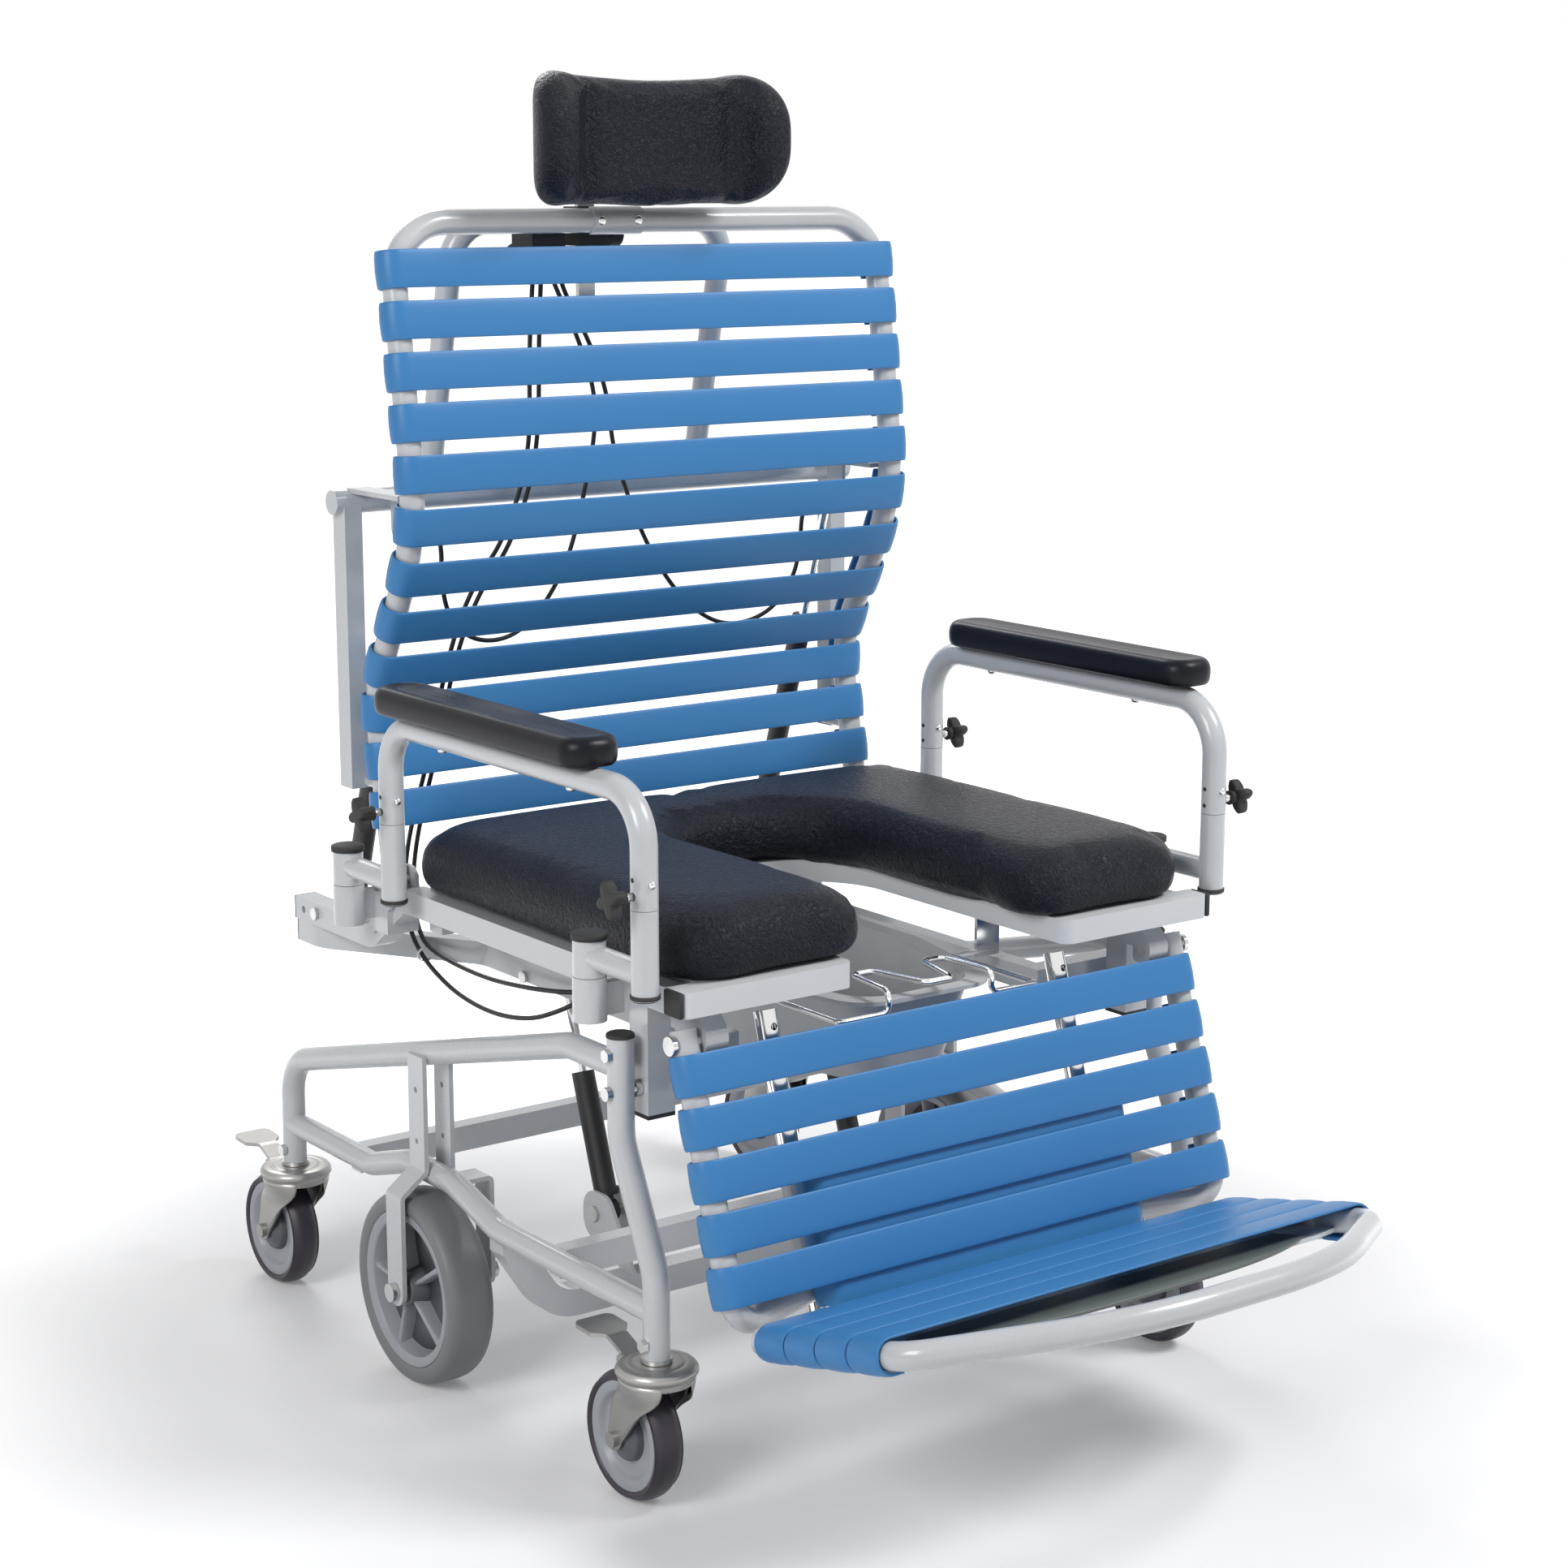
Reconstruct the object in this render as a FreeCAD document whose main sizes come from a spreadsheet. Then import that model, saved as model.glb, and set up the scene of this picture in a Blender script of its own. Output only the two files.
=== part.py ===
import FreeCAD, Part
import math
import os

from FreeCAD import Placement, Rotation, Vector

# Tilting shower commode chair, in millimetres.
# X runs across the chair with the occupant's left at +X. The front is -Y and Z is up.
# The wheels stand on Z = 0.
# Lengths along Y are measured from the middle of the wheelbase.
# The finished pieces are then moved to the origin.

DRIVING = {
    # Stock sizes
    "tube_diameter": 25.4,
    "tube_wall": 2.0,
    "rail_size": 25.0,
    "plate_gauge": 5.0,
    "thin_gauge": 4.0,
    "running_clearance": 0.05,
    "face_gap": 0.5,
    "pin_radius": 5.0,
    "hinge_radius": 6.0,
    "bolt_radius": 3.0,
    "bolt_head_radius": 6.5,
    "bolt_head_height": 5.0,
    "cap_height": 4.0,
    "cap_overhang": 0.8,
    # Base side frames
    "half_track": 331.0,
    "pivot_y": -335.0,
    "pivot_z": 390.0,
    "post_top_z": 442.0,
    "knee_top_z": 345.0,
    "knee_low_z": 228.0,
    "front_stem_y": -390.0,
    "rear_stem_y": 318.0,
    "post_foot_z": 150.0,
    "upper_rail_rear_z": 264.0,
    "upper_rail_front_z": 414.0,
    "upper_rail_bend_y": -250.0,
    "lower_rail_z": 193.0,
    "lower_tube_diameter": 25.0,
    "arch_rise": 25.0,
    "arch_half_length": 43.0,
    "arch_run_rear": 82.0,
    "arch_run_front": 87.0,
    "frame_bend": 50.0,
    # Base cross members
    "cross_depth": 20.0,
    "cross_height": 28.0,
    "cross_drop": 4.0,
    "rear_cross_y": 178.0,
    "strut_cross_y": -215.0,
    "dropped_cross_y": -108.0,
    "dropped_cross_z": 100.0,
    "dropped_cross_half": 270.0,
    "dropped_cross_depth": 25.0,
    # Casters
    "caster_diameter": 125.0,
    "caster_width": 32.0,
    "caster_trail": 38.0,
    "caster_axle_radius": 5.0,
    "fork_gauge": 3.0,
    "fork_gap": 4.0,
    "bell_radius": 32.0,
    "bell_top_z": 145.5,
    "bell_height": 18.0,
    "stem_radius": 6.0,
    "pedal_length": 70.0,
    "pedal_width": 42.0,
    "pedal_rise": 16.0,
    # Centre wheels
    "centre_diameter": 200.0,
    "centre_width": 50.0,
    "centre_y": 15.0,
    "centre_x": 343.0,
    "centre_axle_radius": 6.0,
    "hub_radius": 24.0,
    "hub_length": 50.0,
    "bracket_width": 30.0,
    "bracket_joggle_top": 224.0,
    "bracket_joggle_low": 202.0,
    "bracket_shelf_z": 204.0,
    "bracket_inner_x": 270.5,
    # Seat frame
    "rail_x": 302.0,
    "rail_z": 484.0,
    "rail_front_y": -395.0,
    "rail_drop_start_y": 95.0,
    "rail_drop_end_y": 165.0,
    "rail_tail_z": 432.0,
    "rail_tail_y": 330.0,
    "tail_hole_y": 312.0,
    "tail_hole_radius": 4.0,
    "front_post_x": 296.0,
    "front_post_size": 30.0,
    "front_post_foot_z": 366.0,
    "lower_rail_x": 197.0,
    "lower_rail_depth": 20.0,
    "lower_rail_jog_rear_y": 285.0,
    "lower_rail_jog_front_y": 120.0,
    # Seat board and pad
    "board_gauge": 24.0,
    "board_top_z": 500.0,
    "board_front_y": -425.0,
    "board_wing_half": 322.0,
    "board_opening_half": 130.0,
    "opening_half": 104.0,
    "opening_back_y": -40.0,
    "pad_half_width": 318.0,
    "pad_front_y": -422.0,
    "pad_rear_y": 98.0,
    "pad_height": 62.0,
    "pad_corner": 56.0,
    # Pan and rack
    "pan_half_width": 112.0,
    "pan_nose_half": 70.0,
    "pan_front_y": -366.0,
    "pan_rear_y": -40.0,
    "pan_rim_z": 440.0,
    "pan_depth": 92.0,
    "pan_wall": 3.0,
    "pan_lip": 14.0,
    "pan_draft": 22.0,
    "wire_diameter": 6.0,
    "wire_bend": 8.0,
    "tie_diameter": 5.0,
    "rack_front_y": -392.0,
    "rack_hanger_y": -262.0,
    "rack_rear_y": 40.0,
    "guard_half": 64.0,
    "guard_rise": 22.0,
    "guard_depth": 66.0,
    "hanger_x": 168.0,
    "hanger_width": 30.0,
    # Arms
    "arm_x": 348.0,
    "arm_rear_socket_y": 145.0,
    "arm_front_socket_y": -311.0,
    "arm_rear_post_y": 50.0,
    "arm_front_post_y": -402.0,
    "socket_radius": 16.0,
    "socket_foot_z": 455.0,
    "socket_top_z": 497.0,
    "sleeve_top_z": 533.0,
    "peg_radius": 9.0,
    "peg_length": 36.0,
    "arm_link_z": 517.0,
    "arm_post_foot_z": 499.0,
    "arm_seam_z": 577.0,
    "arm_inner_radius": 10.0,
    "arm_inner_length": 40.0,
    "arm_hoop_right_z": 680.0,
    "arm_hoop_left_z": 690.0,
    "arm_hoop_bend": 62.0,
    "arm_pad_half_width": 30.0,
    "arm_pad_height": 28.0,
    "arm_pad_length": 380.0,
    "arm_pad_rear_right_y": 45.0,
    "arm_pad_rear_left_y": 2.0,
    "knob_z": 590.0,
    "knob_radius": 17.0,
    "knob_length": 14.0,
    "knob_stand_off": 16.0,
    "knob_screw_radius": 4.0,
    # Back
    "back_x": 303.0,
    "back_hinge_y": 128.0,
    "back_hinge_z": 498.0,
    "sacral_y": 160.0,
    "sacral_z": 690.0,
    "lumbar_y": 66.0,
    "lumbar_z": 866.0,
    "back_top_y": 106.0,
    "back_top_z": 1167.0,
    "back_corner": 62.0,
    "lumbar_bend": 220.0,
    "sacral_bend": 130.0,
    "strap_height": 38.0,
    "strap_gauge": 3.0,
    "strap_clearance": 1.6,
    "strap_return": 12.0,
    "back_strap_pitch": 50.0,
    "back_strap_top_z": 1121.0,
    "back_strap_count": 12,
    # Push frame
    "push_bar_y": 192.0,
    "push_bar_z": 885.0,
    "push_bar_half": 330.0,
    "push_link_lift": 8.9,
    "handle_diameter": 25.0,
    "push_upright_x": 312.0,
    "push_upright_y": 192.0,
    "push_upright_foot_z": 587.5,
    "push_upright_width": 20.0,
    "push_upright_depth": 25.0,
    "handle_half": 172.0,
    "handle_top_y": 205.0,
    "handle_top_z": 1166.0,
    "handle_low_y": 268.0,
    "handle_bend": 45.0,
    # Headrest
    "head_x": -55.0,
    "head_pad_x": -25.0,
    "head_bar_width": 20.0,
    "head_bar_gauge": 6.0,
    "head_bar_y": 136.0,
    "head_bar_foot_z": 1080.0,
    "head_hinge_y": 106.0,
    "head_hinge_z": 1248.0,
    "head_pad_half": 155.0,
    "head_pad_low_z": 1181.0,
    "head_pad_top_z": 1319.0,
    "head_pad_back_y": 84.0,
    "head_pad_gauge": 46.0,
    "head_pad_wing": 50.0,
    # Levers
    "lever_x": -110.0,
    "lever_half_pitch": 9.0,
    "lever_z": 1146.0,
    "lever_length": 88.0,
    "lever_width": 10.0,
    "lever_wall": 6.0,
    # Legrest
    "leg_x": 300.0,
    "leg_hinge_y": -394.0,
    "leg_hinge_z": 444.0,
    "leg_lean": 0.31,
    "leg_foot_z": 196.0,
    "leg_bend": 28.0,
    "leg_strap_count": 5,
    "leg_strap_top_z": 416.0,
    "leg_strap_pitch": 46.0,
    "slide_x": 180.0,
    "slide_radius": 11.0,
    "slide_set_back": 40.0,
    "slide_top_z": 446.0,
    "sleeve_wall": 3.0,
    "slide_sleeve_foot_z": 186.0,
    "slide_sleeve_top_z": 322.0,
    "calf_strap_count": 4,
    "calf_strap_height": 25.0,
    # Footrest
    "foot_hinge_y": -505.0,
    "foot_hinge_z": 190.0,
    "foot_rise_angle": 14.0,
    "foot_x": 285.0,
    "foot_side_length": 195.0,
    "foot_reach": 310.0,
    "foot_nose_half": 120.0,
    "foot_tube_lift": 0.0,
    "foot_strap_count": 4,
    "foot_strap_height": 44.0,
    "foot_strap_pitch": 46.0,
    "foot_strap_start": 19.0,
    "foot_plate_half": 236.0,
    "foot_plate_length": 168.0,
    # Struts
    "tilt_strut_x": 160.0,
    "tilt_foot_y": -50.0,
    "tilt_foot_z": 160.0,
    "tilt_head_y": 32.0,
    "tilt_head_z": 400.0,
    "recline_strut_x": 269.0,
    "recline_foot_y": 283.0,
    "recline_foot_z": 433.0,
    "recline_head_y": 141.0,
    "recline_head_z": 862.0,
    "strut_radius": 12.0,
    "strut_rod_radius": 5.0,
    "strut_eye_radius": 11.0,
    "strut_eye_width": 14.0,
    "tilt_cylinder_length": 146.0,
    "recline_cylinder_length": 300.0,
    "tilt_eye_play": 0.9,
    "recline_eye_play": 3.2,
    # Cables
    "cable_radius": 2.5,
}

doc = FreeCAD.newDocument("shower_commode_chair")
sheet = doc.addObject("Spreadsheet::Sheet", "Sizes")
for row, (alias, value) in enumerate(DRIVING.items(), start=1):
    sheet.set(f"A{row}", alias)
    sheet.set(f"B{row}", str(value))
    sheet.setAlias(f"B{row}", alias)
doc.recompute()


class SheetValues:
    """Reads the sheet's aliases as plain numbers."""

    def __getattr__(self, alias):
        return float(sheet.get(alias))


V = SheetValues()
TUBE = "Sizes.tube_diameter / 2"
TUBE_BORE = "Sizes.tube_diameter / 2 - Sizes.tube_wall"
LOWER_TUBE = "Sizes.lower_tube_diameter / 2"
LOWER_BORE = "Sizes.lower_tube_diameter / 2 - Sizes.tube_wall"
SIDES = ((-1, "right"), (1, "left"))
ENDS = ("front", "rear")
NODES = {}


# Helpers that add objects to the document

def bind(obj, prop, rule):
    """Set a size from an expression on the sheet, or as a number that was worked out from it."""
    if isinstance(rule, str):
        obj.setExpression(prop, rule)
    else:
        setattr(obj, prop, rule)


def node(label, obj):
    """Keep an object as a finished sub-part under its own label."""
    obj.Label = label
    NODES[label] = obj
    return obj


def aim(origin, direction):
    """Placement that carries Z onto a direction."""
    return Placement(origin, Rotation(Vector(0, 0, 1), direction))


def cylinder(name, radius, origin, direction, height):
    obj = doc.addObject("Part::Cylinder", name)
    bind(obj, "Radius", radius)
    bind(obj, "Height", height)
    obj.Placement = aim(origin, direction)
    return obj


def block(name, low, high):
    """Box between two corners."""
    obj = doc.addObject("Part::Box", name)
    obj.Length = high.x - low.x
    obj.Width = high.y - low.y
    obj.Height = high.z - low.z
    obj.Placement = Placement(low, Rotation())
    return obj


def prism(name, sides, radius, origin, direction, height):
    obj = doc.addObject("Part::Prism", name)
    obj.Polygon = sides
    bind(obj, "Circumradius", radius)
    bind(obj, "Height", height)
    obj.Placement = aim(origin, direction)
    return obj


def fuse(name, shapes):
    if len(shapes) == 1:
        return shapes[0]
    obj = doc.addObject("Part::MultiFuse", name)
    obj.Shapes = shapes
    return obj


def cut(name, base, tools):
    if not tools:
        return base
    obj = doc.addObject("Part::Cut", name)
    obj.Base = base
    obj.Tool = fuse(name + "_tools", tools)
    return obj


def group(name, shapes):
    obj = doc.addObject("Part::Compound", name)
    obj.Links = shapes
    return obj


def bent_path(points, bend):
    """Straight runs joined by tangent arcs of one radius, less where a run is too short for it."""
    edges = []
    start = points[0]
    for before, corner, after in zip(points, points[1:], points[2:]):
        into = corner - before
        out = after - corner
        half_turn = into.getAngle(out) / 2
        reach = min(bend * math.tan(half_turn), 0.48 * into.Length, 0.48 * out.Length)
        radius = reach / math.tan(half_turn)
        into.normalize()
        out.normalize()
        first = corner - into * reach
        last = corner + out * reach
        inward = (out - into).normalize()
        middle = corner + inward * (radius / math.cos(half_turn) - radius)
        edges.append(Part.LineSegment(start, first).toShape())
        edges.append(Part.Arc(first, middle, last).toShape())
        start = last
    edges.append(Part.LineSegment(start, points[-1]).toShape())
    return Part.Wire(edges)


def sweep(name, points, bend, radius):
    """Round bar along straight runs and arcs."""
    spine = doc.addObject("Part::Feature", name + "_path")
    spine.Shape = bent_path(points, bend)
    ring = doc.addObject("Part::Circle", name + "_ring")
    bind(ring, "Radius", radius)
    ring.Placement = aim(points[0], points[1] - points[0])
    bar = doc.addObject("Part::Sweep", name)
    bar.Sections = [ring]
    bar.Spine = (spine, [])
    bar.Solid = True
    return bar


def tube_frame(name, runs, bend, extras=(), tools=()):
    """Welded round tube: the runs are joined outside and share one bore."""
    outer = [sweep(f"{name}_run{i}", points, bend, TUBE) for i, points in enumerate(runs)]
    bores = [sweep(f"{name}_bore{i}", points, bend, TUBE_BORE) for i, points in enumerate(runs)]
    skin = fuse(name + "_skin", outer + list(extras))
    return cut(name + "_weld", skin, bores + list(tools))


def origin_plane(body, role):
    return next(plane for plane in body.Origin.OriginFeatures if plane.Role == role)


def rounded(corners):
    """Closed outline of (u, v) or (u, v, radius) corners as sketch lines and arcs."""
    ends = []
    arcs = []
    count = len(corners)
    for index, corner in enumerate(corners):
        here = Vector(corner[0], corner[1], 0)
        radius = corner[2] if len(corner) > 2 else 0
        if not radius:
            ends.append((here, here))
            continue
        before = corners[index - 1]
        after = corners[(index + 1) % count]
        into = (here - Vector(before[0], before[1], 0)).normalize()
        out = (Vector(after[0], after[1], 0) - here).normalize()
        half_turn = into.getAngle(out) / 2
        reach = radius * math.tan(half_turn)
        first = here - into * reach
        last = here + out * reach
        inward = (out - into).normalize()
        middle = here + inward * (radius / math.cos(half_turn) - radius)
        ends.append((first, last))
        arcs.append((index, Part.Arc(first, middle, last)))
    outline = []
    arc_at = dict(arcs)
    for index in range(count):
        if index in arc_at:
            outline.append(arc_at[index])
        start = ends[index][1]
        stop = ends[(index + 1) % count][0]
        if start.distanceToPoint(stop) > 0.001:
            outline.append(Part.LineSegment(start, stop))
    return outline


def ribbon(points, width, bend):
    """Closed outline of a strip of one width that follows an open line, with rounded bends."""
    half = width / 2
    line = [Vector(u, v, 0) for u, v in points]
    left = []
    right = []
    for index, here in enumerate(line):
        into = (here - line[index - 1]).normalize() if index else None
        out = (line[index + 1] - here).normalize() if index + 1 < len(line) else None
        into = into or out
        out = out or into
        normal_in = Vector(-into.y, into.x, 0)
        normal_out = Vector(-out.y, out.x, 0)
        mitre = normal_in + normal_out
        mitre = mitre * (2 * half / mitre.dot(mitre)) if mitre.Length else normal_in * half
        turn = into.x * out.y - into.y * out.x
        near, far = max(bend - half, 0), bend + half
        inner_left = turn > 1e-9
        flat = abs(turn) < 1e-9
        a = here + mitre
        b = here - mitre
        left.append((a.x, a.y, 0 if flat else (near if inner_left else far)))
        right.append((b.x, b.y, 0 if flat else (far if inner_left else near)))
    return rounded(left + right[::-1])


def padded(name, outline, length, plane, origin=Vector(), rotation=Rotation()):
    """Body padded to both sides of a sketch on one of its origin planes."""
    body = doc.addObject("PartDesign::Body", name)
    sketch = body.newObject("Sketcher::SketchObject", name + "_outline")
    sketch.AttachmentSupport = [(origin_plane(body, plane), "")]
    sketch.MapMode = "FlatFace"
    for edge in outline:
        sketch.addGeometry(edge, False)
    pad = body.newObject("PartDesign::Pad", name + "_pad")
    pad.Profile = sketch
    bind(pad, "Length", length)
    pad.Midplane = True
    body.Placement = Placement(origin, rotation)
    return body


def turned(name, profile, origin, direction):
    """Body turned about its axis from an outline of (radius, height) corners."""
    body = doc.addObject("PartDesign::Body", name)
    sketch = body.newObject("Sketcher::SketchObject", name + "_profile")
    sketch.AttachmentSupport = [(origin_plane(body, "XZ_Plane"), "")]
    sketch.MapMode = "FlatFace"
    for edge in rounded(profile):
        sketch.addGeometry(edge, False)
    turn = body.newObject("PartDesign::Revolution", name + "_turn")
    turn.Profile = sketch
    turn.ReferenceAxis = (sketch, ["V_Axis"])
    turn.Angle = 360
    body.Placement = aim(origin, direction)
    return body


def stepped(name, steps, origin, direction):
    """Round pin made of (radius, start, stop) steps along its axis."""
    profile = [(0, steps[0][1])]
    for radius, start, stop in steps:
        profile += [(radius, start), (radius, stop)]
    profile.append((0, steps[-1][2]))
    return turned(name, profile, origin, direction)


def loft(name, wires):
    """Smooth solid through closed outlines of the same make-up."""
    sections = []
    for index, wire in enumerate(wires):
        section = doc.addObject("Part::Feature", f"{name}_section{index}")
        section.Shape = wire
        sections.append(section)
    obj = doc.addObject("Part::Loft", name)
    obj.Sections = sections
    obj.Solid = True
    return obj


def outline_wire(corners, placement):
    """Rounded outline as a wire in space."""
    wire = Part.Wire([edge.toShape() for edge in rounded(corners)])
    wire.Placement = placement
    return wire


def level(z):
    return Placement(Vector(0, 0, z), Rotation())


def strap(name, half_span, height, origin, lean):
    """Flat strap across two tubes, hooked round each of them; its back faces +Y before it leans."""
    wrap = V.tube_diameter / 2 + V.strap_clearance + V.strap_gauge / 2
    reach = half_span + wrap
    end = half_span - V.strap_return
    line = [(-end, wrap), (-reach, wrap), (-reach, -wrap), (reach, -wrap), (reach, wrap), (end, wrap)]
    outline = ribbon(line, V.strap_gauge, wrap * 0.99)
    return padded(name, outline, height, "XY_Plane", origin, Rotation(Vector(1, 0, 0), lean))


def bolt_head(name, origin, direction):
    return prism(name, 6, "Sizes.bolt_head_radius", origin, direction, "Sizes.bolt_head_height")


X = Vector(1, 0, 0)
Y = Vector(0, 1, 0)
Z = Vector(0, 0, 1)
TUBE_R = V.tube_diameter / 2
RAIL_HALF = V.rail_size / 2


# Base

def upper_rail_height(y):
    """Centre of the sloping upper rail at a place along the chair."""
    rise = V.upper_rail_front_z - V.upper_rail_rear_z
    return V.upper_rail_rear_z + rise * (V.rear_stem_y - y) / (V.rear_stem_y - V.upper_rail_bend_y)


def lower_rail_run(x):
    """Lower rail of one side, arched over the centre wheel."""
    arch_z = V.lower_rail_z + V.arch_rise
    rear_y = V.centre_y + V.arch_half_length
    front_y = V.centre_y - V.arch_half_length
    return [
        Vector(x, V.rear_stem_y, V.lower_rail_z),
        Vector(x, rear_y + V.arch_run_rear, V.lower_rail_z),
        Vector(x, rear_y, arch_z),
        Vector(x, front_y, arch_z),
        Vector(x, front_y - V.arch_run_front, V.lower_rail_z),
        Vector(x, V.front_stem_y, V.lower_rail_z),
    ]


def base_side_frame(side, hand):
    x = side * V.half_track
    post = [
        Vector(x, V.pivot_y, V.post_top_z),
        Vector(x, V.pivot_y, V.knee_top_z),
        Vector(x, V.front_stem_y, V.knee_low_z),
        Vector(x, V.front_stem_y, V.post_foot_z),
    ]
    rail = [
        Vector(x, V.rear_stem_y, V.post_foot_z),
        Vector(x, V.rear_stem_y, V.upper_rail_rear_z),
        Vector(x, V.upper_rail_bend_y, V.upper_rail_front_z),
        Vector(x, V.pivot_y, V.upper_rail_front_z),
    ]
    name = f"base_side_frame_{hand}"
    hole_start = Vector(x - V.tube_diameter, V.pivot_y, V.pivot_z)
    hole = cylinder(name + "_hole", "Sizes.pin_radius + Sizes.running_clearance", hole_start, X,
                    "Sizes.tube_diameter * 2")
    lower = sweep(name + "_lower", lower_rail_run(x), V.frame_bend, LOWER_TUBE)
    lower_bore = sweep(name + "_lower_bore", lower_rail_run(x), V.frame_bend, LOWER_BORE)
    node(name, tube_frame(name, [post, rail], V.frame_bend, extras=[lower], tools=[lower_bore, hole]))


def base_cross_tubes():
    """Rear, strut and dropped front cross members, coped to the lower rails."""
    half = V.half_track
    low = V.lower_rail_z - V.cross_drop - V.cross_height / 2
    members = []
    for name, y in (("rear_cross", V.rear_cross_y), ("strut_cross", V.strut_cross_y)):
        corner = Vector(half, V.cross_depth / 2, V.cross_height)
        members.append(
            block(name, Vector(-half, y - corner.y, low), Vector(half, y + corner.y, low + corner.z))
        )
    drop = [
        (-half, V.lower_rail_z),
        (-V.dropped_cross_half, V.dropped_cross_z),
        (V.dropped_cross_half, V.dropped_cross_z),
        (half, V.lower_rail_z),
    ]
    members.append(
        padded(
            "dropped_cross", ribbon(drop, V.cross_height, V.frame_bend), "Sizes.dropped_cross_depth",
            "XZ_Plane", Vector(0, V.dropped_cross_y, 0),
        )
    )
    coped = []
    for member in members:
        copes = [sweep(f"{member.Name}_cope_{hand}", lower_rail_run(side * half), V.frame_bend, LOWER_TUBE)
                 for side, hand in SIDES]
        ends = [block(f"{member.Name}_end_{hand}",
                      Vector(half if side > 0 else -half - V.tube_diameter, -half * 2, 0),
                      Vector(half + V.tube_diameter if side > 0 else -half, half * 2, half))
                for side, hand in SIDES]
        coped.append(cut(member.Name + "_coped", member, copes + ends))
    node("base_cross_tubes", group("base_cross_tubes", coped + strut_anchors()))


def anchor_gap():
    """Half the inside width of a strut anchor, with room for the eye."""
    return V.strut_radius + 2 * V.face_gap


def strut_anchors():
    """Round-topped plates on the dropped cross member, in pairs that hold the tilt strut pins."""
    top = V.dropped_cross_z + V.cross_height / 2
    front = V.dropped_cross_y - V.dropped_cross_depth / 2
    rear = V.dropped_cross_y + V.dropped_cross_depth / 2
    round_r = V.strut_eye_radius * 2.1
    y, z = V.tilt_foot_y, V.tilt_foot_z
    corners = [(front, top), (rear, top), (y + round_r, z - round_r, round_r * 0.95),
               (y + round_r, z + round_r, round_r * 0.95), (y - round_r, z + round_r, round_r * 0.9)]
    plates = []
    for side, hand in SIDES:
        for step, offset in (("inner", -1), ("outer", 1)):
            x = side * V.tilt_strut_x + offset * (anchor_gap() + V.thin_gauge / 2)
            plate = padded(
                f"anchor_{hand}_{step}", rounded(corners), "Sizes.thin_gauge", "YZ_Plane", Vector(x, 0, 0),
            )
            hole = cylinder(f"anchor_{hand}_{step}_hole", "Sizes.pin_radius + Sizes.running_clearance",
                            Vector(x - V.thin_gauge, y, z), X, "Sizes.thin_gauge * 2")
            plates.append(cut(f"anchor_{hand}_{step}_drilled", plate, [hole]))
    return plates


def bracket_outer_x():
    """Centre of the outer flat bar beside the centre wheel."""
    return V.centre_x + V.hub_length / 2 + V.face_gap + 4 + V.plate_gauge / 2


def wheel_brackets():
    """Joggled flat bars that hold each centre wheel's axle from both sides."""
    top = upper_rail_height(V.centre_y)
    axle_z = V.centre_diameter / 2
    outer_top = V.half_track + TUBE_R + V.plate_gauge / 2
    inner_top = V.half_track - TUBE_R - V.plate_gauge / 2
    bars = []
    for side, hand in SIDES:
        lines = {
            "outer": [
                (outer_top, top), (outer_top, V.bracket_joggle_top),
                (bracket_outer_x(), V.bracket_joggle_low), (bracket_outer_x(), axle_z),
            ],
            "inner": [
                (inner_top, top), (inner_top, V.bracket_shelf_z), (V.bracket_inner_x, V.bracket_shelf_z),
                (V.bracket_inner_x, axle_z),
            ],
        }
        for place, line in lines.items():
            name = f"wheel_bar_{hand}_{place}"
            strip = ribbon([(side * u, v) for u, v in line], V.plate_gauge, V.plate_gauge)
            flat = padded(name, strip, "Sizes.bracket_width", "XZ_Plane", Vector(0, V.centre_y, 0))
            low_x = side * line[-1][0]
            end = cylinder(name + "_end", "Sizes.bracket_width / 2",
                           Vector(low_x - V.plate_gauge / 2, V.centre_y, axle_z), X, "Sizes.plate_gauge")
            axle = cylinder(name + "_axle_hole", "Sizes.centre_axle_radius + Sizes.running_clearance",
                            Vector(low_x - V.plate_gauge, V.centre_y, axle_z), X, "Sizes.plate_gauge * 2")
            top_x = side * line[0][0]
            holes = [cylinder(f"{name}_hole{i}", "Sizes.bolt_radius",
                              Vector(top_x - V.plate_gauge, V.centre_y, z), X, "Sizes.plate_gauge * 2")
                     for i, z in enumerate((V.bracket_joggle_top + 30, V.bracket_joggle_top + 84))]
            bars.append(cut(name + "_drilled", fuse(name + "_bar", [flat, end]), [axle] + holes))
    node("wheel_brackets", group("wheel_brackets", bars))


def base_end_caps():
    caps = []
    for side, hand in SIDES:
        rim = TUBE_R + V.cap_overhang
        profile = [(0, 0), (rim, 0), (rim, V.cap_height, V.cap_height * 0.6), (0, V.cap_height)]
        caps.append(
            turned(f"post_cap_{hand}", profile, Vector(side * V.half_track, V.pivot_y, V.post_top_z), Z)
        )
    node("base_end_caps", group("base_end_caps", caps))


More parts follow.
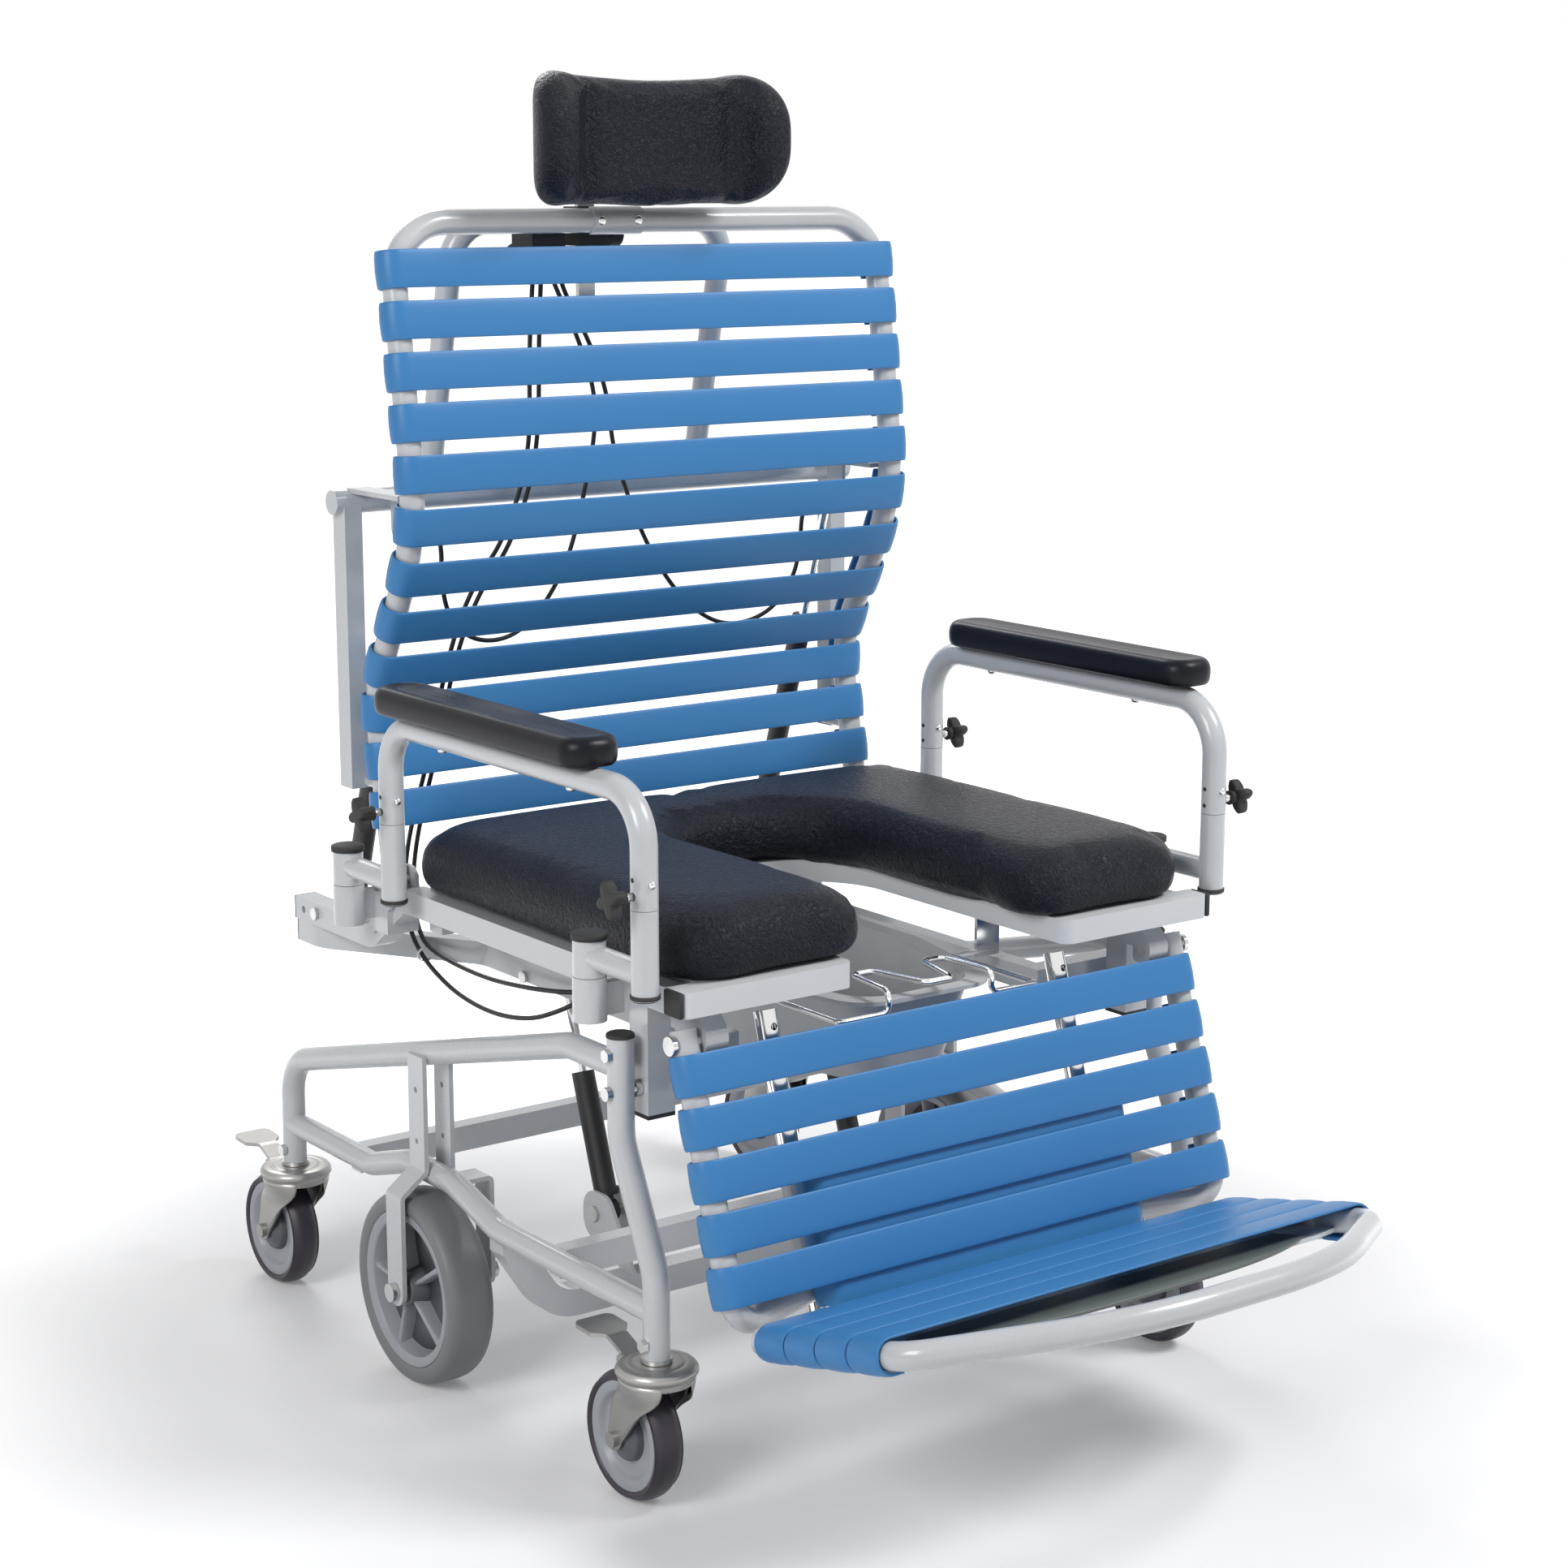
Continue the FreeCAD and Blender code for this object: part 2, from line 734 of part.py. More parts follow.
def base_fasteners():
    """Tilt pivot bolts, centre wheel axles, strut foot pins and the bolt heads on the posts."""
    pieces = []
    axle_z = V.centre_diameter / 2
    hub_inner = V.centre_x - V.hub_length / 2 - V.face_gap
    for side, hand in SIDES:
        out = X * side
        tip = V.front_post_x - V.front_post_size / 2
        shoulder = V.front_post_x + V.front_post_size / 2 + V.face_gap
        post_in = V.half_track - TUBE_R
        post_out = V.half_track + TUBE_R
        steps = [(V.pin_radius, tip, shoulder), (V.pin_radius * 1.6, shoulder, post_in - V.face_gap),
                 (V.pin_radius, post_in - V.face_gap, post_out + V.face_gap),
                 (V.bolt_head_radius, post_out + V.face_gap, post_out + V.face_gap + V.bolt_head_height)]
        pieces.append(stepped(f"tilt_pivot_{hand}", steps, Vector(0, V.pivot_y, V.pivot_z), out))
        bar_in = V.bracket_inner_x - V.plate_gauge / 2
        bar_out = bracket_outer_x() + V.plate_gauge / 2
        spacer = V.bracket_inner_x + V.plate_gauge / 2 + V.face_gap
        nut = V.centre_axle_radius * 1.6
        steps = [(nut, bar_in - V.bolt_head_height * 1.5, bar_in - V.face_gap),
                 (V.centre_axle_radius, bar_in - V.face_gap, spacer),
                 (V.centre_axle_radius * 1.8, spacer, hub_inner),
                 (V.centre_axle_radius, hub_inner, bar_out + V.face_gap),
                 (nut, bar_out + V.face_gap, bar_out + V.bolt_head_height * 1.5)]
        pieces.append(stepped(f"wheel_axle_{hand}", steps, Vector(0, V.centre_y, axle_z), out))
        pin_half = anchor_gap() + V.thin_gauge
        head = V.pin_radius * 1.6
        steps = [(head, -pin_half - V.cap_height, -pin_half - V.face_gap),
                 (V.pin_radius, -pin_half - V.face_gap, pin_half + V.face_gap),
                 (head, pin_half + V.face_gap, pin_half + V.cap_height)]
        pieces.append(stepped(f"tilt_foot_pin_{hand}", steps,
                              Vector(side * V.tilt_strut_x, V.tilt_foot_y, V.tilt_foot_z), X))
        heads = (
            ("stem_front", V.front_stem_y, V.post_foot_z + 14),
            ("stem_rear", V.rear_stem_y, V.post_foot_z + 14), ("post_top", V.pivot_y, V.post_top_z - 16),
        )
        for name, y, z in heads:
            pieces.append(bolt_head(f"{name}_bolt_{hand}", Vector(side * (post_out + 0.02), y, z), out))
    node("base_fasteners", group("base_fasteners", pieces))


# Casters

def caster_places():
    """Label and stem position of every caster."""
    for side, hand in SIDES:
        for end, y in zip(ENDS, (V.front_stem_y, V.rear_stem_y)):
            yield f"{end}_{hand}", Vector(side * V.half_track, y, 0)


def caster_stems():
    """Plugs in the post feet, each with the swivel pin and its head."""
    plate_low = V.bell_top_z - V.thin_gauge
    stems = []
    for label, place in caster_places():
        steps = [(V.stem_radius * 1.8, plate_low - V.face_gap - V.thin_gauge, plate_low - V.face_gap),
                 (V.stem_radius, plate_low - V.face_gap, V.bell_top_z + V.face_gap),
                 (TUBE_R + V.cap_overhang * 2, V.bell_top_z + V.face_gap, V.post_foot_z),
                 (TUBE_R - V.tube_wall, V.post_foot_z, V.post_foot_z + V.tube_diameter)]
        stems.append(stepped(f"stem_{label}", steps, place, Z))
    node("caster_stems", group("caster_stems", stems))


def pedal_hinge():
    """Distance behind the stem and height of a lock pedal's pin."""
    return V.bell_radius + 9, V.bell_top_z - V.bell_height / 2


def caster_fork(label, place):
    """Pressed bell with two legs, the wheel's axle and the ears that hold the lock pedal."""
    name = f"caster_fork_{label}"
    top = V.bell_top_z
    gauge = V.thin_gauge
    low = top - V.bell_height
    bore = V.stem_radius + V.running_clearance
    skirt = V.bell_radius - gauge
    profile = [
        (bore, top), (V.bell_radius * 0.75, top, 8), (V.bell_radius, low + 6, 3), (V.bell_radius, low),
        (skirt, low), (skirt, low + 6, 2), (skirt * 0.72, top - gauge), (bore, top - gauge),
    ]
    bell = turned(name + "_bell", profile, place, Z)
    axle_y = V.caster_trail
    axle_z = V.caster_diameter / 2
    inside = V.caster_width / 2 + V.fork_gap
    end = V.caster_axle_radius * 2.4
    leg = [
        (-skirt * 0.72, low + 8), (-skirt * 0.6, low - 12, 14), (axle_y - end, axle_z, end * 0.9),
        (axle_y, axle_z - end * 1.3, end * 0.8), (axle_y + end, axle_z, end * 0.9), (skirt * 0.9, low + 8),
    ]
    pieces = [bell]
    for side, hand in SIDES:
        x = side * (inside + V.fork_gauge / 2)
        pieces.append(padded(f"{name}_leg_{hand}", rounded(leg), "Sizes.fork_gauge", "YZ_Plane",
                             place + Vector(x, 0, 0)))
    outside = inside + V.fork_gauge
    head = V.caster_axle_radius * 1.5
    steps = [(head, -outside - V.bolt_head_height, -outside), (V.caster_axle_radius, -outside, outside),
             (head, outside, outside + V.bolt_head_height)]
    pieces.append(stepped(name + "_axle", steps, place + Vector(0, axle_y, axle_z), X))
    pin_y, pin_z = pedal_hinge()
    ear = [
        (V.bell_radius - 6, pin_z - 6), (pin_y + 5, pin_z - 6, 5), (pin_y + 5, pin_z + 6, 5),
        (V.bell_radius - 6, pin_z + 6),
    ]
    ear_x = V.pedal_width / 4 + V.face_gap + V.fork_gauge / 2
    for side, hand in SIDES:
        pieces.append(padded(f"{name}_ear_{hand}", rounded(ear), "Sizes.fork_gauge", "YZ_Plane",
                             place + Vector(side * ear_x, 0, 0)))
    pin_start = place + Vector(-ear_x, pin_y, pin_z)
    pieces.append(cylinder(name + "_pedal_pin", "Sizes.bolt_radius", pin_start, X, ear_x * 2))
    node(name, fuse(name + "_fused", pieces))


def caster_wheel(label, place):
    """Tyre on a dished core, turned in one piece."""
    half = V.caster_width / 2
    tread = V.caster_diameter / 2
    rim = tread - 14
    bore = V.caster_axle_radius + V.running_clearance
    hub_half = half + V.fork_gap - V.face_gap
    hub = V.caster_axle_radius * 2.6
    web = 5
    profile = [
        (bore, -hub_half), (hub, -hub_half), (hub + 2, -web), (rim - 4, -web), (rim, -half + 2),
        (tread - 5, -half, 3), (tread, -half + 6, 6), (tread, half - 6, 6), (tread - 5, half, 3),
        (rim, half - 2), (rim - 4, web), (hub + 2, web), (hub, hub_half), (bore, hub_half),
    ]
    centre = place + Vector(0, V.caster_trail, V.caster_diameter / 2)
    node(f"caster_wheel_{label}", turned(f"caster_wheel_{label}", profile, centre, X))


def caster_pedal(label, place):
    """Lock pedal: a rising plate on a knuckle."""
    name = f"caster_pedal_{label}"
    pin_y, pin_z = pedal_hinge()
    gauge = V.thin_gauge
    knuckle = V.bolt_radius * 2
    half_neck = V.pedal_width / 4
    rise = V.pedal_rise
    run = V.pedal_length
    line = [(pin_y, pin_z + knuckle - gauge / 2), (pin_y + run * 0.35, pin_z + knuckle + rise * 0.5),
            (pin_y + run, pin_z + knuckle + rise * 0.62)]
    side_view = padded(name + "_side", ribbon(line, gauge, 20), "Sizes.pedal_width", "YZ_Plane", place)
    plan = [
        (-half_neck, pin_y - knuckle), (half_neck, pin_y - knuckle), (half_neck, pin_y + run * 0.4, 5),
        (V.pedal_width / 2, pin_y + run * 0.55, 5), (V.pedal_width / 2, pin_y + run, 9),
        (-V.pedal_width / 2, pin_y + run, 9), (-V.pedal_width / 2, pin_y + run * 0.55, 5),
        (-half_neck, pin_y + run * 0.4, 5),
    ]
    plan_view = padded(name + "_plan", rounded(plan), "Sizes.bell_height * 4", "XY_Plane",
                       place + Vector(0, 0, pin_z))
    plate = doc.addObject("Part::MultiCommon", name + "_plate")
    plate.Shapes = [side_view, plan_view]
    start = place + Vector(-half_neck, pin_y, pin_z)
    barrel = cylinder(name + "_knuckle", "Sizes.bolt_radius * 2", start, X, half_neck * 2)
    bore = cylinder(
        name + "_bore", "Sizes.bolt_radius + Sizes.running_clearance", start - X, X, half_neck * 2 + 2,
    )
    node(name, cut(name + "_bored", fuse(name + "_fused", [plate, barrel]), [bore]))


def centre_wheel(side, hand):
    """Large wheel: tyre, rim, web with five windows and hub."""
    name = f"centre_wheel_{hand}"
    half = V.centre_width / 2
    tread = V.centre_diameter / 2
    rim = tread - 18
    web = 6
    bore = V.centre_axle_radius + V.running_clearance
    hub_half = V.hub_length / 2 - V.face_gap
    profile = [
        (bore, -hub_half), (V.hub_radius * 0.8, -hub_half), (V.hub_radius, -web), (rim - 8, -web),
        (rim - 4, -half + 4), (rim, -half + 2), (tread - 6, -half, 4), (tread, -half + 9, 8),
        (tread, half - 9, 8), (tread - 6, half, 4), (rim, half - 2), (rim - 4, half - 4), (rim - 8, web),
        (V.hub_radius, web), (V.hub_radius * 0.8, hub_half), (bore, hub_half),
    ]
    centre = Vector(side * V.centre_x, V.centre_y, V.centre_diameter / 2)
    wheel = turned(name + "_turned", profile, centre, X)
    windows = []
    middle = (V.hub_radius + rim - 8) / 2
    for spoke in range(5):
        angle = 2 * math.pi * spoke / 5
        offset = Vector(-half, math.sin(angle) * middle, math.cos(angle) * middle)
        windows.append(
            cylinder(
                f"{name}_window{spoke}", (rim - 8 - V.hub_radius) / 2 - 3, centre + offset, X,
                "Sizes.centre_width",
            )
        )
    node(name, cut(name + "_spoked", wheel, windows))


# Seat

def seat_frame():
    """Side rails with front posts, leg hinge lugs, back hinge lugs and arm sockets."""
    sides = []
    rail_line = [
        (V.rail_front_y, V.rail_z), (V.rail_drop_start_y, V.rail_z), (V.rail_drop_end_y, V.rail_tail_z),
        (V.rail_tail_y, V.rail_tail_z),
    ]
    post = V.front_post_size / 2
    rail_low = V.rail_z - RAIL_HALF
    hole = V.running_clearance
    for side, hand in SIDES:
        pieces = []
        tools = []
        x = side * V.rail_x
        pieces.append(
            padded(
                f"side_rail_{hand}", ribbon(rail_line, V.rail_size, V.rail_size), "Sizes.rail_size",
                "YZ_Plane", Vector(x, 0, 0),
            )
        )
        px = side * V.front_post_x
        pieces.append(block(f"front_post_{hand}", Vector(px - post, V.pivot_y - post, V.front_post_foot_z),
                            Vector(px + post, V.pivot_y + post, rail_low + 1)))
        tools.append(cylinder(f"pivot_hole_{hand}", "Sizes.pin_radius + Sizes.running_clearance",
                              Vector(px - post * 2, V.pivot_y, V.pivot_z), X, "Sizes.front_post_size * 2"))
        lug_out = V.leg_x - TUBE_R - 2
        lug_in = lug_out - V.rail_size
        lug_y, lug_z = V.leg_hinge_y, V.leg_hinge_z
        lug = [(lug_y - RAIL_HALF, lug_z - RAIL_HALF, 11), (lug_y + RAIL_HALF, lug_z - RAIL_HALF, 6),
               (lug_y + RAIL_HALF, lug_z + 3), (V.pivot_y, lug_z + 3), (V.pivot_y, rail_low),
               (lug_y + 4, rail_low), (lug_y - RAIL_HALF, lug_z + 8, 8)]
        pieces.append(padded(f"leg_lug_{hand}", rounded(lug), lug_out - lug_in, "YZ_Plane",
                             Vector(side * (lug_in + lug_out) / 2, 0, 0)))
        tools.append(
            cylinder(
                f"leg_pin_hole_{hand}", "Sizes.hinge_radius + Sizes.running_clearance",
                Vector(side * lug_in, V.leg_hinge_y, V.leg_hinge_z) - X * side, X * side,
                lug_out - lug_in + 2,
            )
        )
        lug_y, lug_z = V.back_hinge_y, V.back_hinge_z
        half = V.hinge_radius * 2.4
        ear = [
            (lug_y - half * 1.5, V.rail_z - 8), (lug_y + half * 1.2, V.rail_tail_z + 8),
            (lug_y + half, lug_z + half, half * 0.9), (lug_y - half, lug_z + half, half * 0.9),
        ]
        ear_out = TUBE_R + V.face_gap + 1 + V.thin_gauge
        pieces.append(block(f"back_ear_foot_{hand}",
                            Vector(side * V.back_x - ear_out, lug_y - half, V.rail_tail_z + RAIL_HALF),
                            Vector(side * V.back_x + ear_out, lug_y + half, lug_z - V.hinge_radius * 3.3)))
        for place in (-1, 1):
            ear_x = side * V.back_x + place * (TUBE_R + V.face_gap + 1 + V.thin_gauge / 2)
            pieces.append(
                padded(
                    f"back_ear_{hand}_{'in' if place < 0 else 'out'}", rounded(ear), "Sizes.thin_gauge",
                    "YZ_Plane", Vector(ear_x, 0, 0),
                )
            )
        tools.append(
            cylinder(
                f"back_pin_hole_{hand}", "Sizes.hinge_radius + Sizes.running_clearance",
                Vector(side * V.back_x - V.rail_size, lug_y, lug_z), X, "Sizes.rail_size * 2",
            )
        )
        for end, y in zip(ENDS, (V.arm_front_socket_y, V.arm_rear_socket_y)):
            foot = Vector(side * V.arm_x, y, V.socket_foot_z)
            pieces.append(cylinder(f"arm_socket_{end}_{hand}", "Sizes.socket_radius", foot, Z,
                                   "Sizes.socket_top_z - Sizes.socket_foot_z"))
            low_z = V.socket_foot_z + 3
            high_z = V.socket_top_z - 8
            near = side * (V.rail_x + RAIL_HALF - 1)
            pieces.append(block(f"socket_web_{end}_{hand}",
                                Vector(min(near, side * V.arm_x), y - V.plate_gauge, low_z),
                                Vector(max(near, side * V.arm_x), y + V.plate_gauge, high_z)))
            tools.append(
                cylinder(
                    f"peg_bore_{end}_{hand}", "Sizes.peg_radius + Sizes.running_clearance",
                    Vector(side * V.arm_x, y, V.socket_top_z - V.peg_length - V.cap_height), Z,
                    "Sizes.peg_length + Sizes.cap_height + 1",
                )
            )
        tail_start = Vector(x - V.rail_size, V.tail_hole_y, V.rail_tail_z)
        tools.append(
            cylinder(f"tail_hole_{hand}", "Sizes.tail_hole_radius", tail_start, X, "Sizes.rail_size * 2")
        )
        tools.append(
            cylinder(
                f"recline_pin_hole_{hand}", "Sizes.pin_radius + Sizes.running_clearance",
                Vector(x - V.rail_size, V.recline_foot_y, V.recline_foot_z), X, "Sizes.rail_size * 2",
            )
        )
        sides.append(cut(f"seat_side_{hand}", fuse(f"seat_side_fused_{hand}", pieces), tools))
    cross_y = V.rail_drop_start_y - V.rail_size
    cross_half = V.rail_x - RAIL_HALF
    cross_top = V.board_top_z - V.board_gauge
    cross = block(
        "seat_rear_cross", Vector(-cross_half, cross_y - RAIL_HALF, cross_top - V.rail_size),
        Vector(cross_half, cross_y + RAIL_HALF, cross_top),
    )
    node("seat_frame", group("seat_frame", sides + [cross]))


def lower_rail_z():
    """Centre of the S-bent lower rail, which lies under the tails of the side rails."""
    return V.rail_tail_z - V.rail_size


def seat_lower_rails():
    """S-bent rails under the seat, each tied to its front post by a short stub."""
    z = lower_rail_z()
    cross_y = V.pivot_y + V.front_post_size / 2 + RAIL_HALF
    reach = V.front_post_x + V.front_post_size / 2
    rails = []
    for side, hand in SIDES:
        line = [(side * V.rail_x, V.rail_tail_y), (side * V.rail_x, V.lower_rail_jog_rear_y),
                (side * V.lower_rail_x, V.lower_rail_jog_front_y), (side * V.lower_rail_x, cross_y)]
        rail = padded(
            f"lower_rail_{hand}", ribbon(line, V.lower_rail_depth, V.frame_bend), "Sizes.rail_size",
            "XY_Plane", Vector(0, 0, z),
        )
        inner = V.lower_rail_x - V.lower_rail_depth / 2
        low_x, high_x = sorted((side * inner, side * reach))
        stub = block(
            f"lower_stub_{hand}", Vector(low_x, cross_y - RAIL_HALF, z - RAIL_HALF),
            Vector(high_x, cross_y + RAIL_HALF, z + RAIL_HALF),
        )
        hole = cylinder(
            f"tilt_head_hole_{hand}", "Sizes.pin_radius + Sizes.running_clearance",
            Vector(side * (inner - 1), V.tilt_head_y, V.tilt_head_z), X * side,
            "Sizes.lower_rail_depth + 2",
        )
        rails.append(cut(f"lower_rail_weld_{hand}", fuse(f"lower_rail_fused_{hand}", [rail, stub]), [hole]))
    node("seat_lower_rails", group("seat_lower_rails", rails))


def seat_board():
    """Flat board between the rails with an opening to the front and wings ahead of the rails."""
    inner = V.rail_x - RAIL_HALF - V.face_gap
    wing_y = V.rail_front_y - V.face_gap
    half = V.board_opening_half
    rear = V.rail_drop_start_y
    back = V.opening_back_y
    right = [
        (half, V.board_front_y, 12), (V.board_wing_half, V.board_front_y, 8), (V.board_wing_half, wing_y),
        (inner, wing_y), (inner, rear, 20),
    ]
    left = [(-u, *rest) for u, *rest in right[::-1]]
    bend = V.opening_half * 0.9
    inside = [(-half, back, bend), (half, back, bend)]
    centre_z = V.board_top_z - V.board_gauge / 2
    node("seat_board", padded("seat_board", rounded(right + left + inside), "Sizes.board_gauge", "XY_Plane",
                              Vector(0, 0, centre_z)))


def pad_outline(inset, z):
    """Open-front pad outline drawn in by an inset."""
    half = V.pad_half_width - inset
    hole = V.opening_half - 4 + inset
    corner = V.pad_corner - inset * 0.5
    horn = corner * 0.7
    front = V.pad_front_y + inset
    corners = [(hole, front, horn), (half, front, corner), (half, V.pad_rear_y - inset, corner),
               (-half, V.pad_rear_y - inset, corner), (-half, front, corner), (-hole, front, horn),
               (-hole, V.opening_back_y + inset, hole * 0.9), (hole, V.opening_back_y + inset, hole * 0.9)]
    return outline_wire(corners, level(z))


def seat_pad():
    """Cushion with drawn-in foot, full sides and a crowned top."""
    foot = V.board_top_z + V.face_gap
    steps = ((7, 0), (1, 0.22), (0, 0.45), (4, 0.7), (16, 0.9), (38, 0.98), (62, 1.0))
    wires = [pad_outline(inset, foot + V.pad_height * share) for inset, share in steps]
    node("seat_pad", loft("seat_pad", wires))


def pan_outline(inset, z):
    """Pan outline: wide at the back, tapering to the nose."""
    half = V.pan_half_width - inset
    nose = V.pan_nose_half - inset
    corner = 40 - inset * 0.3
    waist_y = (V.pan_front_y + V.pan_rear_y) / 2
    corners = [
        (-nose, V.pan_front_y + inset, corner), (nose, V.pan_front_y + inset, corner),
        (half, waist_y, 70), (half, V.pan_rear_y - inset, corner), (-half, V.pan_rear_y - inset, corner),
        (-half, waist_y, 70),
    ]
    return outline_wire(corners, level(z))


def commode_pan():
    """Tapering pan with a turned-out lip."""
    rim = V.pan_rim_z
    foot = rim - V.pan_depth
    wall = V.pan_wall
    outer = loft(
        "pan_outer",
        [
            pan_outline(V.pan_draft, foot), pan_outline(V.pan_draft / 2, (rim + foot) / 2),
            pan_outline(0, rim),
        ],
    )
    inner = loft(
        "pan_inner",
        [
            pan_outline(V.pan_draft + wall, foot + wall),
            pan_outline(V.pan_draft / 2 + wall, (rim + foot) / 2), pan_outline(wall, rim),
        ],
    )
    lip = loft("pan_lip", [pan_outline(-V.pan_lip, rim - V.thin_gauge), pan_outline(-V.pan_lip, rim)])
    mouth = loft("pan_mouth", [pan_outline(wall, rim - V.thin_gauge - 0.01), pan_outline(wall, rim)])
    node("commode_pan", cut("pan_hollow", fuse("pan_solid", [outer, lip]), [inner, mouth]))


def pan_rack():
    """Wire round the pan under its lip, hung from flat bars, with an M-shaped guard in front."""
    radius = "Sizes.wire_diameter / 2"
    wire = V.wire_diameter / 2
    z = V.pan_rim_z - V.thin_gauge - V.face_gap - wire
    runner_x = V.pan_half_width + V.pan_lip / 2 + wire
    guard_z = z + V.guard_rise
    front, back = V.rack_front_y, V.rack_front_y + V.guard_depth
    half = V.guard_half
    right = [
        Vector(-V.hanger_x, V.rack_rear_y, z), Vector(-runner_x, V.rack_rear_y, z),
        Vector(-runner_x, front, z), Vector(-half, front, z), Vector(-half, front, guard_z),
        Vector(-half * 0.88, back, guard_z), Vector(-half * 0.5, back, guard_z),
        Vector(-half * 0.25, front + wire, guard_z),
    ]
    left = [Vector(-point.x, point.y, point.z) for point in right]
    pieces = [sweep("rack_wire", right + left[::-1], V.wire_bend, radius)]
    reach = V.hanger_width / 2
    for side, hand in SIDES:
        x = side * V.hanger_x
        pieces.append(
            cylinder(
                f"rack_tie_{hand}", "Sizes.tie_diameter / 2", Vector(side * runner_x, V.rack_hanger_y, z),
                X * side, "Sizes.hanger_x - Sizes.pan_half_width",
            )
        )
        for end, y in (("front", V.rack_hanger_y), ("rear", V.rack_rear_y)):
            pieces.append(
                block(
                    f"hanger_{end}_{hand}", Vector(x - reach, y - V.thin_gauge / 2, z - wire * 2),
                    Vector(x + reach, y + V.thin_gauge / 2, V.board_top_z - V.board_gauge),
                )
            )
    node("pan_rack", fuse("pan_rack_fused", pieces))


def seat_end_caps():
    """Plastic caps on the front posts and the rail tails."""
    caps = []
    post = V.front_post_size / 2
    for side, hand in SIDES:
        px = side * V.front_post_x
        caps.append(
            block(
                f"front_post_cap_{hand}",
                Vector(px - post, V.pivot_y - post, V.front_post_foot_z - V.cap_height),
                Vector(px + post, V.pivot_y + post, V.front_post_foot_z),
            )
        )
        tail = side * V.rail_x
        for name, z in (("tail", V.rail_tail_z), ("lower", lower_rail_z())):
            half = RAIL_HALF if name == "tail" else V.lower_rail_depth / 2
            caps.append(block(f"{name}_cap_{hand}", Vector(tail - half, V.rail_tail_y, z - RAIL_HALF),
                              Vector(tail + half, V.rail_tail_y + V.cap_height / 2, z + RAIL_HALF)))
    node("seat_end_caps", group("seat_end_caps", caps))


def seat_fasteners():
    """Leg hinge bolts, back hinge bolts, strut pins."""
    pieces = []
    for side, hand in SIDES:
        out = X * side
        leg_out = V.leg_x + TUBE_R + V.face_gap
        lug_in = V.leg_x - TUBE_R - 2 - V.rail_size
        steps = [
            (V.hinge_radius, lug_in, leg_out),
            (V.hinge_radius * 1.5, leg_out, leg_out + V.bolt_head_height),
        ]
        pieces.append(stepped(f"leg_bolt_{hand}", steps, Vector(0, V.leg_hinge_y, V.leg_hinge_z), out))
        ear = TUBE_R + V.face_gap + 1 + V.thin_gauge
        steps = [(V.hinge_radius * 1.5, V.back_x - ear - V.bolt_head_height, V.back_x - ear - V.face_gap),
                 (V.hinge_radius, V.back_x - ear - V.face_gap, V.back_x + ear + V.face_gap),
                 (V.hinge_radius * 1.5, V.back_x + ear + V.face_gap, V.back_x + ear + V.bolt_head_height)]
        pieces.append(stepped(f"back_bolt_{hand}", steps, Vector(0, V.back_hinge_y, V.back_hinge_z), out))
        eye = V.strut_eye_width / 2 + V.face_gap
        inner = V.recline_strut_x - eye
        rail_out = V.rail_x + RAIL_HALF
        steps = [
            (V.pin_radius * 1.6, inner - V.cap_height, inner),
            (V.pin_radius, inner, V.recline_strut_x + eye),
            (V.pin_radius * 1.4, V.recline_strut_x + eye, V.rail_x - RAIL_HALF - 0.02),
            (V.pin_radius, V.rail_x - RAIL_HALF - 0.02, rail_out + V.face_gap),
            (V.bolt_head_radius, rail_out + V.face_gap, rail_out + V.cap_height),
        ]
        pieces.append(
            stepped(f"recline_foot_pin_{hand}", steps, Vector(0, V.recline_foot_y, V.recline_foot_z), out)
        )
        inner = V.tilt_strut_x - eye
        rail_in = V.lower_rail_x - V.lower_rail_depth / 2
        rail_out = V.lower_rail_x + V.lower_rail_depth / 2
        steps = [
            (V.pin_radius * 1.6, inner - V.cap_height, inner),
            (V.pin_radius, inner, V.tilt_strut_x + eye),
            (V.pin_radius * 1.4, V.tilt_strut_x + eye, rail_in - 0.02),
            (V.pin_radius, rail_in - 0.02, rail_out + V.face_gap),
            (V.bolt_head_radius, rail_out + V.face_gap, rail_out + V.cap_height),
        ]
        pieces.append(stepped(f"tilt_head_pin_{hand}", steps, Vector(0, V.tilt_head_y, V.tilt_head_z), out))
    node("seat_fasteners", group("seat_fasteners", pieces))


# Arms

def arm_ends():
    """Socket and post positions of the front and rear legs of an arm."""
    return ((V.arm_front_socket_y, V.arm_front_post_y), (V.arm_rear_socket_y, V.arm_rear_post_y))


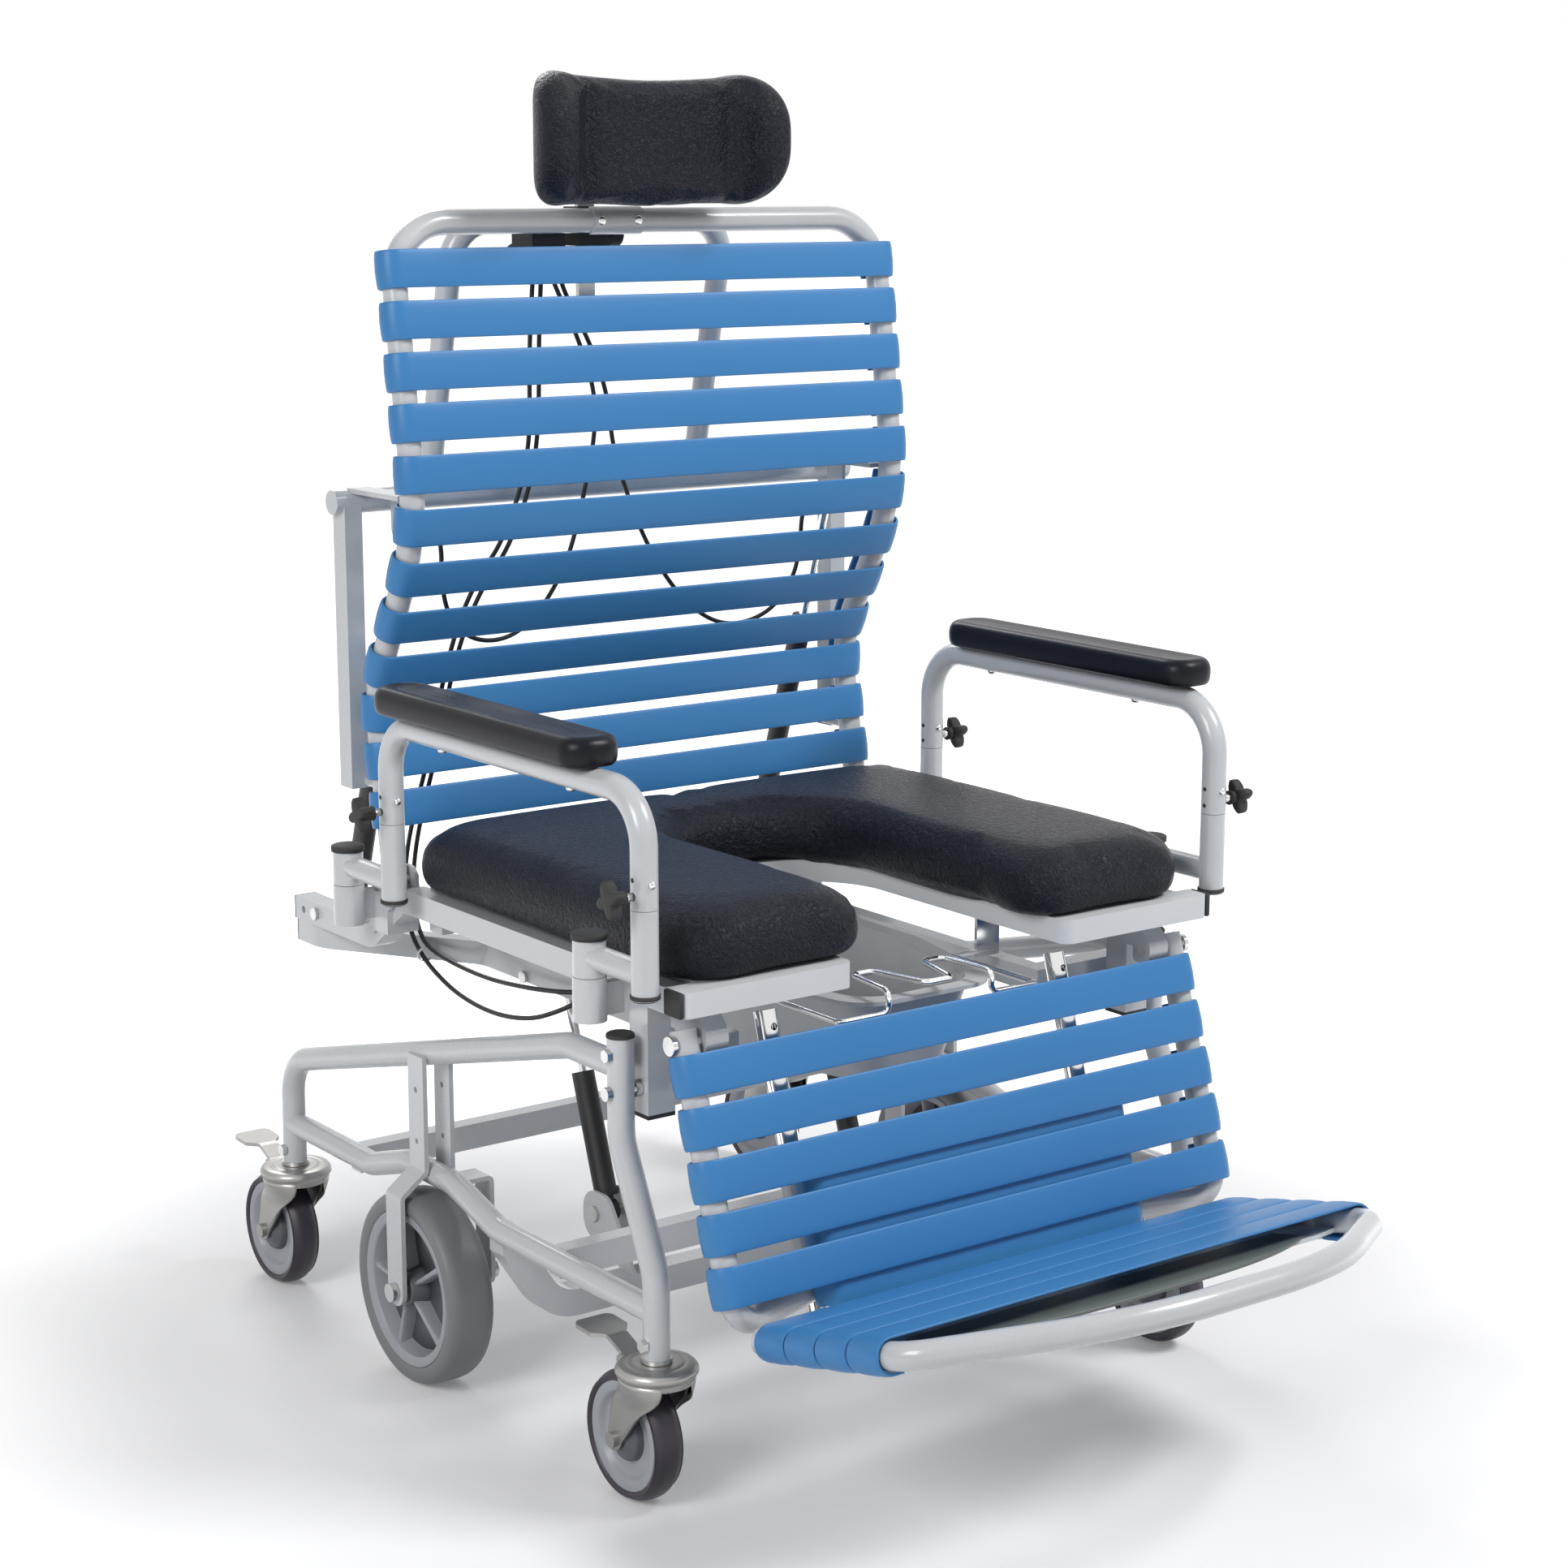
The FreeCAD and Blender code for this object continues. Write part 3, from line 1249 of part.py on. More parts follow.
def arm_carrier(side, hand):
    """Two capped sleeves with pegs; each carries a post on a short tube and the inner tube of the hoop."""
    x = side * V.arm_x
    seat_z = V.socket_top_z + V.face_gap
    halves = []
    for end, (socket_y, post_y) in zip(ENDS, arm_ends()):
        name = f"arm_{end}_{hand}"
        place = Vector(x, socket_y, 0)
        steps = [
            (V.peg_radius, seat_z - V.peg_length, seat_z),
            (V.socket_radius - 0.5, seat_z, V.sleeve_top_z),
            (V.socket_radius + V.cap_overhang, V.sleeve_top_z, V.sleeve_top_z + V.cap_height),
        ]
        sleeve = stepped(name + "_sleeve", steps, place, Z)
        link = cylinder(
            name + "_link", "Sizes.tube_diameter / 2 - 1", Vector(x, socket_y, V.arm_link_z),
            Y * (post_y - socket_y), abs(post_y - socket_y),
        )
        steps = [
            (TUBE_R + V.cap_overhang, V.arm_post_foot_z - V.cap_height, V.arm_post_foot_z),
            (TUBE_R, V.arm_post_foot_z, V.arm_seam_z),
            (V.arm_inner_radius, V.arm_seam_z, V.arm_seam_z + V.arm_inner_length),
        ]
        post = stepped(name + "_post", steps, Vector(x, post_y, 0), Z)
        halves.append(fuse(name, [sleeve, link, post]))
    node(f"arm_carrier_{hand}", group(f"arm_carrier_{hand}", halves))


def arm_top_z(side):
    """Height of a hoop's axis; the two arms are set at different heights."""
    return V.arm_hoop_right_z if side < 0 else V.arm_hoop_left_z


def arm_hoop(side, hand):
    """Inverted U tube that slides on the carrier's inner tubes."""
    x = side * V.arm_x
    foot = V.arm_seam_z + V.face_gap
    front, rear = V.arm_front_post_y, V.arm_rear_post_y
    line = [
        Vector(x, front, foot), Vector(x, front, arm_top_z(side)), Vector(x, rear, arm_top_z(side)),
        Vector(x, rear, foot),
    ]
    name = f"arm_hoop_{hand}"
    skin = sweep(name + "_skin", line, V.arm_hoop_bend, TUBE)
    bore = sweep(name + "_bore", line, V.arm_hoop_bend, "Sizes.arm_inner_radius + Sizes.running_clearance")
    holes = [
        cylinder(
            f"{name}_hole{i}", "Sizes.knob_screw_radius + Sizes.running_clearance",
            Vector(x, y, V.knob_z), X * side, "Sizes.tube_diameter",
        ) for i, y in enumerate((front, rear))
    ]
    node(name, cut(name + "_bored", skin, [bore] + holes))


def arm_pad_outline(x, rear_y, inset, z):
    half = V.arm_pad_half_width - inset
    corner = half * 0.8
    front, rear = rear_y - V.arm_pad_length + inset, rear_y - inset
    corners = [
        (x - half, front, corner), (x + half, front, corner), (x + half, rear, corner * 0.6),
        (x - half, rear, corner * 0.6),
    ]
    return outline_wire(corners, level(z))


def arm_pad(side, hand):
    foot = arm_top_z(side) + TUBE_R + 0.05
    steps = ((5, 0), (1, 0.2), (0, 0.45), (1.5, 0.7), (6, 0.92), (12, 1.0))
    rear_y = V.arm_pad_rear_right_y if side < 0 else V.arm_pad_rear_left_y
    x = side * V.arm_x
    wires = [arm_pad_outline(x, rear_y, inset, foot + V.arm_pad_height * share) for inset, share in steps]
    node(f"arm_pad_{hand}", loft(f"arm_pad_{hand}", wires))


def arm_knob(side, hand, end, y):
    """Star knob with its clamping screw."""
    name = f"arm_knob_{end}_{hand}"
    out = X * side
    centre = Vector(side * V.arm_x, y, V.knob_z)
    start = V.arm_inner_radius + V.face_gap
    head = TUBE_R + V.knob_stand_off
    steps = [(V.knob_screw_radius, start, TUBE_R + 2), (V.knob_screw_radius * 1.6, TUBE_R + 2, head),
             (V.knob_radius * 0.62, head, head + V.knob_length)]
    pieces = [stepped(name + "_screw", steps, centre, out)]
    for lobe in range(4):
        angle = math.pi / 4 + math.pi / 2 * lobe
        offset = Vector(
            side * head, math.sin(angle) * V.knob_radius * 0.62, math.cos(angle) * V.knob_radius * 0.62,
        )
        pieces.append(
            cylinder(
                f"{name}_lobe{lobe}", "Sizes.knob_radius * 0.38", centre + offset, out,
                "Sizes.knob_length",
            )
        )
    node(name, fuse(name + "_fused", pieces))


# Back

def back_line():
    """Corners of one side of the strap frame, from the hinge up, as (y, z)."""
    return [
        (V.back_hinge_y, V.back_hinge_z), (V.sacral_y, V.sacral_z), (V.lumbar_y, V.lumbar_z),
        (V.back_top_y, V.back_top_z),
    ]


def back_frame():
    """One bent tube: up one side, across the top and down the other."""
    x = V.back_x
    line = back_line()
    low = (Vector(0, *line[0]) - Vector(0, *line[1])).normalize() * (V.hinge_radius * 2)
    foot = Vector(0, *line[0]) + low
    side = [(foot.y, foot.z)] + line[1:]
    points = [Vector(-x, y, z) for y, z in side] + [Vector(x, y, z) for y, z in side[::-1]]
    bends = [V.sacral_bend, V.lumbar_bend, V.back_corner, V.back_corner, V.lumbar_bend, V.sacral_bend]
    skin = sweep_bends("back_frame_skin", points, bends, TUBE)
    bore = sweep_bends("back_frame_bore", points, bends, TUBE_BORE)
    holes = [
        cylinder(
            f"back_pivot_hole_{hand}", "Sizes.hinge_radius + Sizes.running_clearance",
            Vector(s * x - V.tube_diameter, V.back_hinge_y, V.back_hinge_z), X, "Sizes.tube_diameter * 2",
        ) for s, hand in SIDES
    ]
    node("back_frame", cut("back_frame_bored", skin, [bore] + holes))


def sweep_bends(name, points, bends, radius):
    """Round bar whose corners each have a radius of their own."""
    spine = doc.addObject("Part::Feature", name + "_path")
    spine.Shape = path_with_bends(points, bends)
    ring = doc.addObject("Part::Circle", name + "_ring")
    bind(ring, "Radius", radius)
    ring.Placement = aim(points[0], points[1] - points[0])
    bar = doc.addObject("Part::Sweep", name)
    bar.Sections = [ring]
    bar.Spine = (spine, [])
    bar.Solid = True
    return bar


def path_with_bends(points, bends):
    """Straight runs joined by tangent arcs, one radius for each corner."""
    edges = []
    start = points[0]
    for before, corner, after, bend in zip(points, points[1:], points[2:], bends):
        into = (corner - before).normalize()
        out = (after - corner).normalize()
        half_turn = into.getAngle(out) / 2
        reach = bend * math.tan(half_turn)
        first = corner - into * reach
        last = corner + out * reach
        middle = corner + (out - into).normalize() * (bend / math.cos(half_turn) - bend)
        edges.append(Part.LineSegment(start, first).toShape())
        edges.append(Part.Arc(first, middle, last).toShape())
        start = last
    edges.append(Part.LineSegment(start, points[-1]).toShape())
    return Part.Wire(edges)


def back_place(z):
    """Point on the strap frame's side at a height, and the lean of the tube there in degrees."""
    wire = path_with_bends([Vector(0, y, h) for y, h in back_line()], [V.sacral_bend, V.lumbar_bend])
    samples = wire.discretize(Number=400)
    index = min(range(1, len(samples) - 1), key=lambda i: abs(samples[i].z - z))
    ahead = samples[index + 1] - samples[index - 1]
    return samples[index], math.degrees(math.atan2(-ahead.y, ahead.z))


def back_straps():
    straps = []
    for index in range(int(V.back_strap_count)):
        place, lean = back_place(V.back_strap_top_z - V.back_strap_pitch * index)
        straps.append(strap(f"back_strap_{index + 1}", V.back_x, "Sizes.strap_height", place, lean))
    node("back_straps", group("back_straps", straps))


def push_frame():
    """Cross bar on two uprights, link plates to the strap frame, strut lugs and the push handle."""
    bar = [
        Vector(-V.push_bar_half, V.push_bar_y, V.push_bar_z),
        Vector(V.push_bar_half, V.push_bar_y, V.push_bar_z),
    ]
    pieces = [cylinder("push_bar", TUBE, bar[0], X, "Sizes.push_bar_half * 2")]
    half_x = V.push_upright_width / 2
    half_y = V.push_upright_depth / 2
    plate_z = V.push_bar_z + V.push_link_lift
    for side, hand in SIDES:
        x = side * V.push_upright_x
        pieces.append(
            block(
                f"push_upright_{hand}",
                Vector(x - half_x, V.push_upright_y - half_y, V.push_upright_foot_z),
                Vector(x + half_x, V.push_upright_y + half_y, V.push_bar_z),
            )
        )
        foot_y = back_place(V.push_upright_foot_z + 6)[0].y
        link_x = side * V.back_x
        pieces.append(
            cylinder(
                f"upright_spacer_{hand}", "Sizes.pin_radius * 0.9",
                Vector(link_x, foot_y + TUBE_R + 1.2, V.push_upright_foot_z + 6), Y,
                V.push_upright_y - foot_y - TUBE_R,
            )
        )
        tube_y = back_place(plate_z)[0].y
        pieces.append(
            block(
                f"link_plate_{hand}", Vector(min(side * 286, side * 312), tube_y + TUBE_R + 0.6, plate_z),
                Vector(max(side * 286, side * 312), V.push_bar_y, plate_z + V.plate_gauge),
            )
        )
        lug_x = side * (V.recline_strut_x + V.strut_eye_width / 2 + V.face_gap + 1.5 + V.thin_gauge / 2)
        head = V.strut_eye_radius * 1.3
        y, z = V.recline_head_y, V.recline_head_z
        lug = [
            (y - head, z - head, head * 0.9), (y + head, z - head, head * 0.9), (y + head, plate_z + 3),
            (y - head, plate_z + 3),
        ]
        pieces.append(
            padded(f"strut_lug_{hand}", rounded(lug), "Sizes.thin_gauge", "YZ_Plane", Vector(lug_x, 0, 0))
        )
        low, high = sorted((lug_x - side * V.thin_gauge / 2, side * 300))
        pieces.append(
            block(
                f"strut_shelf_{hand}", Vector(low, y - head, plate_z),
                Vector(high, y + head, plate_z + V.plate_gauge),
            )
        )
        pin_start = Vector(lug_x, y, z)
        pieces.append(cylinder(f"strut_head_pin_{hand}", "Sizes.pin_radius", pin_start, X * -side,
                               V.thin_gauge / 2 + V.strut_eye_width + 3 * V.face_gap + 2))
    legs = [
        [
            Vector(s * V.handle_half, V.push_bar_y, V.push_bar_z),
            Vector(s * V.handle_half, V.handle_low_y, V.push_bar_z),
            Vector(s * V.handle_half, V.handle_top_y, V.handle_top_z),
        ] for s, _ in SIDES
    ]
    handle = legs[0] + legs[1][::-1]
    pieces.append(sweep("push_handle", handle, V.handle_bend, "Sizes.handle_diameter / 2"))
    node("push_frame", fuse("push_frame_fused", pieces))


def head_slot():
    """Half width and half depth of the slot for the headrest bar."""
    return V.head_bar_width / 2 + V.face_gap, V.head_bar_gauge / 2 + V.face_gap


def headrest_clamp():
    """Block bolted behind the top bar with a slot for the headrest bar and a side knob."""
    slot_x, slot_y = head_slot()
    wall = 8
    front = V.back_top_y + TUBE_R + 0.05
    rear = V.head_bar_y + slot_y + wall
    low, high = V.back_top_z - 26, V.back_top_z + 14
    body = block(
        "clamp_body", Vector(V.head_x - slot_x - wall, front, low),
        Vector(V.head_x + slot_x + wall, rear, high),
    )
    slot = block(
        "clamp_slot", Vector(V.head_x - slot_x, V.head_bar_y - slot_y, low - 1),
        Vector(V.head_x + slot_x, V.head_bar_y + slot_y, high + 1),
    )
    knob_x = slot_x + wall
    knob_at = Vector(V.head_x, V.head_bar_y, V.back_top_z - 14)
    knob = stepped("clamp_knob", [(5, knob_x - 1, knob_x + 10), (13, knob_x + 10, knob_x + 22)], knob_at, X)
    node(
        "headrest_clamp",
        cut("headrest_clamp_slotted", fuse("headrest_clamp_fused", [body, knob]), [slot]),
    )


def headrest_post():
    """Flat bar with a forward arm that ends in the tilt pin."""
    half_x = V.head_bar_width / 2
    half_y = V.head_bar_gauge / 2
    bar = block(
        "head_bar", Vector(V.head_x - half_x, V.head_bar_y - half_y, V.head_bar_foot_z),
        Vector(V.head_x + half_x, V.head_bar_y + half_y, V.head_hinge_z + 10),
    )
    arm = block(
        "head_arm", Vector(V.head_x - 9, V.head_hinge_y, V.head_hinge_z - 10),
        Vector(V.head_x + 9, V.head_bar_y, V.head_hinge_z + 10),
    )
    eye = cylinder("head_eye", 10.0, Vector(V.head_x - 9, V.head_hinge_y, V.head_hinge_z), X, 18.0)
    pin_start = Vector(V.head_x - 18, V.head_hinge_y, V.head_hinge_z)
    pin = cylinder("head_pin", "Sizes.pin_radius", pin_start, X, 36.0)
    node("headrest_post", fuse("headrest_post_fused", [bar, arm, eye, pin]))


def head_section(share):
    """Side outline of the headrest at a share of its half width: wings forward, ends drawn in."""
    reach = abs(share)
    forward = V.head_pad_wing * reach ** 2.2
    gauge = V.head_pad_gauge * (1 - 0.25 * reach ** 4)
    mid_z = (V.head_pad_low_z + V.head_pad_top_z) / 2
    half = (V.head_pad_top_z - V.head_pad_low_z) / 2 * math.sqrt(max(1 - 0.55 * reach ** 6, 0.05))
    back = V.head_pad_back_y - forward
    front = back - gauge
    corner = gauge * 0.42
    corners = [
        (back, mid_z - half * 0.96, corner), (back, mid_z + half * 0.96, corner),
        (front, mid_z + half, corner), (front, mid_z - half, corner),
    ]
    turn = Rotation(Vector(1, 1, 1), 120)
    return outline_wire(corners, Placement(Vector(V.head_pad_x + share * V.head_pad_half, 0, 0), turn))


def headrest_pad():
    """Winged cushion on a back plate with two ears for the tilt pin."""
    shares = (-1, -0.92, -0.7, -0.35, 0, 0.35, 0.7, 0.92, 1)
    cushion = loft("head_cushion", [head_section(share) for share in shares])
    back = V.head_pad_back_y
    mid_z = V.head_hinge_z
    plate = block(
        "head_plate", Vector(V.head_x - 40, back + 0.05, mid_z - 30),
        Vector(V.head_x + 40, back + 4, mid_z + 30),
    )
    pieces = [plate]
    for side in (-1, 1):
        x = V.head_x + side * (9 + V.face_gap + 3)
        ear = [
            (back + 2, mid_z - 12), (V.head_hinge_y + 10, mid_z - 10, 8),
            (V.head_hinge_y + 10, mid_z + 10, 8), (back + 2, mid_z + 12),
        ]
        pieces.append(
            padded(
                f"head_ear_{'right' if side < 0 else 'left'}", rounded(ear), 6.0, "YZ_Plane",
                Vector(x, 0, 0),
            )
        )
    bore = cylinder(
        "head_bore", "Sizes.pin_radius + Sizes.running_clearance",
        Vector(V.head_x - 30, V.head_hinge_y, V.head_hinge_z), X, 60.0,
    )
    bracket = cut("head_bracket", fuse("head_bracket_fused", pieces), [bore])
    node("headrest_pad", group("headrest_pad", [cushion, bracket]))


def lever_pins():
    """Place of each release lever's pin: the tilt lever above, the recline lever beside it."""
    y = V.back_top_y + TUBE_R + 26
    return {
        "tilt_lever": Vector(V.lever_x - V.lever_half_pitch, y, V.lever_z),
        "recline_lever": Vector(V.lever_x + V.lever_half_pitch, y, V.lever_z),
    }


def lever_housing():
    """Plastic housing on the top bar with a slot for each lever."""
    y = V.back_top_y + TUBE_R
    half = V.lever_half_pitch + V.lever_width / 2 + V.lever_wall
    body = block(
        "lever_body", Vector(V.lever_x - half, y + 0.05, V.lever_z - 16),
        Vector(V.lever_x + half, y + 40, V.lever_z + 22),
    )
    tools = []
    pins = []
    for name, pin in lever_pins().items():
        slot = V.lever_width / 2 + V.face_gap
        tools.append(
            block(
                f"{name}_slot", Vector(pin.x - slot, y + 12, V.lever_z - 17),
                Vector(pin.x + slot, y + 41, V.lever_z + 12),
            )
        )
        pins.append(cylinder(f"{name}_pin", "Sizes.bolt_radius", pin - X * (slot + 2), X, slot * 2 + 4))
    slotted = cut("lever_housing_slotted", body, tools)
    node("lever_housing", fuse("lever_housing_fused", [slotted] + pins))


def release_lever(name, pin):
    """Hand lever that hangs back from its pin."""
    line = [(pin.y, pin.z), (pin.y + 26, pin.z - 8), (pin.y + V.lever_length, pin.z - 34)]
    arm = padded(name + "_arm", ribbon(line, 9, 20), "Sizes.lever_width", "YZ_Plane", Vector(pin.x, 0, 0))
    boss = cylinder(name + "_boss", 8.0, pin - X * (V.lever_width / 2), X, "Sizes.lever_width")
    bore = cylinder(
        name + "_bore", "Sizes.bolt_radius + Sizes.running_clearance", pin - X * V.lever_width, X,
        "Sizes.lever_width * 2",
    )
    node(name, cut(name + "_bored", fuse(name + "_fused", [arm, boss]), [bore]))


# Legrest

def leg_point(x, z, set_back=0.0):
    """Point of the legrest's leaning plane at a height, set back behind it."""
    return Vector(
        x, V.leg_hinge_y - V.leg_lean * (V.leg_hinge_z - z) + set_back * math.sqrt(1 + V.leg_lean ** 2), z,
    )


def leg_down():
    """Unit vector down along the legrest."""
    return Vector(0, -V.leg_lean, -1).normalize()


LEG_LEAN_DEGREES = -math.degrees(math.atan(V.leg_lean))


def slide_sleeves(name, radius, beyond=0.0):
    """Sleeve cylinders that guide the foot tubes, of one radius, run beyond both ends where they cut."""
    sleeves = []
    for side, hand in SIDES:
        top = leg_point(side * V.slide_x, V.slide_sleeve_top_z + beyond, V.slide_set_back)
        foot = leg_point(side * V.slide_x, V.slide_sleeve_foot_z - beyond, V.slide_set_back)
        sleeves.append(cylinder(f"{name}_{hand}", radius, top, foot - top, (foot - top).Length))
    return sleeves


def leg_frame():
    """Side tubes that turn in at the foot to the sleeves of the foot tubes."""
    runs = []
    tools = []
    for side, hand in SIDES:
        x = side * V.leg_x
        top = leg_point(x, V.leg_hinge_z + V.hinge_radius * 2)
        foot = leg_point(x, V.leg_foot_z)
        inner = leg_point(side * V.slide_x, V.leg_foot_z, V.slide_set_back)
        runs.append([top, foot, inner])
        tools.append(
            cylinder(
                f"leg_pivot_hole_{hand}", "Sizes.hinge_radius + Sizes.running_clearance",
                Vector(x - V.tube_diameter, V.leg_hinge_y, V.leg_hinge_z), X, "Sizes.tube_diameter * 2",
            )
        )
    sleeves = slide_sleeves(
        "slide_sleeve", "Sizes.slide_radius + Sizes.running_clearance + Sizes.sleeve_wall",
    )
    brace_z = V.slide_sleeve_top_z - V.tube_diameter
    brace = cylinder(
        "leg_brace", "Sizes.slide_radius - 3", leg_point(-V.slide_x, brace_z, V.slide_set_back), X,
        "Sizes.slide_x * 2",
    )
    bores = slide_sleeves("slide_bore", "Sizes.slide_radius + Sizes.running_clearance", V.tube_diameter)
    node(
        "leg_frame",
        tube_frame("leg_frame", runs, V.leg_bend, extras=sleeves + [brace], tools=bores + tools),
    )


def leg_straps():
    """Wide straps on the side tubes and a narrow set on the sleeves behind them."""
    straps = []
    for index in range(int(V.leg_strap_count)):
        place = leg_point(0, V.leg_strap_top_z - V.leg_strap_pitch * index)
        straps.append(
            strap(f"leg_strap_{index + 1}", V.leg_x, "Sizes.strap_height", place, LEG_LEAN_DEGREES)
        )
    lowest = V.leg_foot_z + TUBE_R + V.thin_gauge + V.calf_strap_height / 2
    pitch = (V.slide_sleeve_top_z - V.calf_strap_height / 2 - lowest) / (V.calf_strap_count - 1)
    for index in range(int(V.calf_strap_count)):
        z = lowest + pitch * index
        place = leg_point(0, z, V.slide_set_back)
        straps.append(calf_strap(f"calf_strap_{index + 1}", place))
    node("leg_straps", group("leg_straps", straps))


def calf_strap(name, place):
    """Strap hooked round the two sleeves from the front."""
    wrap = V.slide_radius + V.running_clearance + V.sleeve_wall + V.strap_clearance + V.strap_gauge / 2
    reach = V.slide_x + wrap
    line = [(-reach, 2), (-reach, -wrap), (reach, -wrap), (reach, 2)]
    outline = ribbon(line, V.strap_gauge, wrap * 0.9)
    return padded(
        name, outline, "Sizes.calf_strap_height", "XY_Plane", place, Rotation(X, LEG_LEAN_DEGREES),
    )


def foot_slide():
    """Two drilled tubes that slide in the sleeves, with arms to the footrest's hinge bar."""
    pieces = []
    tools = []
    low_z = V.foot_hinge_z - 24
    hinge = Vector(0, V.foot_hinge_y, V.foot_hinge_z)
    for side, hand in SIDES:
        x = side * V.slide_x
        top = leg_point(x, V.slide_top_z, V.slide_set_back)
        foot = leg_point(x, low_z, V.slide_set_back)
        pieces.append(
            cylinder(f"foot_tube_{hand}", "Sizes.slide_radius", top, foot - top, (foot - top).Length)
        )
        tools.append(
            cylinder(
                f"foot_tube_bore_{hand}", "Sizes.slide_radius - Sizes.tube_wall", top - leg_down(),
                foot - top, (foot - top).Length - V.tube_diameter,
            )
        )
        for index in range(4):
            at = leg_point(x, V.slide_top_z - 16 - 36 * index, V.slide_set_back)
            across = Vector(0, -1, V.leg_lean).normalize()
            tools.append(
                cylinder(
                    f"foot_tube_hole_{hand}{index}", "Sizes.bolt_radius * 1.2", at, across,
                    "Sizes.tube_diameter",
                )
            )
        arm = ribbon([(foot.y, foot.z + 2), (hinge.y + 17, hinge.z - 26), (hinge.y, hinge.z)], 12, 8)
        pieces.append(padded(f"foot_arm_{hand}", arm, 12.0, "YZ_Plane", Vector(x, 0, 0)))
    pieces.append(
        cylinder(
            "foot_hinge_bar", "Sizes.hinge_radius", hinge - X * (V.slide_x + 24), X, (V.slide_x + 24) * 2,
        )
    )
    node("foot_slide", cut("foot_slide_drilled", fuse("foot_slide_fused", pieces), tools))


def foot_placement():
    """Footrest frame: local Y runs out along the footrest from the hinge and local Z is its upper side."""
    rise = math.radians(V.foot_rise_angle)
    out = Vector(0, -math.cos(rise), math.sin(rise))
    up = Vector(0, math.sin(rise), math.cos(rise))
    return Vector(0, V.foot_hinge_y, V.foot_hinge_z), out, up


def foot_point(x, along, lift):
    origin, out, up = foot_placement()
    return origin + out * along + up * lift + X * x


def foot_frame():
    """Bowed tube open at the back, with the plate under the straps and its hinge knuckles."""
    lift = V.foot_tube_lift
    right = [
        foot_point(-V.foot_x, -14, lift), foot_point(-V.foot_x, V.foot_side_length, lift),
        foot_point(-V.foot_nose_half, V.foot_reach, lift),
    ]
    left = [
        foot_point(V.foot_x, -14, lift), foot_point(V.foot_x, V.foot_side_length, lift),
        foot_point(V.foot_nose_half, V.foot_reach, lift),
    ]
    points = right + left[::-1]
    bends = [45, 260, 260, 45]
    skin = sweep_bends("foot_tube_skin", points, bends, TUBE)
    bore = sweep_bends("foot_tube_bore", points, bends, TUBE_BORE)
    half = V.foot_plate_half
    length = V.foot_plate_length
    inside = V.foot_x - TUBE_R + 2
    start = 18
    outline = [
        (-half, start, 10), (half, start, 10), (half, start + 40), (inside, start + 60),
        (inside, length - 10, 8), (half, length, 20), (-half, length, 20), (-inside, length - 10, 8),
        (-inside, start + 60), (-half, start + 40),
    ]
    turn = Rotation(X, -V.foot_rise_angle)
    flat = [(u, -v, *rest) for u, v, *rest in outline]
    plate = padded(
        "foot_plate", rounded(flat), "Sizes.thin_gauge", "XY_Plane", foot_point(0, 0, lift - 6), turn,
    )
    pieces = [skin, plate]
    for side, hand in SIDES:
        x = side * (V.slide_x - 40)
        pieces.append(
            cylinder(f"foot_knuckle_{hand}", "Sizes.hinge_radius + 4", foot_point(x - 18, 0, 0), X, 36.0)
        )
        tongue = padded(
            f"foot_tongue_{hand}", rounded([(-17, 2), (17, 2), (17, -40), (-17, -40)]),
            "Sizes.thin_gauge", "XY_Plane", foot_point(x, 0, lift - 6), turn,
        )
        pieces.append(tongue)
    hinge = cylinder(
        "foot_hinge_hole", "Sizes.hinge_radius + Sizes.running_clearance", foot_point(-V.foot_x, 0, 0), X,
        "Sizes.foot_x * 2",
    )
    node("foot_frame", cut("foot_frame_weld", fuse("foot_frame_fused", pieces), [bore, hinge]))


def foot_straps():
    """Straps side by side across the footrest."""
    straps = []
    for index in range(int(V.foot_strap_count)):
        along = V.foot_strap_start + V.foot_strap_pitch * index
        place = foot_point(0, along, V.foot_tube_lift)
        straps.append(
            strap(
                f"foot_strap_{index + 1}", V.foot_x, "Sizes.foot_strap_height", place,
                -90 - V.foot_rise_angle,
            )
        )
    node("foot_straps", group("foot_straps", straps))


# Struts

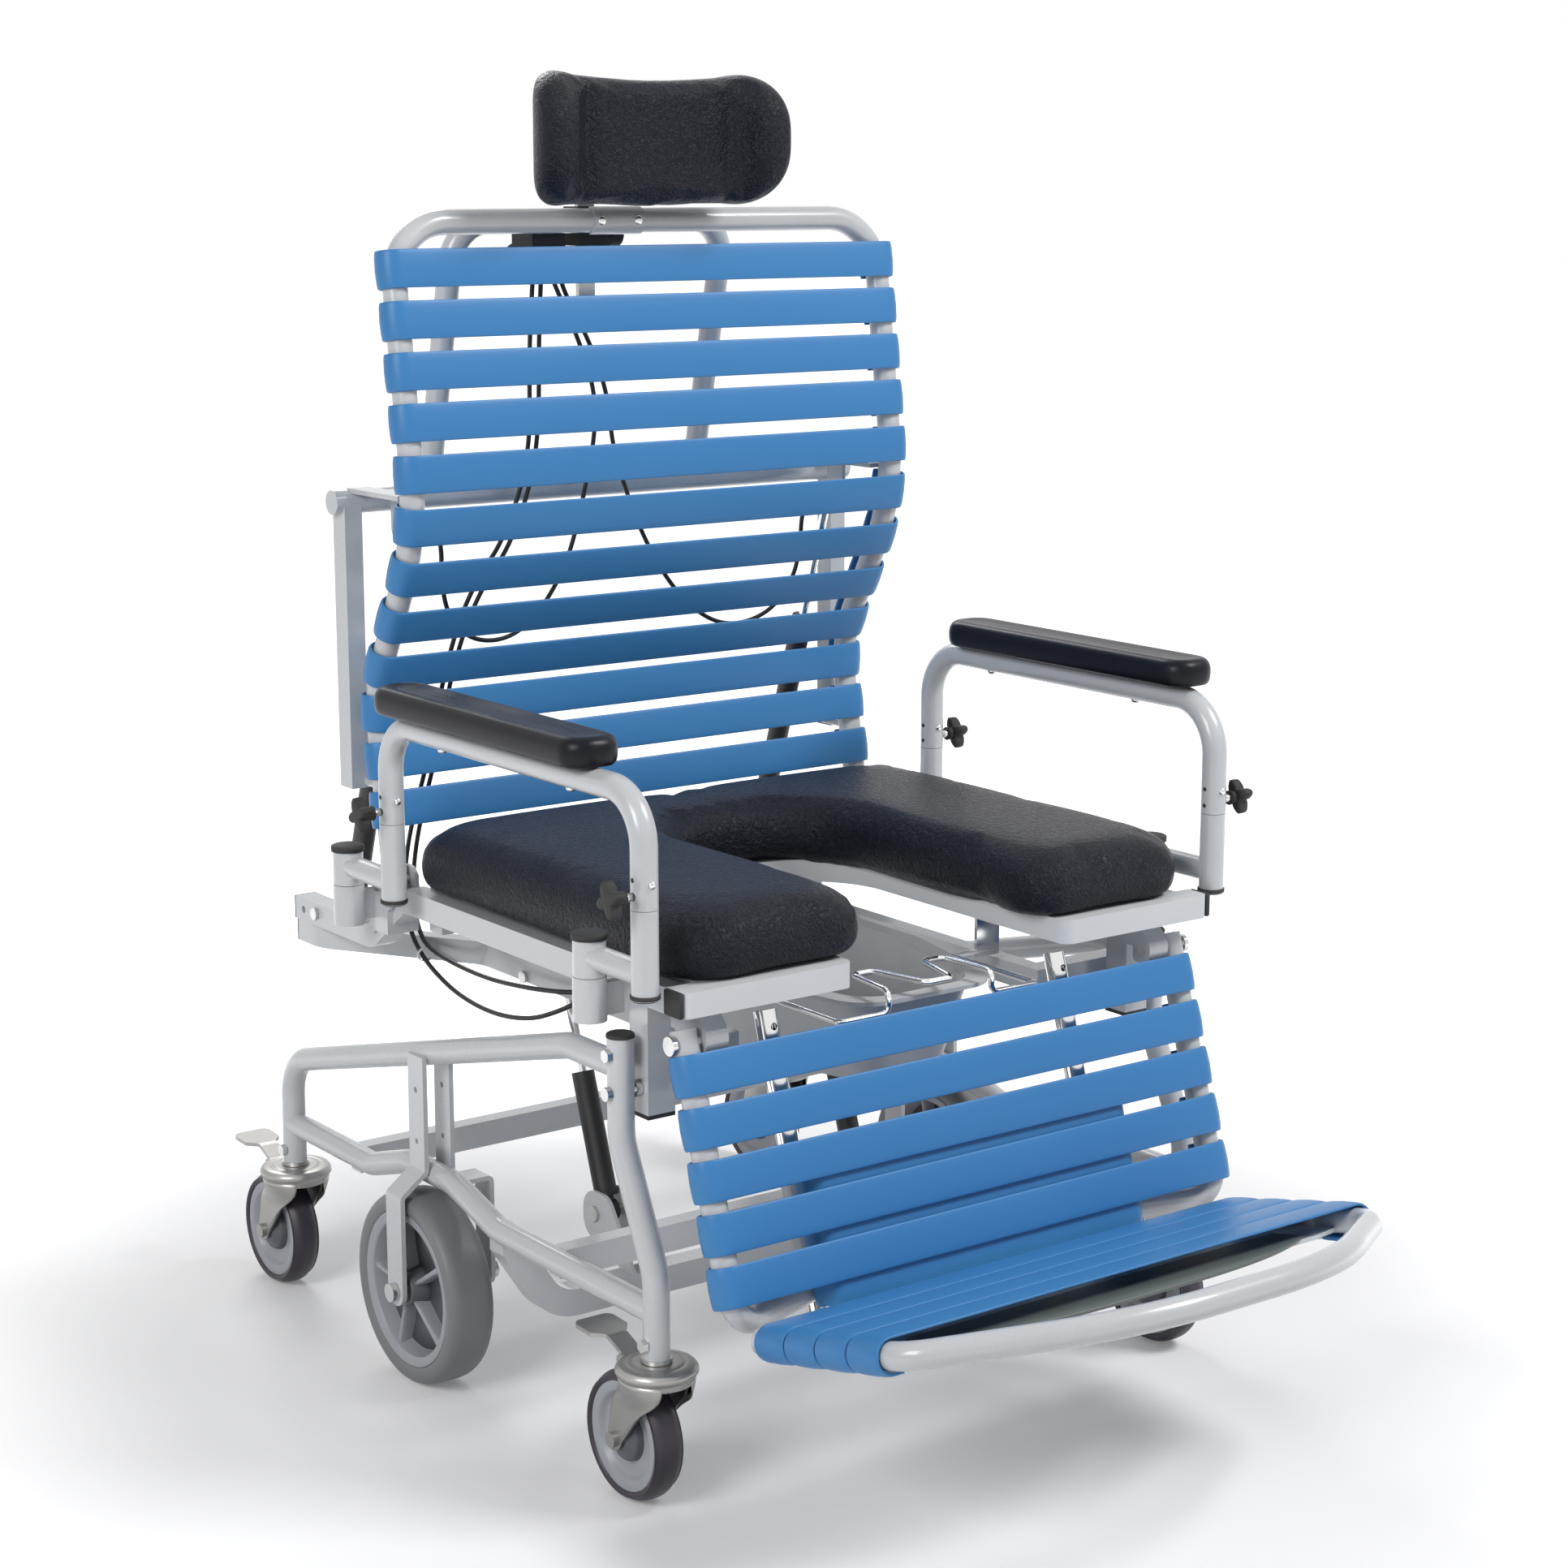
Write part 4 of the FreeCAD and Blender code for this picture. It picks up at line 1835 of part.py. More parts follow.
def strut_pair(label, x, foot, head, cylinder_length, eye_play):
    """Gas struts on both sides: a cylinder with an eye at the foot and a rod with an eye at the head."""
    along = head - foot
    length = along.Length
    along.normalize()
    cylinders = []
    rods = []
    eye_half = V.strut_eye_width / 2
    for side, hand in SIDES:
        at = Vector(side * x, 0, 0)
        start = at + foot
        steps = [
            (V.strut_radius * 0.6, 2, V.strut_eye_radius + 4),
            (V.strut_radius, V.strut_eye_radius + 4, cylinder_length),
        ]
        shell = stepped(f"{label}_shell_{hand}", steps, start, along)
        eye = cylinder(
            f"{label}_foot_eye_{hand}", "Sizes.strut_eye_radius", start - X * eye_half, X,
            "Sizes.strut_eye_width",
        )
        bore = cylinder(
            f"{label}_bore_{hand}", "Sizes.strut_rod_radius + Sizes.running_clearance",
            start + along * (V.strut_eye_radius + 12), along, cylinder_length,
        )
        pin = cylinder(
            f"{label}_foot_bore_{hand}", "Sizes.pin_radius + Sizes.running_clearance",
            start - X * V.strut_eye_width, X, "Sizes.strut_eye_width * 2",
        )
        cylinders.append(
            cut(
                f"{label}_cylinder_{hand}", fuse(f"{label}_cylinder_fused_{hand}", [shell, eye]),
                [bore, pin],
            )
        )
        rod_start = cylinder_length - 24
        rod = cylinder(
            f"{label}_rod_bar_{hand}", "Sizes.strut_rod_radius", start + along * rod_start, along,
            length - rod_start - 4,
        )
        end = start + along * length
        head_eye = cylinder(
            f"{label}_head_eye_{hand}", "Sizes.strut_eye_radius", end - X * eye_half, X,
            "Sizes.strut_eye_width",
        )
        head_bore = cylinder(
            f"{label}_head_bore_{hand}", V.pin_radius + eye_play, end - X * V.strut_eye_width, X,
            "Sizes.strut_eye_width * 2",
        )
        rods.append(
            cut(f"{label}_rod_{hand}", fuse(f"{label}_rod_fused_{hand}", [rod, head_eye]), [head_bore])
        )
    node(f"{label}_strut_cylinders", group(f"{label}_strut_cylinders", cylinders))
    node(f"{label}_strut_rods", group(f"{label}_strut_rods", rods))


# Cables

def cord(name, points):
    """Cable along straight runs and the largest tangent arcs that they leave room for."""
    line = [Vector(*point) for point in points]
    bends = []
    for before, corner, after in zip(line, line[1:], line[2:]):
        half_turn = (corner - before).getAngle(after - corner) / 2
        run = min((corner - before).Length, (after - corner).Length)
        bends.append(CORD_ARC_SHARE * run / math.tan(half_turn))
    print(name, "least bend radius", round(min(bends), 1))
    return sweep_bends(name, line, bends, "Sizes.cable_radius")


CORD_ARC_SHARE = 0.45
BACK_CABLES = {
    "recline_cable_right": [
        (-106, 125, 1129.0), (-103, 128, 1112), (-82, 138, 1082), (-54, 150, 1040), (-31, 157, 988),
        (-31, 158, 940), (-47, 157, 877), (-68, 155, 812), (-98, 154, 767), (-131, 153, 739),
        (-166, 152, 731), (-200, 150, 740), (-224, 147, 768), (-231, 144, 805), (-231, 142, 838),
        (-239, 141, 858), (-259.4, 141, 862),
    ],
    "recline_cable_left": [
        (-96, 125, 1129.0), (-92, 129, 1110), (-72, 141, 1082), (-38, 152, 1036), (-14, 157, 980),
        (-9, 158, 925), (18, 157, 852), (38, 156, 812), (63, 155, 774), (95, 154, 742), (130, 153, 724),
        (168, 152, 724), (203, 150, 740), (226, 147, 772), (232, 144, 808), (232, 142, 838),
        (239, 141, 858), (259.4, 141, 862),
    ],
    "tilt_cable_right": [
        (-125, 125, 1129.0), (-124, 129, 1105), (-121, 140, 1060), (-117, 150, 1005), (-113, 156, 950),
        (-122, 158, 895), (-149, 157, 836), (-174, 157, 806), (-195, 158, 773), (-211, 160, 731),
        (-222, 163, 689), (-232, 167, 640), (-240, 171, 600),
    ],
    "tilt_cable_left": [
        (-115, 125, 1129.0), (-114, 129, 1105), (-110, 140, 1060), (-105, 150, 1005), (-103, 156, 950),
        (-112, 158, 893), (-140, 157, 831), (-166, 157, 800), (-186, 158, 768), (-202, 160, 729),
        (-213, 163, 688), (-223, 167, 640), (-231, 171, 600),
    ],
}
HINGE_CABLES = {
    "tilt_hinge_right": [
        (-240, 171, 599), (-248, 179, 560), (-255, 187, 515), (-257, 191, 475), (-257, 188, 446),
    ],
    "tilt_hinge_left": [
        (-231, 171, 599), (-239, 179, 558), (-245, 187, 513), (-247, 191, 474), (-247, 188, 446),
    ],
}
SEAT_CABLES = {
    "tilt_loop_right": [
        (-257, 188, 445), (-257, 181, 427), (-255, 168, 408), (-251, 147, 390), (-246, 103, 371),
        (-242, 38, 364), (-238, -26, 372), (-233, -70, 389), (-226, -100, 405), (-208.6, -108, 409),
    ],
    "tilt_loop_left": [
        (-247, 188, 445), (-248, 180, 428), (-248, 162, 411), (-240, 122, 400), (-233, 62, 395),
        (-229, 2, 399), (-226, -42, 404), (-221, -72, 408), (-208.6, -80, 408),
    ],
}


def cables():
    """Release cables from the levers to the struts, in stretches that ride on the back and the seat."""
    for label, routes in (
        ("back_cables", BACK_CABLES), ("hinge_cables", HINGE_CABLES), ("seat_cables", SEAT_CABLES),
    ):
        node(label, group(label, [cord(name, points) for name, points in routes.items()]))


# Assembly

for hand_side, hand_name in SIDES:
    base_side_frame(hand_side, hand_name)
    centre_wheel(hand_side, hand_name)
    arm_carrier(hand_side, hand_name)
    arm_hoop(hand_side, hand_name)
    arm_pad(hand_side, hand_name)
    for end_name, (_, knob_y) in zip(ENDS, arm_ends()):
        arm_knob(hand_side, hand_name, end_name, knob_y)
base_cross_tubes()
wheel_brackets()
base_end_caps()
base_fasteners()
caster_stems()
for caster_label, caster_place in caster_places():
    caster_fork(caster_label, caster_place)
    caster_wheel(caster_label, caster_place)
    caster_pedal(caster_label, caster_place)
seat_frame()
seat_lower_rails()
seat_board()
seat_pad()
commode_pan()
pan_rack()
seat_end_caps()
seat_fasteners()
back_frame()
back_straps()
push_frame()
headrest_clamp()
headrest_post()
headrest_pad()
lever_housing()
for lever_name, lever_pin in lever_pins().items():
    release_lever(lever_name, lever_pin)
leg_frame()
leg_straps()
foot_slide()
foot_frame()
foot_straps()
strut_pair(
    "tilt", V.tilt_strut_x, Vector(0, V.tilt_foot_y, V.tilt_foot_z),
    Vector(0, V.tilt_head_y, V.tilt_head_z), V.tilt_cylinder_length, V.tilt_eye_play,
)
strut_pair("recline", V.recline_strut_x, Vector(0, V.recline_foot_y, V.recline_foot_z),
           Vector(0, V.recline_head_y, V.recline_head_z), V.recline_cylinder_length, V.recline_eye_play)
cables()
doc.recompute()

# The origin lies on the floor under the middle of the whole chair's box
box = FreeCAD.BoundBox()
for piece in NODES.values():
    box.add(piece.Shape.optimalBoundingBox(True, False))
shift = Vector(-box.Center.x, -box.Center.y, -box.ZMin)
print("shift", shift, "size", box.XLength, box.YLength, box.ZLength)

faults = [obj.Name for obj in doc.Objects if "Invalid" in obj.State or "Error" in obj.State]
for label, piece in NODES.items():
    shape = piece.Shape
    if shape.isNull() or not shape.isValid() or not shape.Solids:
        faults.append(label)
if faults:
    raise RuntimeError(f"failed objects: {faults}")

os.makedirs("parts", exist_ok=True)
for label, piece in NODES.items():
    piece.Placement = Placement(shift, Rotation()).multiply(piece.Placement)
    piece.Shape.exportStep(f"parts/{label}.step")
print(len(NODES), "sub-parts written")
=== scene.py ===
"""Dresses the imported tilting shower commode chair: straps, pads, wheels, trim, cables, light and camera."""
import logging
import math
from dataclasses import dataclass
from enum import Enum
from typing import Iterable, Sequence

import bmesh
import bpy
import numpy as np
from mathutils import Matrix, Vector


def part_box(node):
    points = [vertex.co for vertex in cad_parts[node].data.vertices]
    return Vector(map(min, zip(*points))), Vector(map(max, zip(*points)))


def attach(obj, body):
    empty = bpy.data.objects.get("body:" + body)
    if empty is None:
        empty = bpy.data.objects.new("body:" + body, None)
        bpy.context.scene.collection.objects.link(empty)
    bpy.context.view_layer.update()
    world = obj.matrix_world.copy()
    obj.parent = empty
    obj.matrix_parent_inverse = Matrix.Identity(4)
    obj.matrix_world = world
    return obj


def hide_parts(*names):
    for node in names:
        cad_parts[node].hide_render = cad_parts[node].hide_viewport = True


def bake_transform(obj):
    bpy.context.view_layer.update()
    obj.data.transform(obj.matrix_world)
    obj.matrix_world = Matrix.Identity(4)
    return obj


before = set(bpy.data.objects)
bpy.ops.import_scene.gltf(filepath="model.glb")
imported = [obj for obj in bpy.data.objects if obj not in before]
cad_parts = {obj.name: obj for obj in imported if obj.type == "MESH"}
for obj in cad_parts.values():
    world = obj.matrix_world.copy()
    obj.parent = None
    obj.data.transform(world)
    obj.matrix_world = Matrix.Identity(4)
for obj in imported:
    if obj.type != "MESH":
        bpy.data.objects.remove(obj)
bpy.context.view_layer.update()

LOG = logging.getLogger("chair")
MM = 0.001
SIDES: tuple[tuple[int, str], ...] = ((-1, "right"), (1, "left"))
ENDS: tuple[str, ...] = ("front", "rear")
Array = np.ndarray

# Sizes that the frame gives: the tube, and how far the wheelbase's middle lies behind the origin
TUBE_RADIUS = (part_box("base_side_frame_left")[1].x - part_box("base_side_frame_left")[0].x) / 2 / MM
FRONT_STEM_Y = -390.0
SHIFT_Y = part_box("base_side_frame_left")[0].y / MM - (FRONT_STEM_Y - TUBE_RADIUS)


def metres(points: Array | Sequence) -> Array:
    """Turns chair millimetres, measured from the wheelbase's middle, into the frame's metres.

    Args:
        points: One point or an array of points whose last axis is x, y, z.
    Returns:
        The same points in metres about the frame's origin.
    """
    return (np.asarray(points, float) + np.array([0.0, SHIFT_Y, 0.0])) * MM


# Finishes

class Grain(Enum):
    """What breaks up a surface: how its bump and colour vary."""

    PEEL = "fine orange peel of a powder coat"
    MOULDED = "soft ripple of moulded plastic"
    LEATHER = "pebbled grain with creases"
    BRUSHED = "short scratches along one way"
    TREAD = "dull scuffed rubber"


@dataclass(frozen=True)
class Finish:
    """One surface finish, made as a node material on Object coordinates.

    A noise blends the colour with a second one, and a bump of the grain's own scale breaks up the gloss.

    Attributes:
        name: The material's name.
        colour: Main colour.
        second: Colour that the noise blends in.
        roughness: Middle of the roughness.
        grain: What breaks up the surface.
        metallic: How far the surface is bare metal.
        grain_scale: How fine the grain is.
        bump: Strength of the grain's relief.
        bump_distance: Height of the relief in metres.
        blotch_scale: How fine the blend of the colours is.
        coat: Weight of a clear coat.
        specular: Level of the reflection at the surface.
        coat_roughness: Roughness of the clear coat.
        smoother: How far the grain takes the roughness down.
        rougher: How far it takes the roughness up.
        least_roughness: Where the way down stops.
        blotch_detail: Detail of the colours' noise.
        grain_detail: Detail of the grain's noise.
        brush_stretch: Scale of brushed scratches along their length.
        leather_warp: Share of noise that bends the leather's cells.
    """

    name: str
    colour: tuple[float, float, float]
    second: tuple[float, float, float]
    roughness: float
    grain: Grain
    metallic: float = 0.0
    grain_scale: float = 300.0
    bump: float = 0.1
    bump_distance: float = 0.0005
    blotch_scale: float = 14.0
    coat: float = 0.0
    specular: float = 0.5
    coat_roughness: float = 0.12
    smoother: float = 0.07
    rougher: float = 0.09
    least_roughness: float = 0.03
    blotch_detail: float = 4.0
    grain_detail: float = 3.0
    brush_stretch: float = 0.06
    leather_warp: float = 0.012

    def material(self) -> bpy.types.Material:
        """Returns the node material, made at its first use."""
        made = bpy.data.materials.get(self.name)
        if made:
            return made
        made = bpy.data.materials.new(self.name)
        made.use_nodes = True
        made.diffuse_color = (*self.colour, 1.0)
        nodes, links = made.node_tree.nodes, made.node_tree.links
        shader = nodes["Principled BSDF"]
        shader.inputs["Metallic"].default_value = self.metallic
        shader.inputs["Coat Weight"].default_value = self.coat
        shader.inputs["Coat Roughness"].default_value = self.coat_roughness
        shader.inputs["Specular IOR Level"].default_value = self.specular
        place = nodes.new("ShaderNodeTexCoord").outputs["Object"]
        blotch = nodes.new("ShaderNodeTexNoise")
        blotch.inputs["Scale"].default_value = self.blotch_scale
        blotch.inputs["Detail"].default_value = self.blotch_detail
        links.new(place, blotch.inputs["Vector"])
        colour = nodes.new("ShaderNodeMix")
        colour.data_type = "RGBA"
        colour.inputs["A"].default_value = (*self.colour, 1.0)
        colour.inputs["B"].default_value = (*self.second, 1.0)
        links.new(blotch.outputs["Fac"], colour.inputs["Factor"])
        links.new(colour.outputs["Result"], shader.inputs["Base Color"])
        height = self._grain_height(nodes, links, place)
        rough = nodes.new("ShaderNodeMapRange")
        rough.inputs["To Min"].default_value = max(self.roughness - self.smoother, self.least_roughness)
        rough.inputs["To Max"].default_value = self.roughness + self.rougher
        links.new(height, rough.inputs["Value"])
        links.new(rough.outputs["Result"], shader.inputs["Roughness"])
        bump = nodes.new("ShaderNodeBump")
        bump.inputs["Strength"].default_value = self.bump
        bump.inputs["Distance"].default_value = self.bump_distance
        links.new(height, bump.inputs["Height"])
        links.new(bump.outputs["Normal"], shader.inputs["Normal"])
        return made

    def _grain_height(self, nodes: bpy.types.Nodes, links: bpy.types.NodeLinks,
                      place: bpy.types.NodeSocket) -> bpy.types.NodeSocket:
        """Height of the grain at a point.

        Args:
            nodes: The material's nodes.
            links: The material's links.
            place: Object coordinates.
        Returns:
            A socket of the height, from 0 to about 1.
        """
        stretch = nodes.new("ShaderNodeMapping")
        links.new(place, stretch.inputs["Vector"])
        if self.grain is Grain.BRUSHED:
            stretch.inputs["Scale"].default_value = (self.brush_stretch, 1.0, 1.0)
        noise = nodes.new("ShaderNodeTexNoise")
        noise.inputs["Scale"].default_value = self.grain_scale
        noise.inputs["Detail"].default_value = self.grain_detail
        links.new(stretch.outputs["Vector"], noise.inputs["Vector"])
        if self.grain is not Grain.LEATHER:
            return noise.outputs["Fac"]
        warp = nodes.new("ShaderNodeMix")
        warp.data_type = "VECTOR"
        warp.inputs["Factor"].default_value = self.leather_warp
        links.new(place, warp.inputs["A"])
        links.new(noise.outputs["Color"], warp.inputs["B"])
        cells = nodes.new("ShaderNodeTexVoronoi")
        cells.feature = "SMOOTH_F1"
        cells.inputs["Scale"].default_value = self.grain_scale
        links.new(warp.outputs["Result"], cells.inputs["Vector"])
        mixed = nodes.new("ShaderNodeMath")
        mixed.operation = "SUBTRACT"
        mixed.inputs[0].default_value = 1.0
        links.new(cells.outputs["Distance"], mixed.inputs[1])
        return mixed.outputs["Value"]


POWDER_COAT = Finish("powder_coat", (0.53, 0.55, 0.57), (0.57, 0.59, 0.61), 0.28,
                     Grain.PEEL, grain_scale=900, bump=0.05, coat=0.4)
BOARD_LAMINATE = Finish("board_laminate", (0.64, 0.66, 0.68), (0.69, 0.71, 0.73), 0.38,
                        Grain.MOULDED, grain_scale=500, bump=0.05)
STRAP_BLUE = Finish("strap_blue", (0.04, 0.2, 0.47), (0.05, 0.225, 0.51), 0.4,
                    Grain.MOULDED, grain_scale=700, bump=0.06, blotch_scale=6, specular=0.35)
BLACK_LEATHER = Finish("black_leather", (0.0035, 0.0045, 0.0105), (0.006, 0.0078, 0.0165), 0.3,
                       Grain.LEATHER, grain_scale=260, bump=0.8, bump_distance=0.0028, specular=0.17)
SMOOTH_BLACK = Finish("smooth_black", (0.004, 0.0046, 0.0085), (0.0065, 0.0072, 0.0125), 0.32,
                      Grain.MOULDED, grain_scale=420, bump=0.03, specular=0.18)
BLACK_PLASTIC = Finish("black_plastic", (0.005, 0.005, 0.006), (0.009, 0.009, 0.01), 0.4,
                       Grain.MOULDED, grain_scale=600, bump=0.12, specular=0.25)
BRUSHED_STEEL = Finish("brushed_steel", (0.45, 0.45, 0.44), (0.58, 0.58, 0.57), 0.3,
                       Grain.BRUSHED, metallic=1.0, grain_scale=900, bump=0.12)
PRESSED_STEEL = Finish("pressed_steel", (0.3, 0.295, 0.285), (0.4, 0.395, 0.385), 0.33,
                       Grain.BRUSHED, metallic=1.0, grain_scale=900, bump=0.16)
BOLT_STEEL = Finish("bolt_steel", (0.52, 0.52, 0.52), (0.66, 0.66, 0.66), 0.24,
                    Grain.BRUSHED, metallic=1.0, grain_scale=700, bump=0.1)
CHROME = Finish("chrome", (0.72, 0.73, 0.75), (0.78, 0.79, 0.8), 0.09,
                Grain.BRUSHED, metallic=1.0, grain_scale=300, bump=0.02)
STRUT_BLACK = Finish("strut_black", (0.006, 0.006, 0.007), (0.01, 0.01, 0.011), 0.25,
                     Grain.PEEL, grain_scale=500, bump=0.03)
CASTER_TYRE = Finish("caster_tyre", (0.024, 0.019, 0.031), (0.033, 0.027, 0.042), 0.42,
                     Grain.TREAD, grain_scale=350, bump=0.15)
WHEEL_TYRE = Finish("wheel_tyre", (0.17, 0.173, 0.185), (0.21, 0.213, 0.226), 0.46,
                    Grain.TREAD, grain_scale=300, bump=0.15)
WHEEL_GREY = Finish("wheel_grey", (0.33, 0.34, 0.38), (0.38, 0.39, 0.43), 0.36,
                    Grain.MOULDED, grain_scale=400, bump=0.08)
WHEEL_DARK = Finish("wheel_dark", (0.085, 0.09, 0.108), (0.11, 0.116, 0.136), 0.4,
                    Grain.MOULDED, grain_scale=400, bump=0.08)
PAN_PLASTIC = Finish("pan_plastic", (0.62, 0.63, 0.64), (0.66, 0.67, 0.68), 0.3,
                     Grain.MOULDED, grain_scale=200, bump=0.04)
CABLE_BLACK = Finish("cable_black", (0.006, 0.006, 0.007), (0.01, 0.01, 0.011), 0.35,
                     Grain.MOULDED, grain_scale=500, bump=0.05)
FOOT_GREEN = Finish("foot_green", (0.085, 0.105, 0.098), (0.105, 0.128, 0.12), 0.45,
                    Grain.MOULDED, grain_scale=500, bump=0.08)
TIE_WHITE = Finish("tie_white", (0.7, 0.71, 0.72), (0.75, 0.76, 0.77), 0.4,
                   Grain.MOULDED, grain_scale=500, bump=0.05)

# Finish of each solid that stays; the casters add their own
NODE_FINISHES: dict[str, Finish] = {
    "base_side_frame_left": POWDER_COAT,
    "base_side_frame_right": POWDER_COAT,
    "wheel_brackets": POWDER_COAT,
    "base_cross_tubes": POWDER_COAT,
    "base_end_caps": BLACK_PLASTIC,
    "base_fasteners": BOLT_STEEL,
    "caster_stems": BRUSHED_STEEL,
    "seat_frame": POWDER_COAT,
    "seat_lower_rails": POWDER_COAT,
    "seat_board": BOARD_LAMINATE,
    "pan_rack": CHROME,
    "seat_end_caps": BLACK_PLASTIC,
    "seat_fasteners": BOLT_STEEL,
    "commode_pan": PAN_PLASTIC,
    "back_frame": POWDER_COAT,
    "push_frame": POWDER_COAT,
    "headrest_clamp": BLACK_PLASTIC,
    "headrest_post": BRUSHED_STEEL,
    "lever_housing": BLACK_PLASTIC,
    "tilt_lever": BLACK_PLASTIC,
    "recline_lever": BLACK_PLASTIC,
    "leg_frame": POWDER_COAT,
    "foot_slide": CHROME,
    "foot_frame": POWDER_COAT,
    "tilt_strut_cylinders": STRUT_BLACK,
    "tilt_strut_rods": CHROME,
    "recline_strut_cylinders": STRUT_BLACK,
    "recline_strut_rods": CHROME,
    "arm_carrier_left": POWDER_COAT,
    "arm_carrier_right": POWDER_COAT,
    "arm_hoop_left": POWDER_COAT,
    "arm_hoop_right": POWDER_COAT,
}


# Surfaces on grids

@dataclass
class Patch:
    """A surface on a grid with a finish: points, and faces as rows of point numbers.

    Attributes:
        points: Points in chair millimetres, one row each.
        faces: Arrays of faces, each array with faces of one size.
        finish: The finish of the patch.
        smooth: Whether its faces are shaded smooth.
    """

    points: Array
    faces: list[Array]
    finish: Finish
    smooth: bool = True


def grid(points: Array, finish: Finish, wrap_rows: bool = False, caps: bool = True,
         smooth: bool = True) -> Patch:
    """Joins a grid of points into quads; the last column meets the first, and fans close a tube's open ends.

    Args:
        points: Array of rows by columns by three.
        finish: The finish of the patch.
        wrap_rows: Whether the last row meets the first.
        caps: Whether the first and last rows are closed by a fan to their middle.
        smooth: Whether faces are shaded smooth.
    Returns:
        The patch.
    """
    rows, columns = points.shape[:2]
    index = np.arange(rows * columns).reshape(rows, columns)
    if wrap_rows:
        index = np.vstack([index, index[:1]])
    index = np.hstack([index, index[:, :1]])
    corners = [index[:-1, :-1], index[1:, :-1], index[1:, 1:], index[:-1, 1:]]
    quads = np.stack(corners, axis=-1).reshape(-1, 4)
    flat = points.reshape(-1, 3)
    faces = [quads]
    if caps and not wrap_rows:
        middles = np.stack([points[0].mean(0), points[-1].mean(0)])
        first = np.stack([index[0, 1:], index[0, :-1], np.full(index.shape[1] - 1, len(flat))], axis=-1)
        last = np.stack([index[-1, :-1], index[-1, 1:], np.full(index.shape[1] - 1, len(flat) + 1)], axis=-1)
        flat = np.vstack([flat, middles])
        faces += [first, last]
    return Patch(flat, faces, finish, smooth)


def piece(name: str, patches: Iterable[Patch]) -> bpy.types.Object:
    """Makes one object of several patches, with faces that point outwards.

    Args:
        name: The object's name.
        patches: The patches, in chair millimetres.
    Returns:
        The object, at the origin, with its place in its mesh.
    """
    patches = list(patches)
    finishes = list(dict.fromkeys(patch.finish for patch in patches))
    points, loops, sizes, slots, smooth = [], [], [], [], []
    start = 0
    for patch in patches:
        points.append(patch.points)
        for faces in patch.faces:
            loops.append((faces + start).ravel())
            sizes.append(np.full(len(faces), faces.shape[1]))
            slots.append(np.full(len(faces), finishes.index(patch.finish)))
            smooth.append(np.full(len(faces), patch.smooth))
        start += len(patch.points)
    coords = metres(np.vstack(points))
    loop_points = np.concatenate(loops)
    counts = np.concatenate(sizes)
    mesh = bpy.data.meshes.new(name)
    mesh.vertices.add(len(coords))
    mesh.vertices.foreach_set("co", coords.ravel())
    mesh.loops.add(len(loop_points))
    mesh.loops.foreach_set("vertex_index", loop_points.astype(np.int32))
    mesh.polygons.add(len(counts))
    mesh.polygons.foreach_set("loop_start", (np.cumsum(counts) - counts).astype(np.int32))
    mesh.update(calc_edges=True)
    mesh.polygons.foreach_set("material_index", np.concatenate(slots).astype(np.int32))
    mesh.polygons.foreach_set("use_smooth", np.concatenate(smooth))
    for finish in finishes:
        mesh.materials.append(finish.material())
    shell = bmesh.new()
    shell.from_mesh(mesh)
    bmesh.ops.recalc_face_normals(shell, faces=shell.faces)
    shell.to_mesh(mesh)
    shell.free()
    mesh.validate()
    obj = bpy.data.objects.new(name, mesh)
    bpy.context.scene.collection.objects.link(obj)
    LOG.info("%s: %d faces", name, len(mesh.polygons))
    return obj


class Axis(Enum):
    """Way that a turned piece's axis points: how far X rolls round to it."""

    X = 0
    Y = 1
    Z = 2


def turned(profile: Sequence[tuple[float, float]], centre: Sequence[float], finish: Finish, steps: int = 64,
           closed: bool = True, axis: Axis = Axis.X) -> Patch:
    """Turns a profile of (radius, distance along the axis) about an axis through a centre.

    Args:
        profile: Corners of the profile.
        centre: A point of the axis, in millimetres.
        finish: The finish of the patch.
        steps: How many steps go round.
        closed: Whether the profile is a closed ring.
        axis: Which way the axis points.
    Returns:
        The turned patch.
    """
    radius, along = np.array(profile, float).T
    angle = np.linspace(0, 2 * np.pi, steps, endpoint=False)[None, :]
    points = np.stack([
        np.repeat(along[:, None], steps, axis=1),
        radius[:, None] * np.sin(angle),
        radius[:, None] * np.cos(angle),
    ], axis=-1)
    points = np.roll(points, axis.value, axis=-1) + np.asarray(centre, float)
    return grid(points, finish, wrap_rows=closed, caps=not closed)


def symmetric(half: list[tuple[float, float]]) -> list[tuple[float, float]]:
    """Profile made of one half and its mirror image across the middle of the axis.

    Args:
        half: Corners (radius, distance along the axis) of one half, up to the middle.
    Returns:
        Corners of the whole profile.
    """
    return half + [(radius, -along) for radius, along in reversed(half)]


def rounded_profile(corners: Sequence[tuple[float, float]], radius: float, steps: int = 5,
                    most: float = 0.45) -> Array:
    """Closed outline whose corners are eased by quadratic curves that start a radius away from each corner.

    Args:
        corners: Corners of the outline.
        radius: How far from its corner each curve starts.
        steps: Points on each curve.
        most: Largest share of a side that one curve takes up.
    Returns:
        The eased outline.
    """
    here = np.array(corners, float)
    before, after = np.roll(here, 1, axis=0), np.roll(here, -1, axis=0)

    def toward(other: Array) -> Array:
        """Point a radius away from each corner, or less on a short side."""
        step = other - here
        length = np.linalg.norm(step, axis=1, keepdims=True)
        return here + step / length * np.minimum(radius, most * length)

    first, last = toward(before), toward(after)
    share = np.linspace(0, 1, steps)[None, :, None]
    curve = (1 - share) ** 2 * first[:, None] + 2 * share * (1 - share) * here[:, None]
    curve = curve + share ** 2 * last[:, None]
    return curve.reshape(-1, 2)


